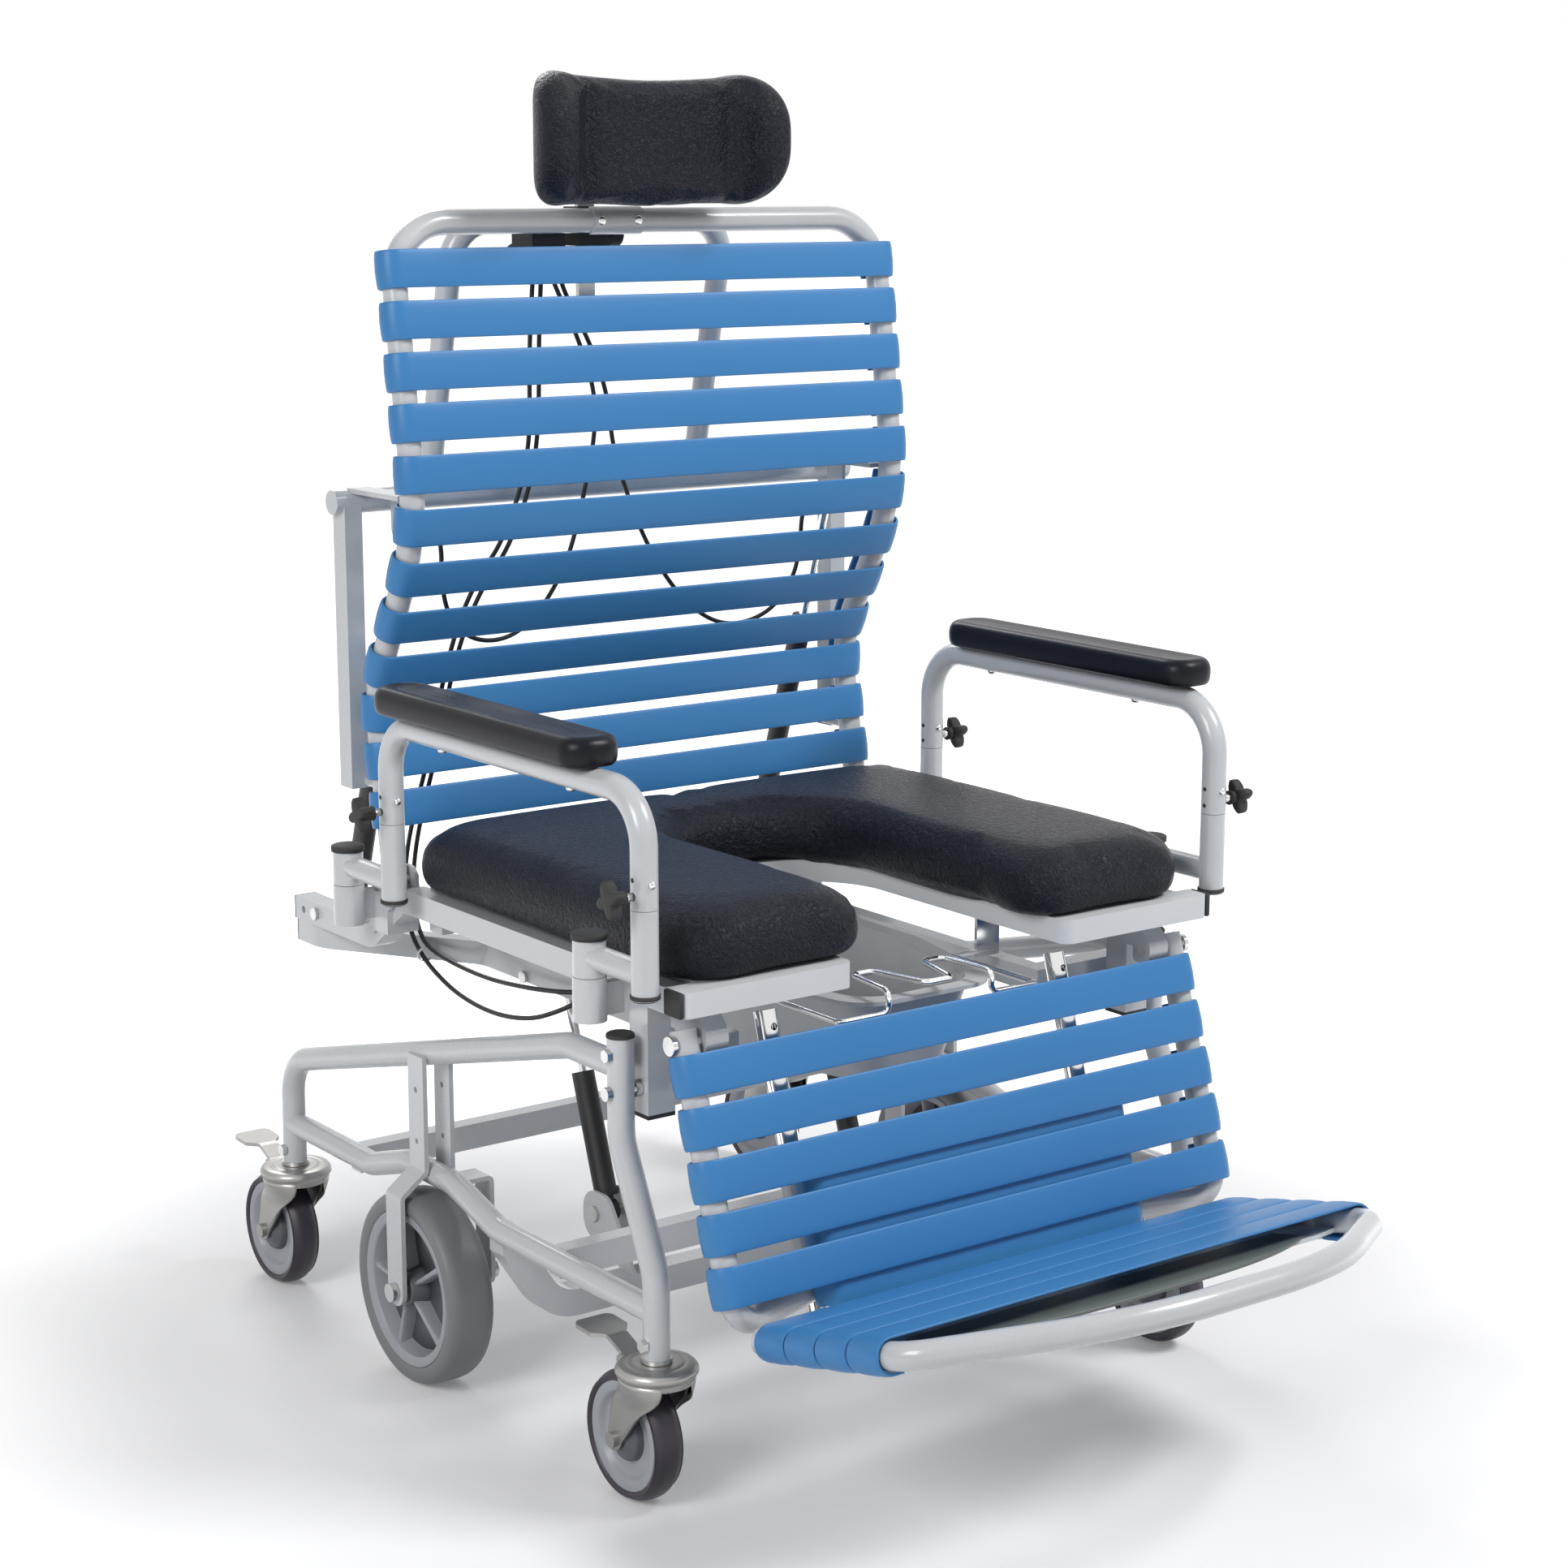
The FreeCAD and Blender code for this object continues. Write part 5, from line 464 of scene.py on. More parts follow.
def superellipse(angle: Array, power: float) -> tuple[Array, Array]:
    """Cosine and sine raised to a power with their signs kept, so that 1 is a circle and 0 is a square."""
    c, s = np.cos(angle), np.sin(angle)
    return np.sign(c) * np.abs(c) ** power, np.sign(s) * np.abs(s) ** power


# Straps

@dataclass
class Strap:
    """One springy strap that spans two parallel tubes and hooks round them.

    Attributes:
        centre: Middle of the strap on the plane of the tubes' axes.
        along: Unit vector up along the tubes.
        out: Unit vector from the tubes' plane to the strap's face.
        half_span: Half the distance between the tubes.
        height: The strap's width along the tubes.
        wrap: Radius of its middle line round a tube.
        gauge: Its thickness.
        tail: How far its ends run back inwards behind the tubes.
        crown: How far its face bulges at mid height.
        edge_power: Roundness of its edges, from 0 for square to 1 for round.
        turn_steps: Points round a tube.
        front_steps: Points across the face.
        section_steps: Points round the section.
    """

    centre: Array
    along: Array
    out: Array
    half_span: float
    height: float
    wrap: float
    gauge: float = 3.0
    tail: float = 10.0
    crown: float = 1.1
    edge_power: float = 0.32
    turn_steps: int = 15
    front_steps: int = 26
    section_steps: int = 28

    def patch(self, finish: Finish) -> Patch:
        """Carries a crowned section along the line round both tubes.

        Args:
            finish: The strap's finish.
        Returns:
            The patch, closed at both cut ends.
        """
        turn = np.linspace(np.pi / 2, -np.pi / 2, self.turn_steps)
        right = np.stack([-self.half_span - self.wrap * np.cos(turn), -self.wrap * np.sin(turn)], axis=-1)
        left = right[::-1] * np.array([-1.0, 1.0])
        front = np.linspace(right[-1], left[0], self.front_steps)[1:-1]
        tails = [np.array([[sign * (self.half_span - self.tail), -self.wrap]]) for sign in (-1, 1)]
        line = np.vstack([tails[0], right, front, left, tails[1]])
        step = np.gradient(line, axis=0)
        step /= np.linalg.norm(step, axis=1, keepdims=True)
        normal = np.stack([-step[:, 1], step[:, 0]], axis=-1)
        angle = np.linspace(0, 2 * np.pi, self.section_steps, endpoint=False)
        c, s = superellipse(angle, self.edge_power)
        up = c * self.height / 2
        lift = s * self.gauge / 2 + self.crown * (1 - (2 * up / self.height) ** 2)
        across = line[:, None, :] + normal[:, None, :] * lift[None, :, None]
        points = (self.centre + across[..., :1] * np.array([1.0, 0, 0]) + across[..., 1:] * self.out
                  + up[None, :, None] * self.along)
        return grid(points, finish)


@dataclass
class StrapSet:
    """The blue straps of the back, the legrest and the footrest."""

    gauge: float = 3.0
    clearance: float = 1.6
    back_x: float = 303.0
    back_top_z: float = 1121.0
    back_pitch: float = 50.0
    back_count: int = 12
    height: float = 38.0
    leg_x: float = 300.0
    leg_hinge: tuple[float, float] = (-394.0, 444.0)
    leg_lean: float = 0.31
    leg_top_z: float = 416.0
    leg_pitch: float = 46.0
    leg_count: int = 5
    calf_x: float = 180.0
    calf_sleeve: float = 14.05
    calf_set_back: float = 8.0
    calf_tail: float = 34.0
    calf_low_z: float = 209.0
    calf_top_z: float = 301.0
    calf_count: int = 3
    calf_height: float = 38.0
    foot_hinge: tuple[float, float] = (-505.0, 190.0)
    foot_rise: float = 14.0
    foot_x: float = 285.0
    foot_start: float = 19.0
    foot_pitch: float = 46.0
    foot_count: int = 4
    foot_height: float = 44.0
    back_corners: tuple[tuple[float, float], ...] = (
        (128.0, 498.0), (160.0, 690.0), (66.0, 866.0), (106.0, 1167.0))
    back_bends: tuple[float, ...] = (130.0, 220.0)
    bend_steps: int = 24
    slope_reach: float = 6.0

    @property
    def wrap(self) -> float:
        """Radius of a strap's middle line round a frame tube."""
        return TUBE_RADIUS + self.clearance + self.gauge / 2

    def back_line(self) -> Array:
        """Works out one side of the strap frame: straight runs eased by arcs of the bends' radii.

        Returns:
            Points (y, z) from the foot to the top.
        """
        corners = [np.array(corner) for corner in self.back_corners]
        line = [corners[0]]
        for before, here, after, bend in zip(corners, corners[1:], corners[2:], self.back_bends):
            into = (here - before) / np.linalg.norm(here - before)
            out = (after - here) / np.linalg.norm(after - here)
            half = math.acos(float(np.clip(into @ out, -1, 1))) / 2
            inward = (out - into) / np.linalg.norm(out - into)
            centre = here + inward * bend / math.cos(half)
            size = np.linalg.norm(into + out)
            for angle in np.linspace(-half, half, self.bend_steps):
                forward = math.sin(angle) * (into + out) / size
                line.append(centre + bend * (forward - math.cos(angle) * inward))
        line.append(corners[-1])
        return np.array(line)

    def back(self) -> list[Patch]:
        """Makes the straps of the back, each square to the tube where it sits.

        Returns:
            The straps, from the top down.
        """
        line = self.back_line()
        reach = self.slope_reach
        patches = []
        for index in range(self.back_count):
            z = self.back_top_z - self.back_pitch * index
            y = np.interp(z, line[:, 1], line[:, 0])
            above, below = np.interp([z + reach, z - reach], line[:, 1], line[:, 0])
            slope = (above - below) / (2 * reach)
            along = np.array([0.0, slope, 1.0]) / math.hypot(slope, 1)
            out = np.array([0.0, -along[2], along[1]])
            strap = Strap(np.array([0.0, y, z]), along, out, self.back_x, self.height, self.wrap)
            patches.append(strap.patch(STRAP_BLUE))
        return patches

    def leg(self) -> list[Patch]:
        """Makes the straps of the legrest and the shorter ones behind them.

        Returns:
            The long straps from the top down, then the short ones from the foot up.
        """
        length = math.hypot(self.leg_lean, 1)
        along = np.array([0.0, self.leg_lean, 1.0]) / length
        out = np.array([0.0, -along[2], along[1]])

        def on_leg(z: float, set_back: float) -> Array:
            """Point in the middle of the leaning plane, set back behind it."""
            y = self.leg_hinge[0] - self.leg_lean * (self.leg_hinge[1] - z) + set_back * length
            return np.array([0.0, y, z])

        patches = []
        for index in range(self.leg_count):
            place = on_leg(self.leg_top_z - self.leg_pitch * index, 0)
            strap = Strap(place, along, out, self.leg_x, self.height, self.wrap)
            patches.append(strap.patch(STRAP_BLUE))
        wrap = self.calf_sleeve + self.clearance + self.gauge / 2
        for z in np.linspace(self.calf_low_z, self.calf_top_z, self.calf_count):
            place = on_leg(z, self.calf_set_back)
            strap = Strap(place, along, out, self.calf_x, self.calf_height, wrap, tail=self.calf_tail)
            patches.append(strap.patch(STRAP_BLUE))
        return patches

    def foot(self) -> list[Patch]:
        """Makes the straps of the footrest, side by side.

        Returns:
            The straps, from the hinge out.
        """
        rise = math.radians(self.foot_rise)
        along = np.array([0.0, -math.cos(rise), math.sin(rise)])
        out = np.array([0.0, math.sin(rise), math.cos(rise)])
        hinge = np.array([0.0, *self.foot_hinge])
        patches = []
        for index in range(self.foot_count):
            place = hinge + along * (self.foot_start + self.foot_pitch * index)
            strap = Strap(place, along, out, self.foot_x, self.foot_height, self.wrap)
            patches.append(strap.patch(STRAP_BLUE))
        return patches

    def build(self) -> None:
        """Makes the three sets and rides each on its body."""
        for name, patches, body, node in (("back_strap_set", self.back(), "back", "back_straps"),
                                          ("leg_strap_set", self.leg(), "leg", "leg_straps"),
                                          ("foot_strap_set", self.foot(), "foot", "foot_straps")):
            dressed = piece(name, patches)
            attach(dressed, body)
            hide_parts(node)


# Padding

@dataclass(frozen=True)
class Swelling:
    """How a pad's cover is blown up by a cloth simulation.

    Attributes:
        voxel: Size of the remesh, in metres.
        pressure: Pressure inside the cover.
        cap: Furthest that a point may move, in metres.
        frames: Simulation steps.
        stiffness: How hard the cover resists stretching.
        bending: How hard it resists folding.
    """

    voxel: float = 0.005
    pressure: float = 4.0
    cap: float = 0.008
    frames: int = 20
    stiffness: float = 15.0
    bending: float = 0.5


def swell(obj: bpy.types.Object, how: Swelling) -> None:
    """Remeshes a pad, blows it up as cloth and keeps each point's move under the cap.

    Args:
        obj: The pad, changed in place.
        how: The settings of the simulation.
    """
    bpy.context.view_layer.objects.active = obj
    remesh = obj.modifiers.new("remesh", "REMESH")
    remesh.mode = "VOXEL"
    remesh.voxel_size = how.voxel
    bpy.ops.object.modifier_apply(modifier=remesh.name)
    count = len(obj.data.vertices)
    rest = np.empty(count * 3)
    obj.data.vertices.foreach_get("co", rest)
    cloth = obj.modifiers.new("swell", "CLOTH")
    cloth.settings.use_pressure = True
    cloth.settings.uniform_pressure_force = how.pressure
    cloth.settings.effector_weights.gravity = 0.0
    cloth.settings.tension_stiffness = how.stiffness
    cloth.settings.compression_stiffness = how.stiffness
    cloth.settings.bending_stiffness = how.bending
    cloth.point_cache.frame_start = 1
    cloth.point_cache.frame_end = how.frames
    for number in range(1, how.frames + 1):
        bpy.context.scene.frame_set(number)
    blown = obj.evaluated_get(bpy.context.evaluated_depsgraph_get()).to_mesh()
    moved = np.empty(count * 3)
    blown.vertices.foreach_get("co", moved)
    obj.modifiers.remove(cloth)
    bpy.context.scene.frame_set(1)
    step = (moved - rest).reshape(-1, 3)
    length = np.linalg.norm(step, axis=1, keepdims=True)
    step *= np.minimum(1.0, how.cap / np.maximum(length, 1e-9))
    obj.data.vertices.foreach_set("co", (rest.reshape(-1, 3) + step).ravel())
    obj.data.update()


def finish_pad(obj: bpy.types.Object, body: str, node: str) -> None:
    """Subdivides a pad once, smooths its shading, rides it on its body and hides the solid it replaces.

    Args:
        obj: The pad, changed in place.
        body: The body that carries it.
        node: The solid that it replaces.
    """
    obj.data.polygons.foreach_set("use_smooth", np.ones(len(obj.data.polygons), bool))
    fine = obj.modifiers.new("fine", "SUBSURF")
    fine.levels = 1
    fine.render_levels = 1
    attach(obj, body)
    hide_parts(node)


@dataclass
class SeatPad:
    """U-shaped seat cushion, open to the front, on the seat board."""

    half_width: float = 319.0
    front_y: float = -423.0
    rear_y: float = 100.0
    foot_z: float = 500.6
    height: float = 62.0
    corner: float = 56.0
    corner_ease: float = 0.5
    horn_share: float = 0.75
    opening_half: float = 100.0
    opening_back_y: float = -40.0
    arch_share: float = 0.92
    corner_steps: int = 12
    round_points: int = 320
    rise: tuple[float, ...] = (0.0, 0.04, 0.2, 0.42, 0.64, 0.82, 0.93, 0.985, 1.0)
    inset: tuple[float, ...] = (14.0, 7.0, 2.5, 1.5, 4.0, 11.0, 21.0, 34.0, 56.0)
    cover: Swelling = Swelling(voxel=0.0055, cap=0.005)
    fill: float = 0.8

    def outline(self, inset: float) -> Array:
        """Outline drawn in by an inset: straight sides with rounded corners, horns and an arched opening.

        Args:
            inset: How far the outline is drawn in.
        Returns:
            Points (x, y) round the pad.
        """
        half, hole = self.half_width - inset, self.opening_half + inset
        front, rear, back = self.front_y + inset, self.rear_y - inset, self.opening_back_y + inset
        bend = self.corner - self.corner_ease * inset
        horn, arch = bend * self.horn_share, hole * self.arch_share
        corners = np.array([
            (hole, front, horn), (half, front, bend), (half, rear, bend), (-half, rear, bend),
            (-half, front, bend), (-hole, front, horn), (-hole, back, arch), (hole, back, arch),
        ])
        places, radii = corners[:, :2], corners[:, 2:]
        into = places - np.roll(places, 1, axis=0)
        into /= np.linalg.norm(into, axis=1, keepdims=True)
        out = np.roll(into, -1, axis=0)
        angle = np.linspace(0, np.pi / 2, self.corner_steps)[None, :, None]
        curve = np.sin(angle) * into[:, None] + (1 - np.cos(angle)) * out[:, None]
        arcs = (places - into * radii)[:, None] + radii[:, None] * curve
        return resample(arcs.reshape(-1, 2), self.round_points)

    def build(self) -> None:
        """Lofts the outlines up the side and over the crown, then swells the cover."""
        rings = []
        for rise, inset in zip(self.rise, self.inset):
            z = np.full(self.round_points, self.foot_z + self.height * rise)
            rings.append(np.column_stack([self.outline(inset), z]))
        pad = piece("seat_cushion", [grid(np.stack(rings), BLACK_LEATHER, caps=False)])
        close_rims(pad)
        swell(pad, self.cover)
        finish_pad(pad, "seat", "seat_pad")


def resample(ring: Array, count: int) -> Array:
    """Spaces points evenly round a closed outline.

    Args:
        ring: The outline's points.
        count: How many points are wanted.
    Returns:
        The evenly spaced points.
    """
    closed = np.vstack([ring, ring[:1]])
    run = np.concatenate([[0], np.cumsum(np.linalg.norm(np.diff(closed, axis=0), axis=1))])
    wanted = np.linspace(0, run[-1], count, endpoint=False)
    return np.column_stack([np.interp(wanted, run, closed[:, axis]) for axis in range(closed.shape[1])])


def close_rims(obj: bpy.types.Object) -> None:
    """Fills the open rims of a lofted wall with flat faces and points all faces outwards.

    Args:
        obj: The wall, changed in place.
    """
    shell = bmesh.new()
    shell.from_mesh(obj.data)
    rims = [edge for edge in shell.edges if edge.is_boundary]
    made = bmesh.ops.holes_fill(shell, edges=rims, sides=0)
    bmesh.ops.triangulate(shell, faces=made["faces"])
    bmesh.ops.recalc_face_normals(shell, faces=shell.faces)
    shell.to_mesh(obj.data)
    shell.free()


@dataclass
class HeadPad:
    """Headrest cushion: a rounded slab whose ends curl forward as wings."""

    x: float = -28.0
    half_run: float = 166.0
    flat_half: float = 84.0
    curl_radius: float = 46.0
    low_z: float = 1180.0
    top_z: float = 1319.0
    back_y: float = 83.0
    gauge: float = 46.0
    wing_gauge: float = 40.0
    corner: float = 60.0
    edge_power: float = 0.7
    dip: float = 8.0
    crease: float = 4.0
    crease_width: float = 9.0
    crease_offset: float = 6.0
    corner_steps: int = 16
    round_points: int = 192
    edge_rings: int = 41
    face_rings: int = 16
    face_scale: tuple[float, float] = (0.03, 0.95)
    cover: Swelling = Swelling(voxel=0.004, cap=0.004)
    fill: float = 0.85

    def outline(self, count: int) -> Array:
        """Flat outline of the slab: a rectangle with wide round corners.

        Args:
            count: How many points go round.
        Returns:
            Points (run, height), spaced evenly.
        """
        half_z = (self.top_z - self.low_z) / 2
        angle = np.linspace(0, np.pi / 2, self.corner_steps)
        arc = self.corner * np.stack([np.cos(angle), np.sin(angle)], axis=-1)
        first = arc + np.array([self.half_run - self.corner, half_z - self.corner])
        second = first[::-1] * np.array([-1.0, 1.0])
        return resample(np.vstack([first, second, -first, -second]), count)

    def build(self) -> None:
        """Wraps the slab: a superellipse shrinks its outline to both faces, its run curls and its top dips.

        Rings of growing scale cover each flat face, and a bell curve creases the front where the wings begin.
        """
        ring = self.outline(self.round_points)
        face = np.linspace(*self.face_scale, self.face_rings)
        through = np.linspace(-np.pi / 2, np.pi / 2, self.edge_rings)
        ec, es = superellipse(through, self.edge_power)
        scale = np.concatenate([face, np.ones(self.edge_rings), face[::-1]])
        ec = np.pad(ec, self.face_rings, mode="edge")
        es = np.pad(es, self.face_rings, mode="edge")
        half_edge = self.gauge / 2
        half_z = (self.top_z - self.low_z) / 2
        drawn_in = half_edge * (1 - ec)
        run = ring[None, :, 0] * (scale * (1 - drawn_in / self.half_run))[:, None]
        z = ring[None, :, 1] * (scale * (1 - drawn_in / half_z))[:, None]
        curl = np.maximum(np.abs(run) - self.flat_half, 0) / self.curl_radius
        share = np.clip(curl * self.curl_radius / (self.half_run - self.flat_half), 0, 1)
        lift = es[:, None] * (half_edge + (self.wing_gauge - self.gauge) / 2 * share)
        fold = np.exp(-((np.abs(run) - self.flat_half - self.crease_offset) / self.crease_width) ** 2)
        lift += self.crease * np.clip(-es, 0, 1)[:, None] * fold
        radius = self.curl_radius + lift
        x = np.sign(run) * (np.minimum(np.abs(run), self.flat_half) + radius * np.sin(curl))
        y = lift - radius * (1 - np.cos(curl))
        middle = np.array([self.x, self.back_y - half_edge, (self.top_z + self.low_z) / 2])
        inward = np.cos(np.clip(run / self.half_run, -1, 1) * np.pi / 2) ** 2
        z -= self.dip * np.clip(z / half_z, 0, 1) * inward
        points = np.stack([x, y, z], axis=-1) + middle
        pad = piece("headrest_cushion", [grid(points, BLACK_LEATHER)])
        swell(pad, self.cover)
        bracket = piece("headrest_bracket", HeadBracket().patches())
        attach(bracket, "headrest")
        finish_pad(pad, "headrest", "headrest_pad")


@dataclass
class HeadBracket:
    """Back plate of the headrest with two ears for the tilt pin."""

    x: float = -55.0
    back_y: float = 83.5
    hinge: tuple[float, float] = (106.0, 1248.0)
    half_width: float = 40.0
    half_height: float = 30.0
    gauge: float = 4.0
    ear_x: float = 12.5
    ear_gauge: float = 6.0
    ear_past_pin: float = 10.0
    ear_half_height: float = 11.0
    edge_power: float = 0.35
    round_points: int = 48

    def patches(self) -> list[Patch]:
        """Makes a rounded plate and two rounded ears, each a prism of a superellipse.

        Returns:
            The plate and the ears.
        """
        count = self.round_points
        c, s = superellipse(np.linspace(0, 2 * np.pi, count, endpoint=False), self.edge_power)
        x, z = self.x + c * self.half_width, self.hinge[1] + s * self.half_height
        faces = (self.back_y, self.back_y + self.gauge)
        plate = np.stack([np.column_stack([x, np.full(count, y), z]) for y in faces])
        result = [grid(plate, BLACK_PLASTIC, smooth=False)]
        end = self.hinge[0] + self.ear_past_pin
        y = (self.back_y + end) / 2 + c * (end - self.back_y) / 2
        z = self.hinge[1] + s * self.ear_half_height
        for side in (-1, 1):
            walls = (side * (self.ear_x - self.ear_gauge / 2), side * (self.ear_x + self.ear_gauge / 2))
            ear = np.stack([np.column_stack([np.full(count, self.x + wall), y, z]) for wall in walls])
            result.append(grid(ear, BLACK_PLASTIC, smooth=False))
        return result


def round_outline(half_x: float, half_y: float, corner: float, count: int = 160, steps: int = 12) -> Array:
    """Rectangle about the origin with round corners, its points spaced evenly.

    Args:
        half_x: Half its width.
        half_y: Half its length.
        corner: Radius of its corners.
        count: How many points go round.
        steps: Points on each corner before they are spaced.
    Returns:
        Points (x, y) round the outline.
    """
    angle = np.linspace(0, np.pi / 2, steps)
    arc = corner * np.stack([np.cos(angle), np.sin(angle)], axis=-1)
    arc = arc + np.array([half_x - corner, half_y - corner])
    mirrored = arc[::-1] * np.array([-1.0, 1.0])
    return resample(np.vstack([arc, mirrored, -arc, -mirrored]), count)


@dataclass
class ArmPads:
    """Long moulded arm pads with a rounded top edge."""

    x: float = 348.0
    half_width: float = 30.0
    length: float = 380.0
    rear_y: tuple[float, float] = (45.0, 2.0)
    foot_z: tuple[float, float] = (693.0, 703.0)
    height: float = 28.0
    corner: float = 25.0
    least_corner: float = 2.0
    rise: tuple[float, ...] = (0.0, 0.02, 0.1, 0.3, 0.55, 0.72, 0.84, 0.93, 0.98, 1.0, 1.0, 0.97, 0.95)
    inset: tuple[float, ...] = (6.0, 3.5, 1.2, 0.2, 0.0, 0.8, 2.4, 4.6, 7.0, 9.5, 13.0, 19.0, 26.0)
    fill: float = 1.0

    def build(self) -> None:
        """Lofts an outline with round corners from foot to crown; the top sinks a little along its middle."""
        half_length = self.length / 2
        for (side, hand), rear, foot in zip(SIDES, self.rear_y, self.foot_z):
            rings = []
            for rise, inset in zip(self.rise, self.inset):
                corner = max(self.corner - inset, self.least_corner)
                flat = round_outline(self.half_width - inset, half_length - inset, corner)
                rings.append(np.column_stack([flat, np.full(len(flat), foot + self.height * rise)]))
            middle = np.array([side * self.x, rear - half_length, 0.0])
            pad = piece(f"arm_cushion_{hand}", [grid(np.stack(rings) + middle, SMOOTH_BLACK)])
            finish_pad(pad, f"hoop_{hand}", f"arm_pad_{hand}")


# Wheels

@dataclass
class CentreWheels:
    """Large plain wheels with a tyre, a dished rim and a web with five ribs."""

    x: float = 343.0
    y: float = 15.0
    radius: float = 100.0
    half_width: float = 25.0
    rim_radius: float = 80.0
    hub_radius: float = 21.0
    hub_half: float = 24.5
    hub_overlap: float = 4.0
    bore: float = 6.05
    web_half: float = 5.0
    ribs: int = 5
    rib_phase: float = 0.2
    rib_half: float = 3.0
    rib_flare: float = 3.0
    flare_power: int = 4
    rib_sunk: float = 4.0
    rib_taper: float = 3.0
    rib_power: float = 0.5
    rib_steps: int = 8
    rib_points: int = 24
    round_steps: int = 96

    def rib(self, centre: Array, angle: float) -> Patch:
        """One rib across both faces of the web: a rounded section that flares at the rim.

        Args:
            centre: Middle of the wheel.
            angle: Direction of the rib.
        Returns:
            The rib.
        """
        share = np.linspace(0, 1, self.rib_steps)[:, None]
        turn = np.linspace(0, 2 * np.pi, self.rib_points, endpoint=False)[None, :]
        c, s = superellipse(turn, self.rib_power)
        along = (self.hub_radius - self.hub_overlap) + share * (self.rim_radius - self.hub_radius)
        width = self.rib_half + self.rib_flare * share ** self.flare_power
        deep = self.half_width - self.rib_sunk - self.rib_taper * share
        across = width * c
        reach = np.broadcast_to(along, across.shape)
        outward = np.array([0.0, math.sin(angle), math.cos(angle)])
        sideways = np.array([0.0, math.cos(angle), -math.sin(angle)])
        points = (centre + reach[..., None] * outward + across[..., None] * sideways
                  + (deep * s)[..., None] * np.array([1.0, 0, 0]))
        return grid(points, WHEEL_GREY)

    def build(self) -> None:
        """Turns the tyre, rim, web and hub and adds the ribs on each side."""
        w, r, rim, web, hub = self.half_width, self.radius, self.rim_radius, self.web_half, self.hub_radius
        core = hub - self.hub_overlap
        tyre = symmetric([(rim, -w + 2), (rim + 10, -w - 0.5), (r - 4, -w + 1), (r, -w + 9)])
        disc = symmetric([(core, -web), (rim - 10, -web)])
        band = symmetric([(rim - 14, -web + 1), (rim - 9, -w + 4), (rim + 1, -w + 1.5)])
        boss = symmetric([(self.bore, -self.hub_half), (hub - 5, -self.hub_half), (hub, -8)])
        for side, hand in SIDES:
            centre = np.array([side * self.x, self.y, self.radius])
            patches = [
                turned(rounded_profile(tyre, 5), centre, WHEEL_TYRE, self.round_steps),
                turned(rounded_profile(band, 2), centre, WHEEL_GREY, self.round_steps),
                turned(disc, centre, WHEEL_DARK, self.round_steps),
                turned(rounded_profile(boss, 2), centre, WHEEL_DARK),
            ]
            for number in range(self.ribs):
                patches.append(self.rib(centre, 2 * math.pi * (number + self.rib_phase) / self.ribs))
            wheel = piece(f"centre_wheel_{hand}_dressed", patches)
            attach(wheel, f"centre_wheel_{hand}")
            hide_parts(f"centre_wheel_{hand}")


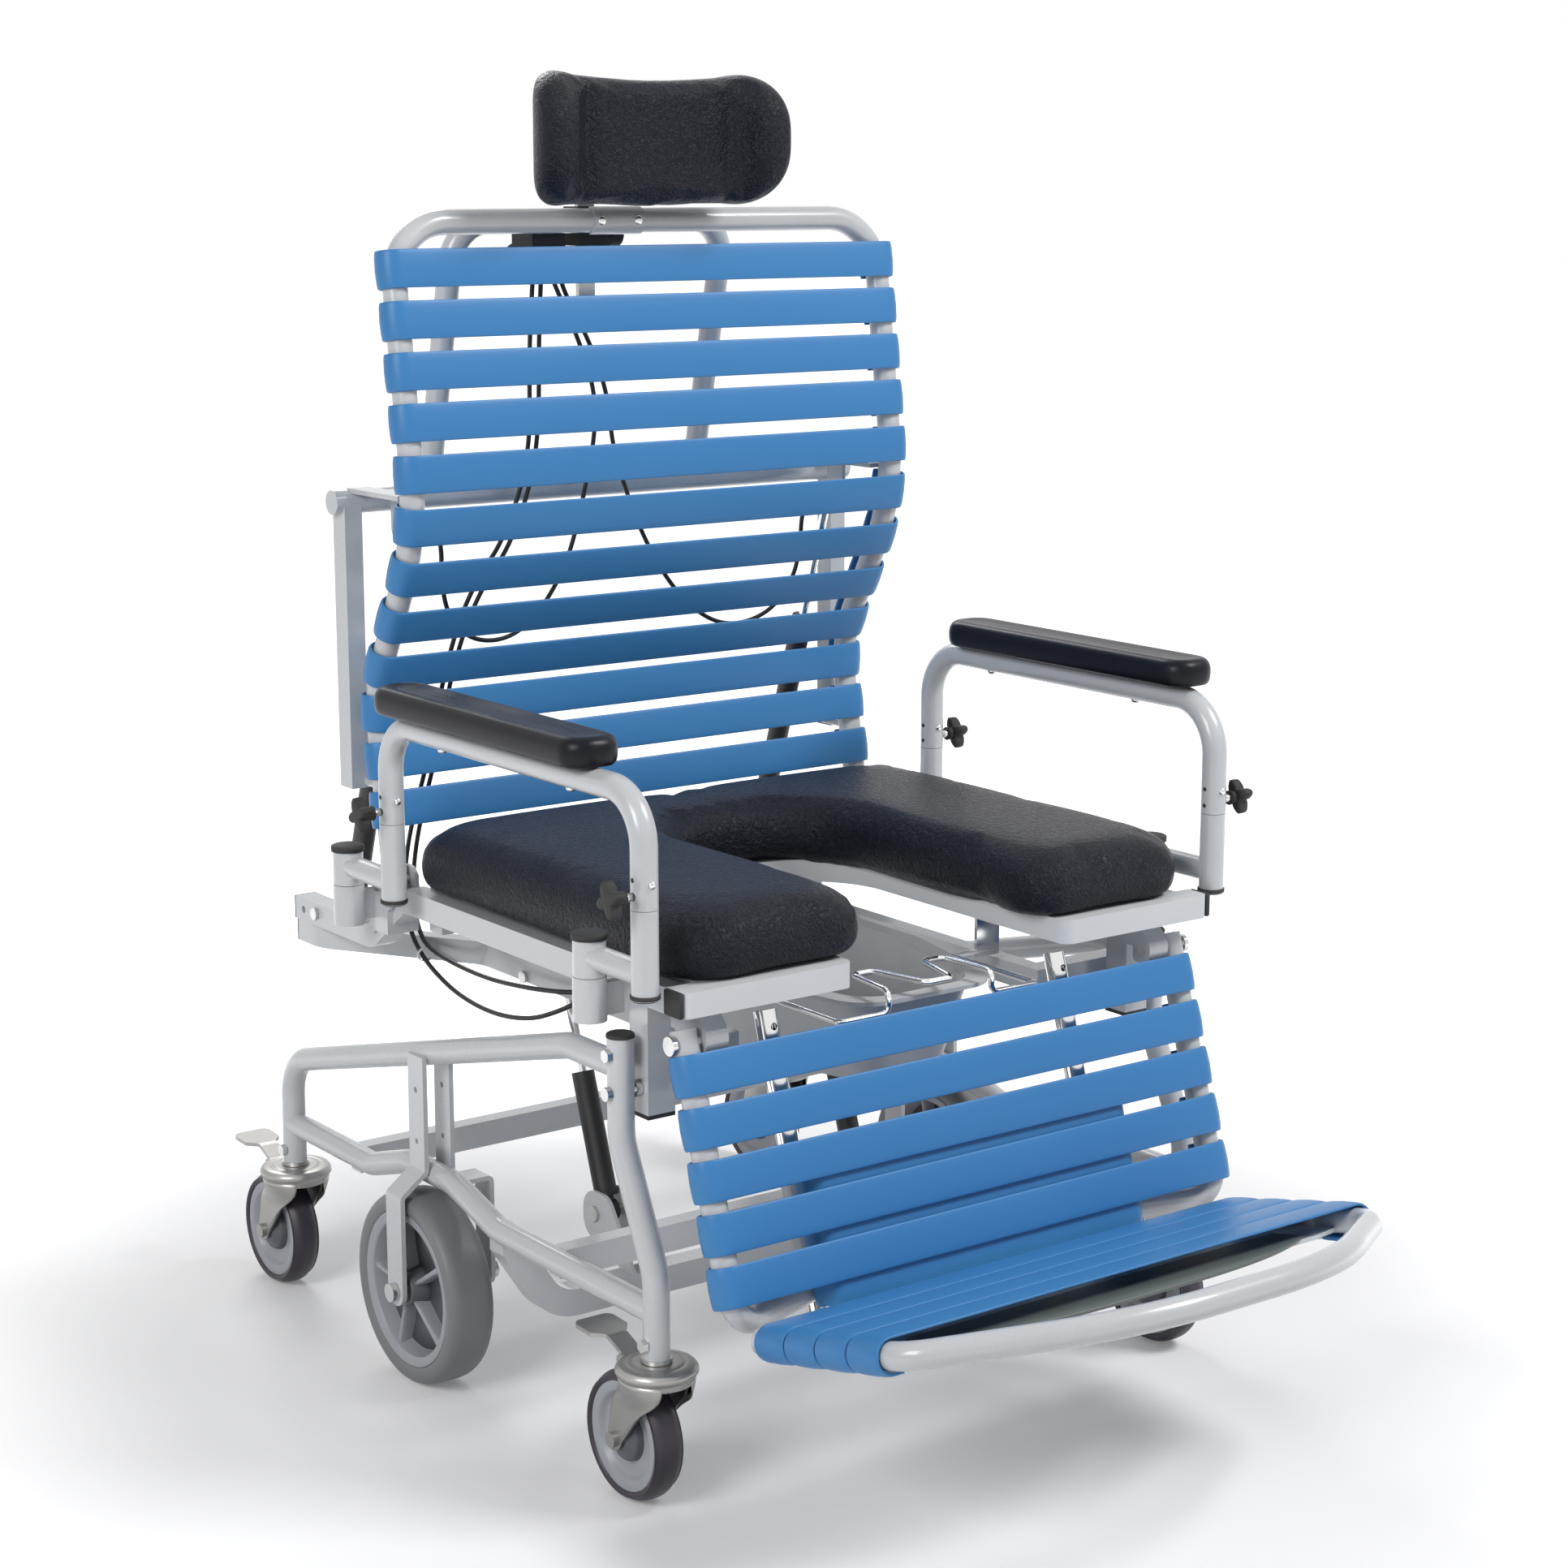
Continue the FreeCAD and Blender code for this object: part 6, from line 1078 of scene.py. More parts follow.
@dataclass
class Casters:
    """Braked swivel casters: tyre, core and hub, and the outer pressing of the fork."""

    track: float = 331.0
    stems: tuple[float, float] = (-390.0, 318.0)
    trail: float = 38.0
    radius: float = 62.5
    half_width: float = 16.0
    core_radius: float = 52.0
    ring_radius: float = 42.0
    bore: float = 5.05
    hub_half: float = 19.0
    wheel_steps: int = 72
    hub_steps: int = 48
    bell_top: float = 145.9
    bell_radius: float = 39.0
    bell_hole: float = 14.5
    flat_rear: float = 31.0
    skirt_radius: float = 36.0
    skirt_top: float = 133.0
    skirt_drop: float = 5.0
    skirt_gap: float = 0.3
    leg_x: float = 23.5
    leg_gauge: float = 1.3
    leg_below_axle: float = 11.0
    leg_wrap: float = 62.0
    leg_front: float = -34.0
    front_sweep: float = 62.0
    front_power: float = 1.6
    leg_rear: float = 34.0
    rear_sweep: float = 16.0
    tip_start: float = 0.87
    tip_length: float = 0.14
    blend_length: float = 0.42
    leg_steps: int = 25

    def wheel(self, centre: Array) -> list[Patch]:
        """Turns a tyre with a rounded tread, a light core with a dished web, and a hub.

        Args:
            centre: Middle of the wheel.
        Returns:
            The tyre, the core and the hub.
        """
        w, r, core, ring = self.half_width, self.radius, self.core_radius, self.ring_radius
        tyre = symmetric([(core, -w + 2), (core + 6, -w), (r - 6, -w + 1), (r, -w + 8)])
        web = symmetric([(14, -6), (ring - 4, -6), (ring + 1, -w + 3), (core + 1, -w + 2)])
        hub = symmetric([(self.bore, -self.hub_half), (12, -self.hub_half), (23, -13), (25, -6)])
        return [
            turned(rounded_profile(tyre, 6), centre, CASTER_TYRE, self.wheel_steps),
            turned(rounded_profile(web, 2.5), centre, WHEEL_GREY, self.wheel_steps),
            turned(rounded_profile(hub, 2), centre, WHEEL_DARK, self.hub_steps),
        ]

    def bell(self, place: Array) -> Patch:
        """Pressed top of the fork: a disc with a rolled edge, cut flat at the rear for the pedal.

        Args:
            place: Foot of the stem's axis on the floor.
        Returns:
            The bell.
        """
        top, wide, hole, skirt = self.bell_top, self.bell_radius, self.bell_hole, self.skirt_radius
        foot = self.skirt_top - self.skirt_drop
        outer = [(hole, top), (24, top), (26, top - 1.2), (29, top - 0.4), (wide - 3, top - 1.5),
                 (wide, top - 5), (wide, top - 9), (skirt, top - 12), (skirt, foot)]
        inner = [(skirt - 2, foot), (wide - 6, top - 5), (hole, top - 2.2)]
        profile = rounded_profile(outer + inner, 1.2, 3)
        patch = turned(profile, place, PRESSED_STEEL, self.wheel_steps, axis=Axis.Z)
        patch.points[:, 1] = np.minimum(patch.points[:, 1], place[1] + self.flat_rear)
        return patch

    def leg(self, place: Array, side: int) -> Patch:
        """One leg of the fork: it leaves the round skirt and narrows to a flat end about the axle.

        A smooth step takes each row from an arc of the skirt to a straight line between the leg's two edges.

        Args:
            place: Foot of the stem's axis on the floor.
            side: Side of the wheel, minus or plus one.
        Returns:
            The leg.
        """
        steps = self.leg_steps
        down = np.linspace(0, 1, steps)[:, None]
        across = np.linspace(-1, 1, steps)[None, :]
        turn = across * math.radians(self.leg_wrap)
        end = self.radius - self.leg_below_axle
        z = np.broadcast_to(self.skirt_top + down * (end - self.skirt_top), (steps, steps))
        front = self.leg_front + self.front_sweep * np.sin(down * np.pi / 2) ** self.front_power
        rear = self.leg_rear + self.rear_sweep * down
        tip = np.sqrt(np.clip(1 - np.clip((down - self.tip_start) / self.tip_length, 0, 1) ** 2, 0, 1))
        middle, half = (front + rear) / 2, (rear - front) / 2 * tip
        flat_y = middle + half * across
        blend = np.clip(down / self.blend_length, 0, 1)
        blend = blend * blend * (3 - 2 * blend)
        reach = self.skirt_radius + self.skirt_gap
        y = (1 - blend) * reach * np.sin(turn) + blend * flat_y
        x = (1 - blend) * reach * np.cos(turn) + blend * self.leg_x
        outer = np.stack([side * x, y, z], axis=-1) + place
        inner = np.stack([side * (x - self.leg_gauge), y, z], axis=-1) + place
        return grid(np.concatenate([outer, inner[:, ::-1]], axis=1), PRESSED_STEEL)

    def build(self) -> None:
        """Makes the wheels and the forks' outer pressings, and gives the forks and pedals a steel finish."""
        for side, hand in SIDES:
            for end, stem in zip(ENDS, self.stems):
                label = f"{end}_{hand}"
                centre = np.array([side * self.track, stem + self.trail, self.radius])
                wheel = piece(f"caster_wheel_{label}_dressed", self.wheel(centre))
                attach(wheel, f"caster_wheel_{label}")
                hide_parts(f"caster_wheel_{label}")
                place = np.array([side * self.track, stem, 0.0])
                patches = [self.bell(place), self.leg(place, -1), self.leg(place, 1)]
                fork = piece(f"caster_pressing_{label}", patches)
                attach(fork, f"caster_{label}")
                NODE_FINISHES[f"caster_fork_{label}"] = PRESSED_STEEL
                NODE_FINISHES[f"caster_pedal_{label}"] = PRESSED_STEEL


@dataclass
class ArmKnobs:
    """Four-lobed clamping knobs on the arm hoops."""

    arm_x: float = 348.0
    posts: tuple[float, float] = (-402.0, 50.0)
    z: float = 590.0
    radius: float = 18.0
    thickness: float = 13.0
    stand_off: float = 16.0
    screw_radius: float = 4.0
    screw_play: float = 0.05
    inner_radius: float = 10.5
    collar_foot: float = 7.5
    collar_top: float = 6.2
    screw_steps: int = 24
    collar_steps: int = 32
    lobes: int = 4
    waist: float = 0.74
    lobe: float = 0.26
    lobe_power: float = 0.2
    turn: float = 0.4
    rise: tuple[float, ...] = (0.0, 0.03, 0.12, 0.5, 0.85, 0.96, 1.0)
    scale: tuple[float, ...] = (0.7, 0.9, 1.0, 1.0, 0.97, 0.86, 0.6)
    round_points: int = 96

    def build(self) -> None:
        """Lofts the star along the screw: its radius is a four-lobed wave that shrinks at both faces."""
        angle = np.linspace(0, 2 * np.pi, self.round_points, endpoint=False)
        wave = np.cos(self.lobes * angle)
        star = self.waist + self.lobe * wave * np.abs(wave) ** self.lobe_power
        head = TUBE_RADIUS + self.stand_off
        thin = self.screw_radius - self.screw_play
        for side, hand in SIDES:
            for end, y in zip(ENDS, self.posts):
                rings = []
                for rise, scale in zip(self.rise, self.scale):
                    x = np.full(self.round_points, side * (self.arm_x + head + self.thickness * rise))
                    radius = self.radius * scale * star
                    rings.append(np.column_stack([x, y + radius * np.sin(angle + self.turn),
                                                  self.z + radius * np.cos(angle + self.turn)]))
                centre = (side * self.arm_x, y, self.z)
                screw = [(thin, side * self.inner_radius), (thin, side * (head + 2))]
                collar = [(self.collar_foot, side * (head - 7)), (self.collar_top, side * (head - 1)),
                          (self.collar_top, side * (head + 2))]
                patches = [
                    grid(np.stack(rings), BLACK_PLASTIC),
                    turned(screw, centre, BOLT_STEEL, self.screw_steps, closed=False),
                    turned(collar, centre, BLACK_PLASTIC, self.collar_steps, closed=False),
                ]
                knob = piece(f"arm_knob_{end}_{hand}_dressed", patches)
                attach(knob, f"arm_knob_{end}_{hand}")
                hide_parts(f"arm_knob_{end}_{hand}")


# Trim

def dome(radius: float, height: float, skirt: float = 0.0, steps: int = 7,
         crown: float = 0.06) -> list[tuple[float, float]]:
    """Profile of a domed cap: a quarter ellipse from its crown to its rim, and a straight skirt below.

    Args:
        radius: Radius of the rim.
        height: How far the crown stands over the rim; below zero the cap faces the other way.
        skirt: How far the skirt hangs below the rim.
        steps: Points on the curve.
        crown: Angle from the axis at which the curve starts, in radians.
    Returns:
        Corners (radius, height) from the crown down.
    """
    angle = np.linspace(crown, np.pi / 2, steps)
    profile = np.column_stack([radius * np.sin(angle), height * np.cos(angle)])
    return [tuple(row) for row in profile] + [(radius, -skirt)]


@dataclass
class ArmTrim:
    """Caps on the arms' sleeves and posts, and the screws, bolts and plugs of their hoops.

    The sizes of a cap, screw, bolt or plug are the radius, height and skirt of its dome.
    """

    x: float = 348.0
    sockets: tuple[float, float] = (-311.0, 145.0)
    posts: tuple[float, float] = (-402.0, 50.0)
    sleeve_cap_z: float = 537.2
    sleeve_cap: tuple[float, float, float] = (17.1, 3.0, 5.0)
    post_foot_z: float = 499.0
    foot_cap_wall: float = 1.1
    hoop_z: tuple[float, float] = (680.0, 690.0)
    pad_screws: tuple[float, float] = (0.23, 0.74)
    pad_screw: tuple[float, float, float] = (5.2, -3.4, -1.4)
    bolt_z: float = 601.0
    bolt: tuple[float, float, float] = (3.8, -2.4, -1.2)
    plug_z: tuple[float, float] = (586.0, 603.0)
    outer_plug_z: float = 605.0
    plug: tuple[float, float, float] = (2.3, 0.5, 0.6)
    screw_steps: int = 24
    plug_steps: int = 20

    def caps(self, side: int) -> list[Patch]:
        """Makes domed caps over the sleeves and shallow caps under the posts of one arm.

        Args:
            side: Side of the chair, minus or plus one.
        Returns:
            The caps.
        """
        wall = TUBE_RADIUS + self.foot_cap_wall
        ring = [(0.5, -5.6), (TUBE_RADIUS - 1, -5.4), (wall, -3.4), (wall, 0.3)]
        patches = []
        for socket, post in zip(self.sockets, self.posts):
            top = (side * self.x, socket, self.sleeve_cap_z)
            patches.append(turned(dome(*self.sleeve_cap), top, BLACK_PLASTIC, closed=False, axis=Axis.Z))
            foot = (side * self.x, post, self.post_foot_z)
            patches.append(turned(ring, foot, BLACK_PLASTIC, closed=False, axis=Axis.Z))
        return patches

    def screws(self, side: int, hoop_z: float) -> list[Patch]:
        """Makes screws under a pad, a domed bolt on the front of each post and dark plugs on its sides.

        Args:
            side: Side of the chair, minus or plus one.
            hoop_z: Height of the hoop's top tube.
        Returns:
            The screws, bolts and plugs.
        """
        patches = []
        front, rear = self.posts
        for share in self.pad_screws:
            place = (side * self.x, rear + share * (front - rear), hoop_z - TUBE_RADIUS)
            head = dome(*self.pad_screw)
            patches.append(turned(head, place, BOLT_STEEL, self.screw_steps, closed=False, axis=Axis.Z))
        radius, height, skirt = self.plug
        for post in self.posts:
            face = (side * self.x, post - TUBE_RADIUS, self.bolt_z)
            head = dome(*self.bolt)
            patches.append(turned(head, face, BOLT_STEEL, self.screw_steps, closed=False, axis=Axis.Y))
            for z in self.plug_z:
                inner = (side * (self.x - TUBE_RADIUS), post, z)
                plug = dome(radius, -side * height, -side * skirt)
                patches.append(turned(plug, inner, BLACK_PLASTIC, self.plug_steps, closed=False))
            outer = (side * (self.x + TUBE_RADIUS), post, self.outer_plug_z)
            plug = dome(radius, side * height, side * skirt)
            patches.append(turned(plug, outer, BLACK_PLASTIC, self.plug_steps, closed=False))
        return patches

    def build(self) -> None:
        """Makes both arms' caps and screws."""
        for (side, hand), hoop_z in zip(SIDES, self.hoop_z):
            caps = piece(f"arm_caps_{hand}", self.caps(side))
            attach(caps, f"arm_{hand}")
            screws = piece(f"arm_screws_{hand}", self.screws(side, hoop_z))
            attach(screws, f"hoop_{hand}")


@dataclass
class HeadSaddle:
    """Bent plate on the front of the back's top bar that the headrest's clamp bolts through."""

    bar: tuple[float, float] = (106.0, 1167.0)
    span: tuple[float, float] = (-70.0, -8.0)
    bolts: tuple[float, float] = (-62.0, -17.0)
    bolt: tuple[float, float, float] = (5.0, -2.6, -1.0)
    gauge: float = 1.8
    gap: float = 0.15
    half_turn: float = 1.45
    steps: int = 20
    bolt_steps: int = 28

    def build(self) -> None:
        """Carries a section of two arcs along the front of the bar and adds two domed bolts."""
        turn = np.linspace(-self.half_turn, self.half_turn, self.steps)
        inner, outer = TUBE_RADIUS + self.gap, TUBE_RADIUS + self.gauge
        radius = np.repeat([inner, outer], self.steps)
        angle = np.concatenate([turn, turn[::-1]])
        section = np.stack([-radius * np.cos(angle), radius * np.sin(angle)], axis=-1) + np.array(self.bar)
        rows = np.stack([np.column_stack([np.full(len(section), x), section]) for x in self.span])
        patches = [grid(rows, POWDER_COAT, smooth=False)]
        head = dome(*self.bolt)
        for x in self.bolts:
            face = (x, self.bar[0] - outer, self.bar[1])
            patches.append(turned(head, face, BOLT_STEEL, self.bolt_steps, closed=False, axis=Axis.Y))
        saddle = piece("head_saddle", patches)
        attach(saddle, "back")


@dataclass
class FootMat:
    """Grey-green plate that shows ahead of the footrest's straps, with a bowed front edge."""

    hinge: tuple[float, float] = (-505.0, 190.0)
    rise: float = 14.0
    half_width: float = 225.0
    start: float = 120.0
    end: float = 162.0
    bow: float = 48.0
    bow_power: int = 3
    lift: float = -5.2
    gauge: float = 3.6
    ease: float = 0.8
    columns: int = 49

    def build(self) -> None:
        """Carries the plate's eased section across the footrest; its front edge is a power curve."""
        rise = math.radians(self.rise)
        along = np.array([0.0, -math.cos(rise), math.sin(rise)])
        up = np.array([0.0, math.sin(rise), math.cos(rise)])
        across = np.linspace(-self.half_width, self.half_width, self.columns)
        front = self.end + self.bow * (1 - np.abs(across / self.half_width) ** self.bow_power)
        rear = np.full(self.columns, self.start)
        low, high = self.lift, self.lift + self.gauge
        section = [
            (rear, low), (front - self.ease, low), (front, low + self.ease),
            (front, high - self.ease), (front - self.ease, high), (rear, high),
        ]
        line = np.array([0.0, *self.hinge]) + across[:, None] * np.array([1.0, 0, 0])
        edges = [line + reach[:, None] * along + lift * up for reach, lift in section]
        mat = piece("foot_mat", [grid(np.stack(edges, axis=1), FOOT_GREEN)])
        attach(mat, "foot")


@dataclass
class BoardEnds:
    """Black caps on the outer front corners of the seat board."""

    x: float = 323.5
    y: float = -411.0
    half: tuple[float, float] = (2.5, 13.0)
    z: tuple[float, float] = (476.5, 500.5)
    ease: float = 1.0
    corner: float = 1.2

    def build(self) -> None:
        """Stacks eased outlines for each cap."""
        low, high = self.z
        steps = ((self.ease, low), (0.0, low + self.ease), (0.0, high - self.ease), (self.ease, high))
        for side, hand in SIDES:
            rings = []
            for inset, z in steps:
                flat = round_outline(self.half[0] - inset, self.half[1] - inset, self.corner)
                flat = flat + np.array([side * self.x, self.y])
                rings.append(np.column_stack([flat, np.full(len(flat), z)]))
            cap = piece(f"board_end_{hand}", [grid(np.stack(rings), BLACK_PLASTIC)])
            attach(cap, "seat")


@dataclass
class CableTie:
    """Pale tie that gathers the two tilt cables under the seat rail."""

    centre: tuple[float, float, float] = (-251.0, 160.0, 404.0)
    half_width: float = 9.5
    half_height: float = 7.0
    strip: float = 4.5
    gauge: float = 1.3
    strip_power: float = 0.4
    strip_points: int = 12
    round_steps: int = 48

    def build(self) -> None:
        """Loop of a flat strip round the cables: an oval ring whose section is a rounded strip."""
        turn = np.linspace(0, 2 * np.pi, self.round_steps, endpoint=False)
        angle = np.linspace(0, 2 * np.pi, self.strip_points, endpoint=False)
        c, s = superellipse(angle, self.strip_power)
        out = 1 + (self.gauge * c / 2)[None, :] / self.half_width
        x = self.half_width * np.cos(turn)[:, None] * out
        z = self.half_height * np.sin(turn)[:, None] * out
        y = np.broadcast_to(self.strip * s / 2, x.shape)
        points = np.stack([x, y, z], axis=-1) + np.array(self.centre)
        tie = piece("cable_tie", [grid(points, TIE_WHITE, wrap_rows=True)])
        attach(tie, "seat")


# Cables

Route = tuple[tuple[float, float, float], ...]


@dataclass
class Cables:
    """Release cables from the levers down the back and under the seat."""

    radius: float = 2.5
    round_steps: int = 4
    order: int = 3
    steps: int = 8
    back: tuple[Route, ...] = (
        ((-106, 125, 1130), (-103, 128, 1112), (-82, 138, 1082), (-54, 150, 1040), (-31, 157, 988),
         (-31, 158, 940), (-47, 157, 877), (-68, 155, 812), (-98, 154, 767), (-131, 153, 739),
         (-166, 152, 731), (-200, 150, 740), (-224, 147, 768), (-231, 144, 805), (-231, 142, 838),
         (-239, 141, 858), (-259.4, 141, 862)),
        ((-96, 125, 1130), (-92, 129, 1110), (-72, 141, 1082), (-38, 152, 1036), (-14, 157, 980),
         (-9, 158, 925), (18, 157, 852), (38, 156, 812), (63, 155, 774), (95, 154, 742),
         (130, 153, 724), (168, 152, 724), (203, 150, 740), (226, 147, 772), (232, 144, 808),
         (232, 142, 838), (239, 141, 858), (259.4, 141, 862)),
        ((-125, 125, 1130), (-124, 129, 1105), (-121, 140, 1060), (-117, 150, 1005), (-113, 156, 950),
         (-122, 158, 895), (-149, 157, 836), (-174, 157, 806), (-195, 158, 773), (-211, 160, 731),
         (-222, 163, 689), (-232, 167, 640), (-240, 171, 600)),
        ((-115, 125, 1130), (-114, 129, 1105), (-110, 140, 1060), (-105, 150, 1005), (-103, 156, 950),
         (-112, 158, 893), (-140, 157, 831), (-166, 157, 800), (-186, 158, 768), (-202, 160, 729),
         (-213, 163, 688), (-223, 167, 640), (-231, 171, 600)),
    )
    hinge: tuple[Route, ...] = (
        ((-240, 171, 600), (-248, 179, 560), (-255, 187, 515), (-257, 191, 475), (-257, 188, 445)),
        ((-231, 171, 600), (-239, 179, 558), (-245, 187, 513), (-247, 191, 474), (-247, 188, 445)),
    )
    seat: tuple[Route, ...] = (
        ((-257, 188, 445), (-257, 181, 427), (-255, 168, 408), (-251, 147, 390), (-246, 103, 371),
         (-242, 38, 364), (-238, -26, 372), (-233, -70, 389), (-226, -100, 405), (-208, -108, 409)),
        ((-247, 188, 445), (-248, 180, 428), (-248, 162, 411), (-240, 122, 400), (-233, 62, 395),
         (-229, 2, 399), (-226, -42, 404), (-221, -72, 408), (-208, -80, 408)),
    )

    def run(self, name: str, route: Route) -> bpy.types.Object:
        """Makes one stretch of cable along a smooth spline whose control points are the route.

        Args:
            name: The piece's name.
            route: Points in chair millimetres.
        Returns:
            The cable as a mesh.
        """
        curve = bpy.data.curves.new(name + "_line", "CURVE")
        curve.dimensions = "3D"
        curve.bevel_depth = self.radius * MM
        curve.bevel_resolution = self.round_steps
        curve.use_fill_caps = True
        spline = curve.splines.new("NURBS")
        spline.points.add(len(route) - 1)
        spline.points.foreach_set("co", np.column_stack([metres(route), np.ones(len(route))]).ravel())
        spline.order_u = self.order
        spline.use_endpoint_u = True
        spline.resolution_u = self.steps
        drawn = bpy.data.objects.new(name + "_line", curve)
        bpy.context.scene.collection.objects.link(drawn)
        mesh = bpy.data.meshes.new_from_object(drawn.evaluated_get(bpy.context.evaluated_depsgraph_get()))
        mesh.materials.clear()
        mesh.materials.append(CABLE_BLACK.material())
        mesh.polygons.foreach_set("use_smooth", np.ones(len(mesh.polygons), bool))
        bpy.data.objects.remove(drawn)
        obj = bpy.data.objects.new(name, mesh)
        bpy.context.scene.collection.objects.link(obj)
        return obj

    def build(self) -> None:
        """Makes every stretch; those at the hinge run between the seat and the back and ride on no body."""
        for part, routes, body in (("back", self.back, "back"), ("seat", self.seat, "seat")):
            for number, route in enumerate(routes, start=1):
                cable = self.run(f"{part}_cable_{number}", route)
                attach(cable, body)
                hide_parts(f"{part}_cables")
        for number, route in enumerate(self.hinge, start=1):
            cable = self.run(f"hinge_cable_{number}", route)
            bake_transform(cable)
            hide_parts("hinge_cables")


# Scene

@dataclass(frozen=True)
class Lamp:
    """Square area lamp that faces a target.

    Attributes:
        name: Its name.
        place: Its place in metres.
        target: The point that it faces, in metres.
        size: Its side in metres.
        power: Its power in watts.
    """

    name: str
    place: tuple[float, float, float]
    target: tuple[float, float, float]
    size: float
    power: float

    def build(self) -> None:
        """Adds the lamp and turns it to its target."""
        data = bpy.data.lights.new(self.name, "AREA")
        data.size = self.size
        data.energy = self.power
        obj = bpy.data.objects.new(self.name, data)
        obj.location = self.place
        obj.rotation_euler = (Vector(self.target) - Vector(self.place)).to_track_quat("-Z", "Y").to_euler()
        bpy.context.scene.collection.objects.link(obj)


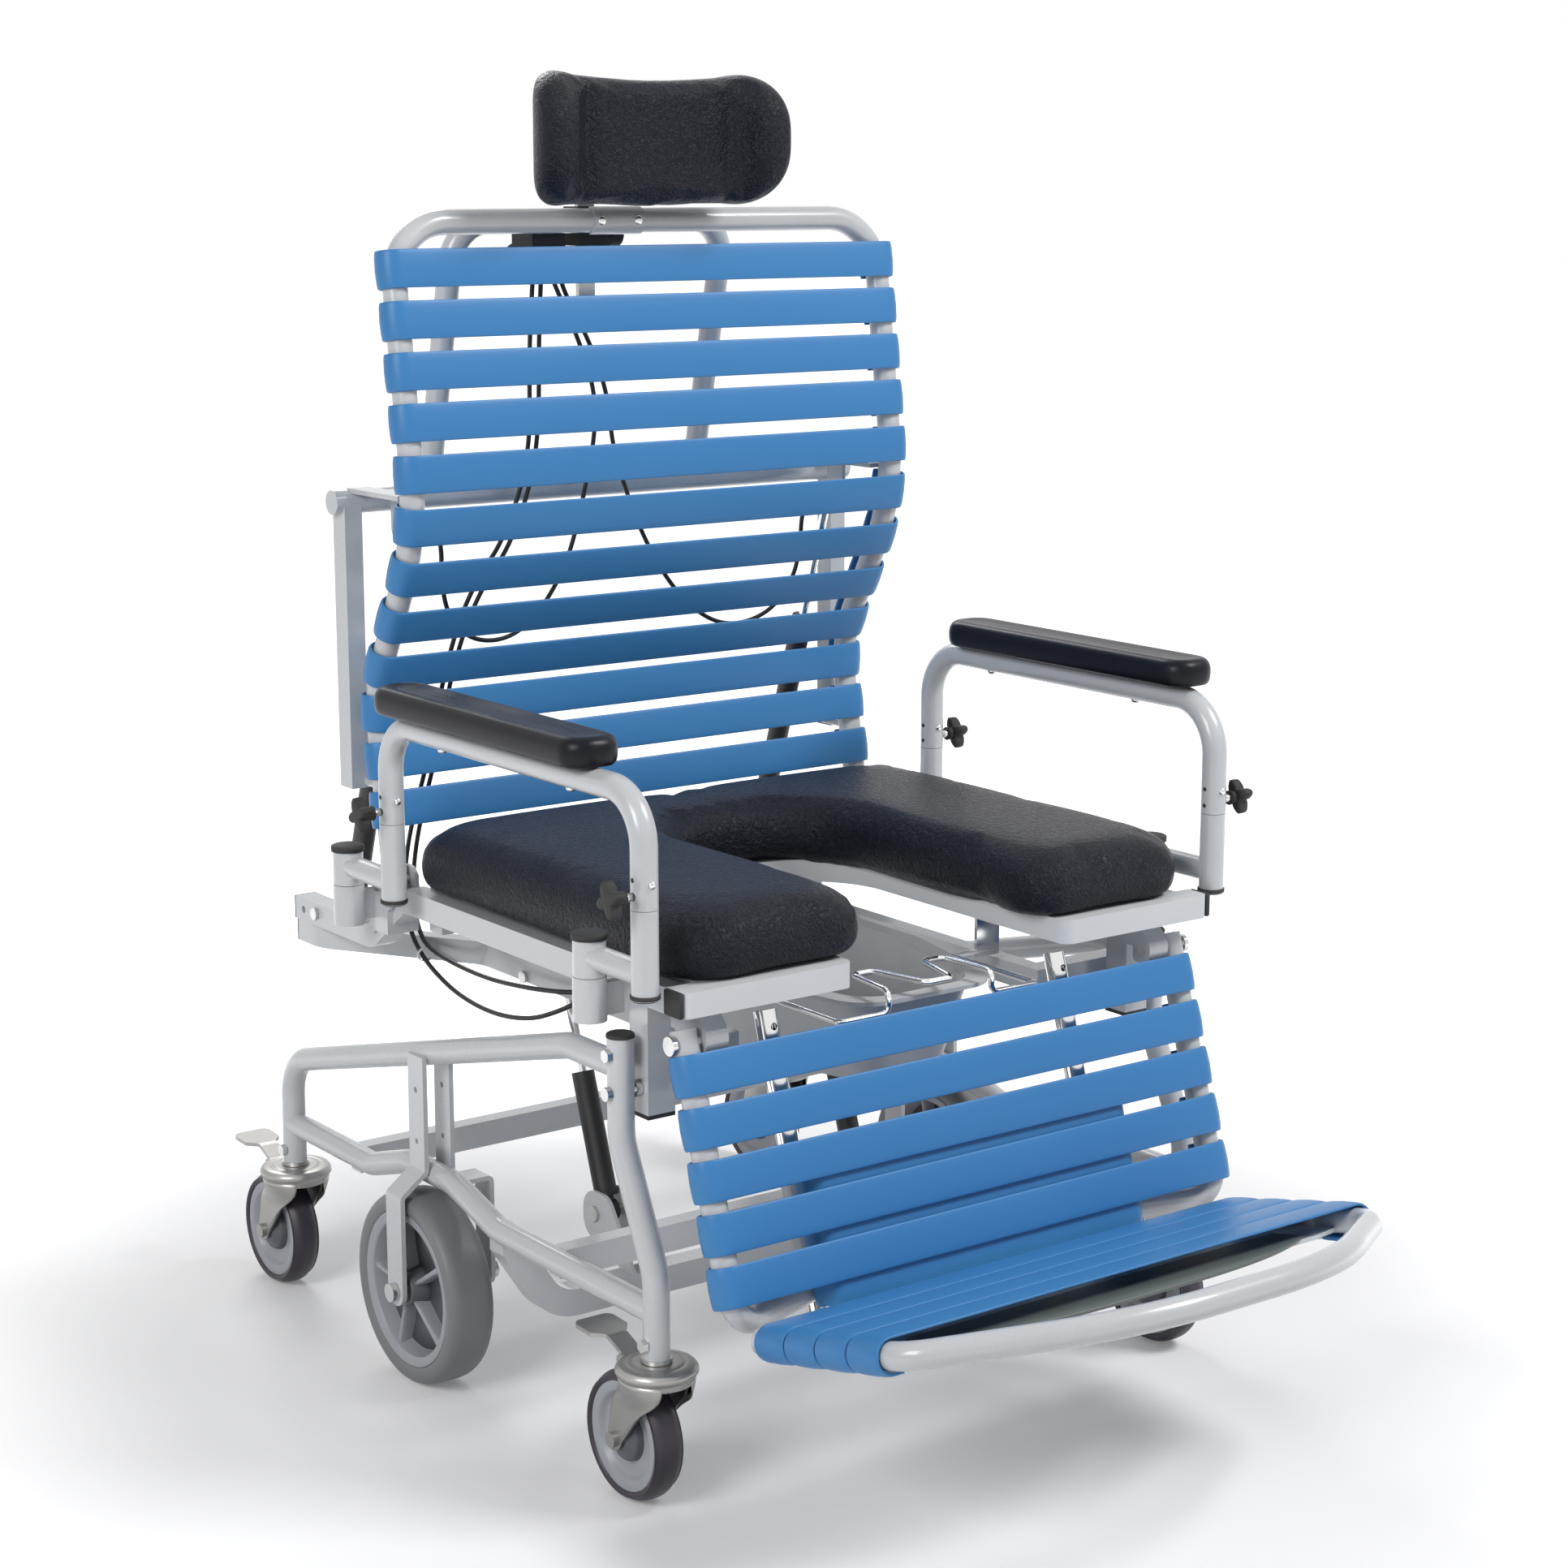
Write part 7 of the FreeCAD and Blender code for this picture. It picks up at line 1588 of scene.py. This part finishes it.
@dataclass
class Studio:
    """Floor, light and the camera of the photograph's view."""

    camera_place: tuple[float, float, float] = (-1798.44, -2569.94, 1212.92)
    yaw: float = 36.493
    pitch: float = 11.349
    lens: float = 69.66
    sensor: float = 36.0
    view_depth: float = 100.0
    floor_half: float = 30.0
    floor_colour: tuple[float, float, float] = (0.86, 0.86, 0.87)
    floor_roughness: float = 0.85
    floor_specular: float = 0.1
    # Camera glow near the chair, and the distances over which it rises to full white: a painted shadow on the
    # floor round the chair.
    floor_glow: float = 0.14
    painted_shadow_reach: tuple[float, float] = (0.6, 1.55)
    surround_light: float = 0.2
    lamps: tuple[Lamp, ...] = (
        Lamp("key", (1.7, -2.0, 3.3), (0.0, 0.0, 0.6), 1.2, 92.0),
        Lamp("fill", (-3.0, -1.0, 2.2), (0.0, 0.0, 0.6), 1.4, 58.0),
        Lamp("rim", (0.6, 2.8, 2.8), (0.0, 0.0, 0.8), 1.4, 40.0),
    )

    def camera(self) -> None:
        """Sets the camera where the photograph was taken from."""
        data = bpy.data.cameras.new("camera")
        data.lens = self.lens
        data.sensor_width = self.sensor
        data.clip_end = self.view_depth
        obj = bpy.data.objects.new("camera", data)
        obj.location = metres(self.camera_place)
        obj.rotation_euler = (math.radians(90 - self.pitch), 0.0, -math.radians(self.yaw))
        bpy.context.scene.collection.objects.link(obj)
        bpy.context.scene.camera = obj

    @staticmethod
    def seen(nodes: bpy.types.Nodes, links: bpy.types.NodeLinks) -> bpy.types.NodeSocket:
        """Adds nodes that give one for rays from the camera, from reflections and through glass.

        Args:
            nodes: Nodes of the material or world.
            links: Links of the same tree.
        Returns:
            The socket that carries the value.
        """
        path = nodes.new("ShaderNodeLightPath")
        value = path.outputs["Is Camera Ray"]
        for ray in ("Is Glossy Ray", "Is Transmission Ray"):
            larger = nodes.new("ShaderNodeMath")
            larger.operation = "MAXIMUM"
            links.new(value, larger.inputs[0])
            links.new(path.outputs[ray], larger.inputs[1])
            value = larger.outputs["Value"]
        return value

    def floor(self) -> None:
        """Wide pale floor that brightens to white for the camera and keeps the shadow; its glow is weaker
        near the chair, which paints a shadow under it.
        """
        mesh = bpy.data.meshes.new("floor")
        half = self.floor_half
        corners = [(-half, -half, 0), (half, -half, 0), (half, half, 0), (-half, half, 0)]
        mesh.from_pydata(corners, [], [(0, 1, 2, 3)])
        obj = bpy.data.objects.new("floor", mesh)
        bpy.context.scene.collection.objects.link(obj)
        material = bpy.data.materials.new("floor_pale")
        material.use_nodes = True
        nodes, links = material.node_tree.nodes, material.node_tree.links
        shader = nodes["Principled BSDF"]
        shader.inputs["Base Color"].default_value = (*self.floor_colour, 1.0)
        shader.inputs["Roughness"].default_value = self.floor_roughness
        shader.inputs["Specular IOR Level"].default_value = self.floor_specular
        glow = nodes.new("ShaderNodeEmission")
        distance = nodes.new("ShaderNodeVectorMath")
        distance.operation = "LENGTH"
        links.new(nodes.new("ShaderNodeTexCoord").outputs["Object"], distance.inputs[0])
        # Painted shadow: the camera's glow is lowest near the chair's middle and rises to full white further
        # out, so the floor darkens round the chair.
        fade = nodes.new("ShaderNodeMapRange")
        fade.interpolation_type = "SMOOTHSTEP"
        fade.inputs["From Min"].default_value = self.painted_shadow_reach[0]
        fade.inputs["From Max"].default_value = self.painted_shadow_reach[1]
        fade.inputs["To Min"].default_value = self.floor_glow
        fade.inputs["To Max"].default_value = 1.0
        links.new(distance.outputs["Value"], fade.inputs["Value"])
        gain = nodes.new("ShaderNodeMath")
        gain.operation = "MULTIPLY"
        links.new(self.seen(nodes, links), gain.inputs[0])
        links.new(fade.outputs["Result"], gain.inputs[1])
        links.new(gain.outputs["Value"], glow.inputs["Strength"])
        total = nodes.new("ShaderNodeAddShader")
        links.new(shader.outputs["BSDF"], total.inputs[0])
        links.new(glow.outputs["Emission"], total.inputs[1])
        links.new(total.outputs["Shader"], nodes["Material Output"].inputs["Surface"])
        mesh.materials.append(material)

    def world(self) -> None:
        """White surround for the camera and for reflections, and a softer level for the light it gives."""
        world = bpy.data.worlds.new("surround")
        world.use_nodes = True
        bpy.context.scene.world = world
        nodes, links = world.node_tree.nodes, world.node_tree.links
        background = nodes["Background"]
        background.inputs["Color"].default_value = (1.0, 1.0, 1.0, 1.0)
        level = nodes.new("ShaderNodeMapRange")
        level.inputs["To Min"].default_value = self.surround_light
        level.inputs["To Max"].default_value = 1.0
        links.new(self.seen(nodes, links), level.inputs["Value"])
        links.new(level.outputs["Result"], background.inputs["Strength"])

    def build(self) -> None:
        """Sets the view, the stage and the lamps."""
        scene = bpy.context.scene
        scene.view_settings.view_transform = "Standard"
        self.camera()
        self.floor()
        self.world()
        for lamp in self.lamps:
            lamp.build()


def dress_solids() -> None:
    """Gives every solid that stays its finish."""
    for name, finish in NODE_FINISHES.items():
        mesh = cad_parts[name].data
        mesh.materials.clear()
        mesh.materials.append(finish.material())


def main() -> None:
    """Builds each sub-assembly in order."""
    logging.basicConfig(level=logging.INFO, format="%(name)s %(message)s")
    Studio().build()
    Cables().build()
    StrapSet().build()
    SeatPad().build()
    HeadPad().build()
    ArmPads().build()
    CentreWheels().build()
    Casters().build()
    ArmKnobs().build()
    ArmTrim().build()
    HeadSaddle().build()
    FootMat().build()
    BoardEnds().build()
    CableTie().build()
    dress_solids()


if __name__ == "__main__":
    main()
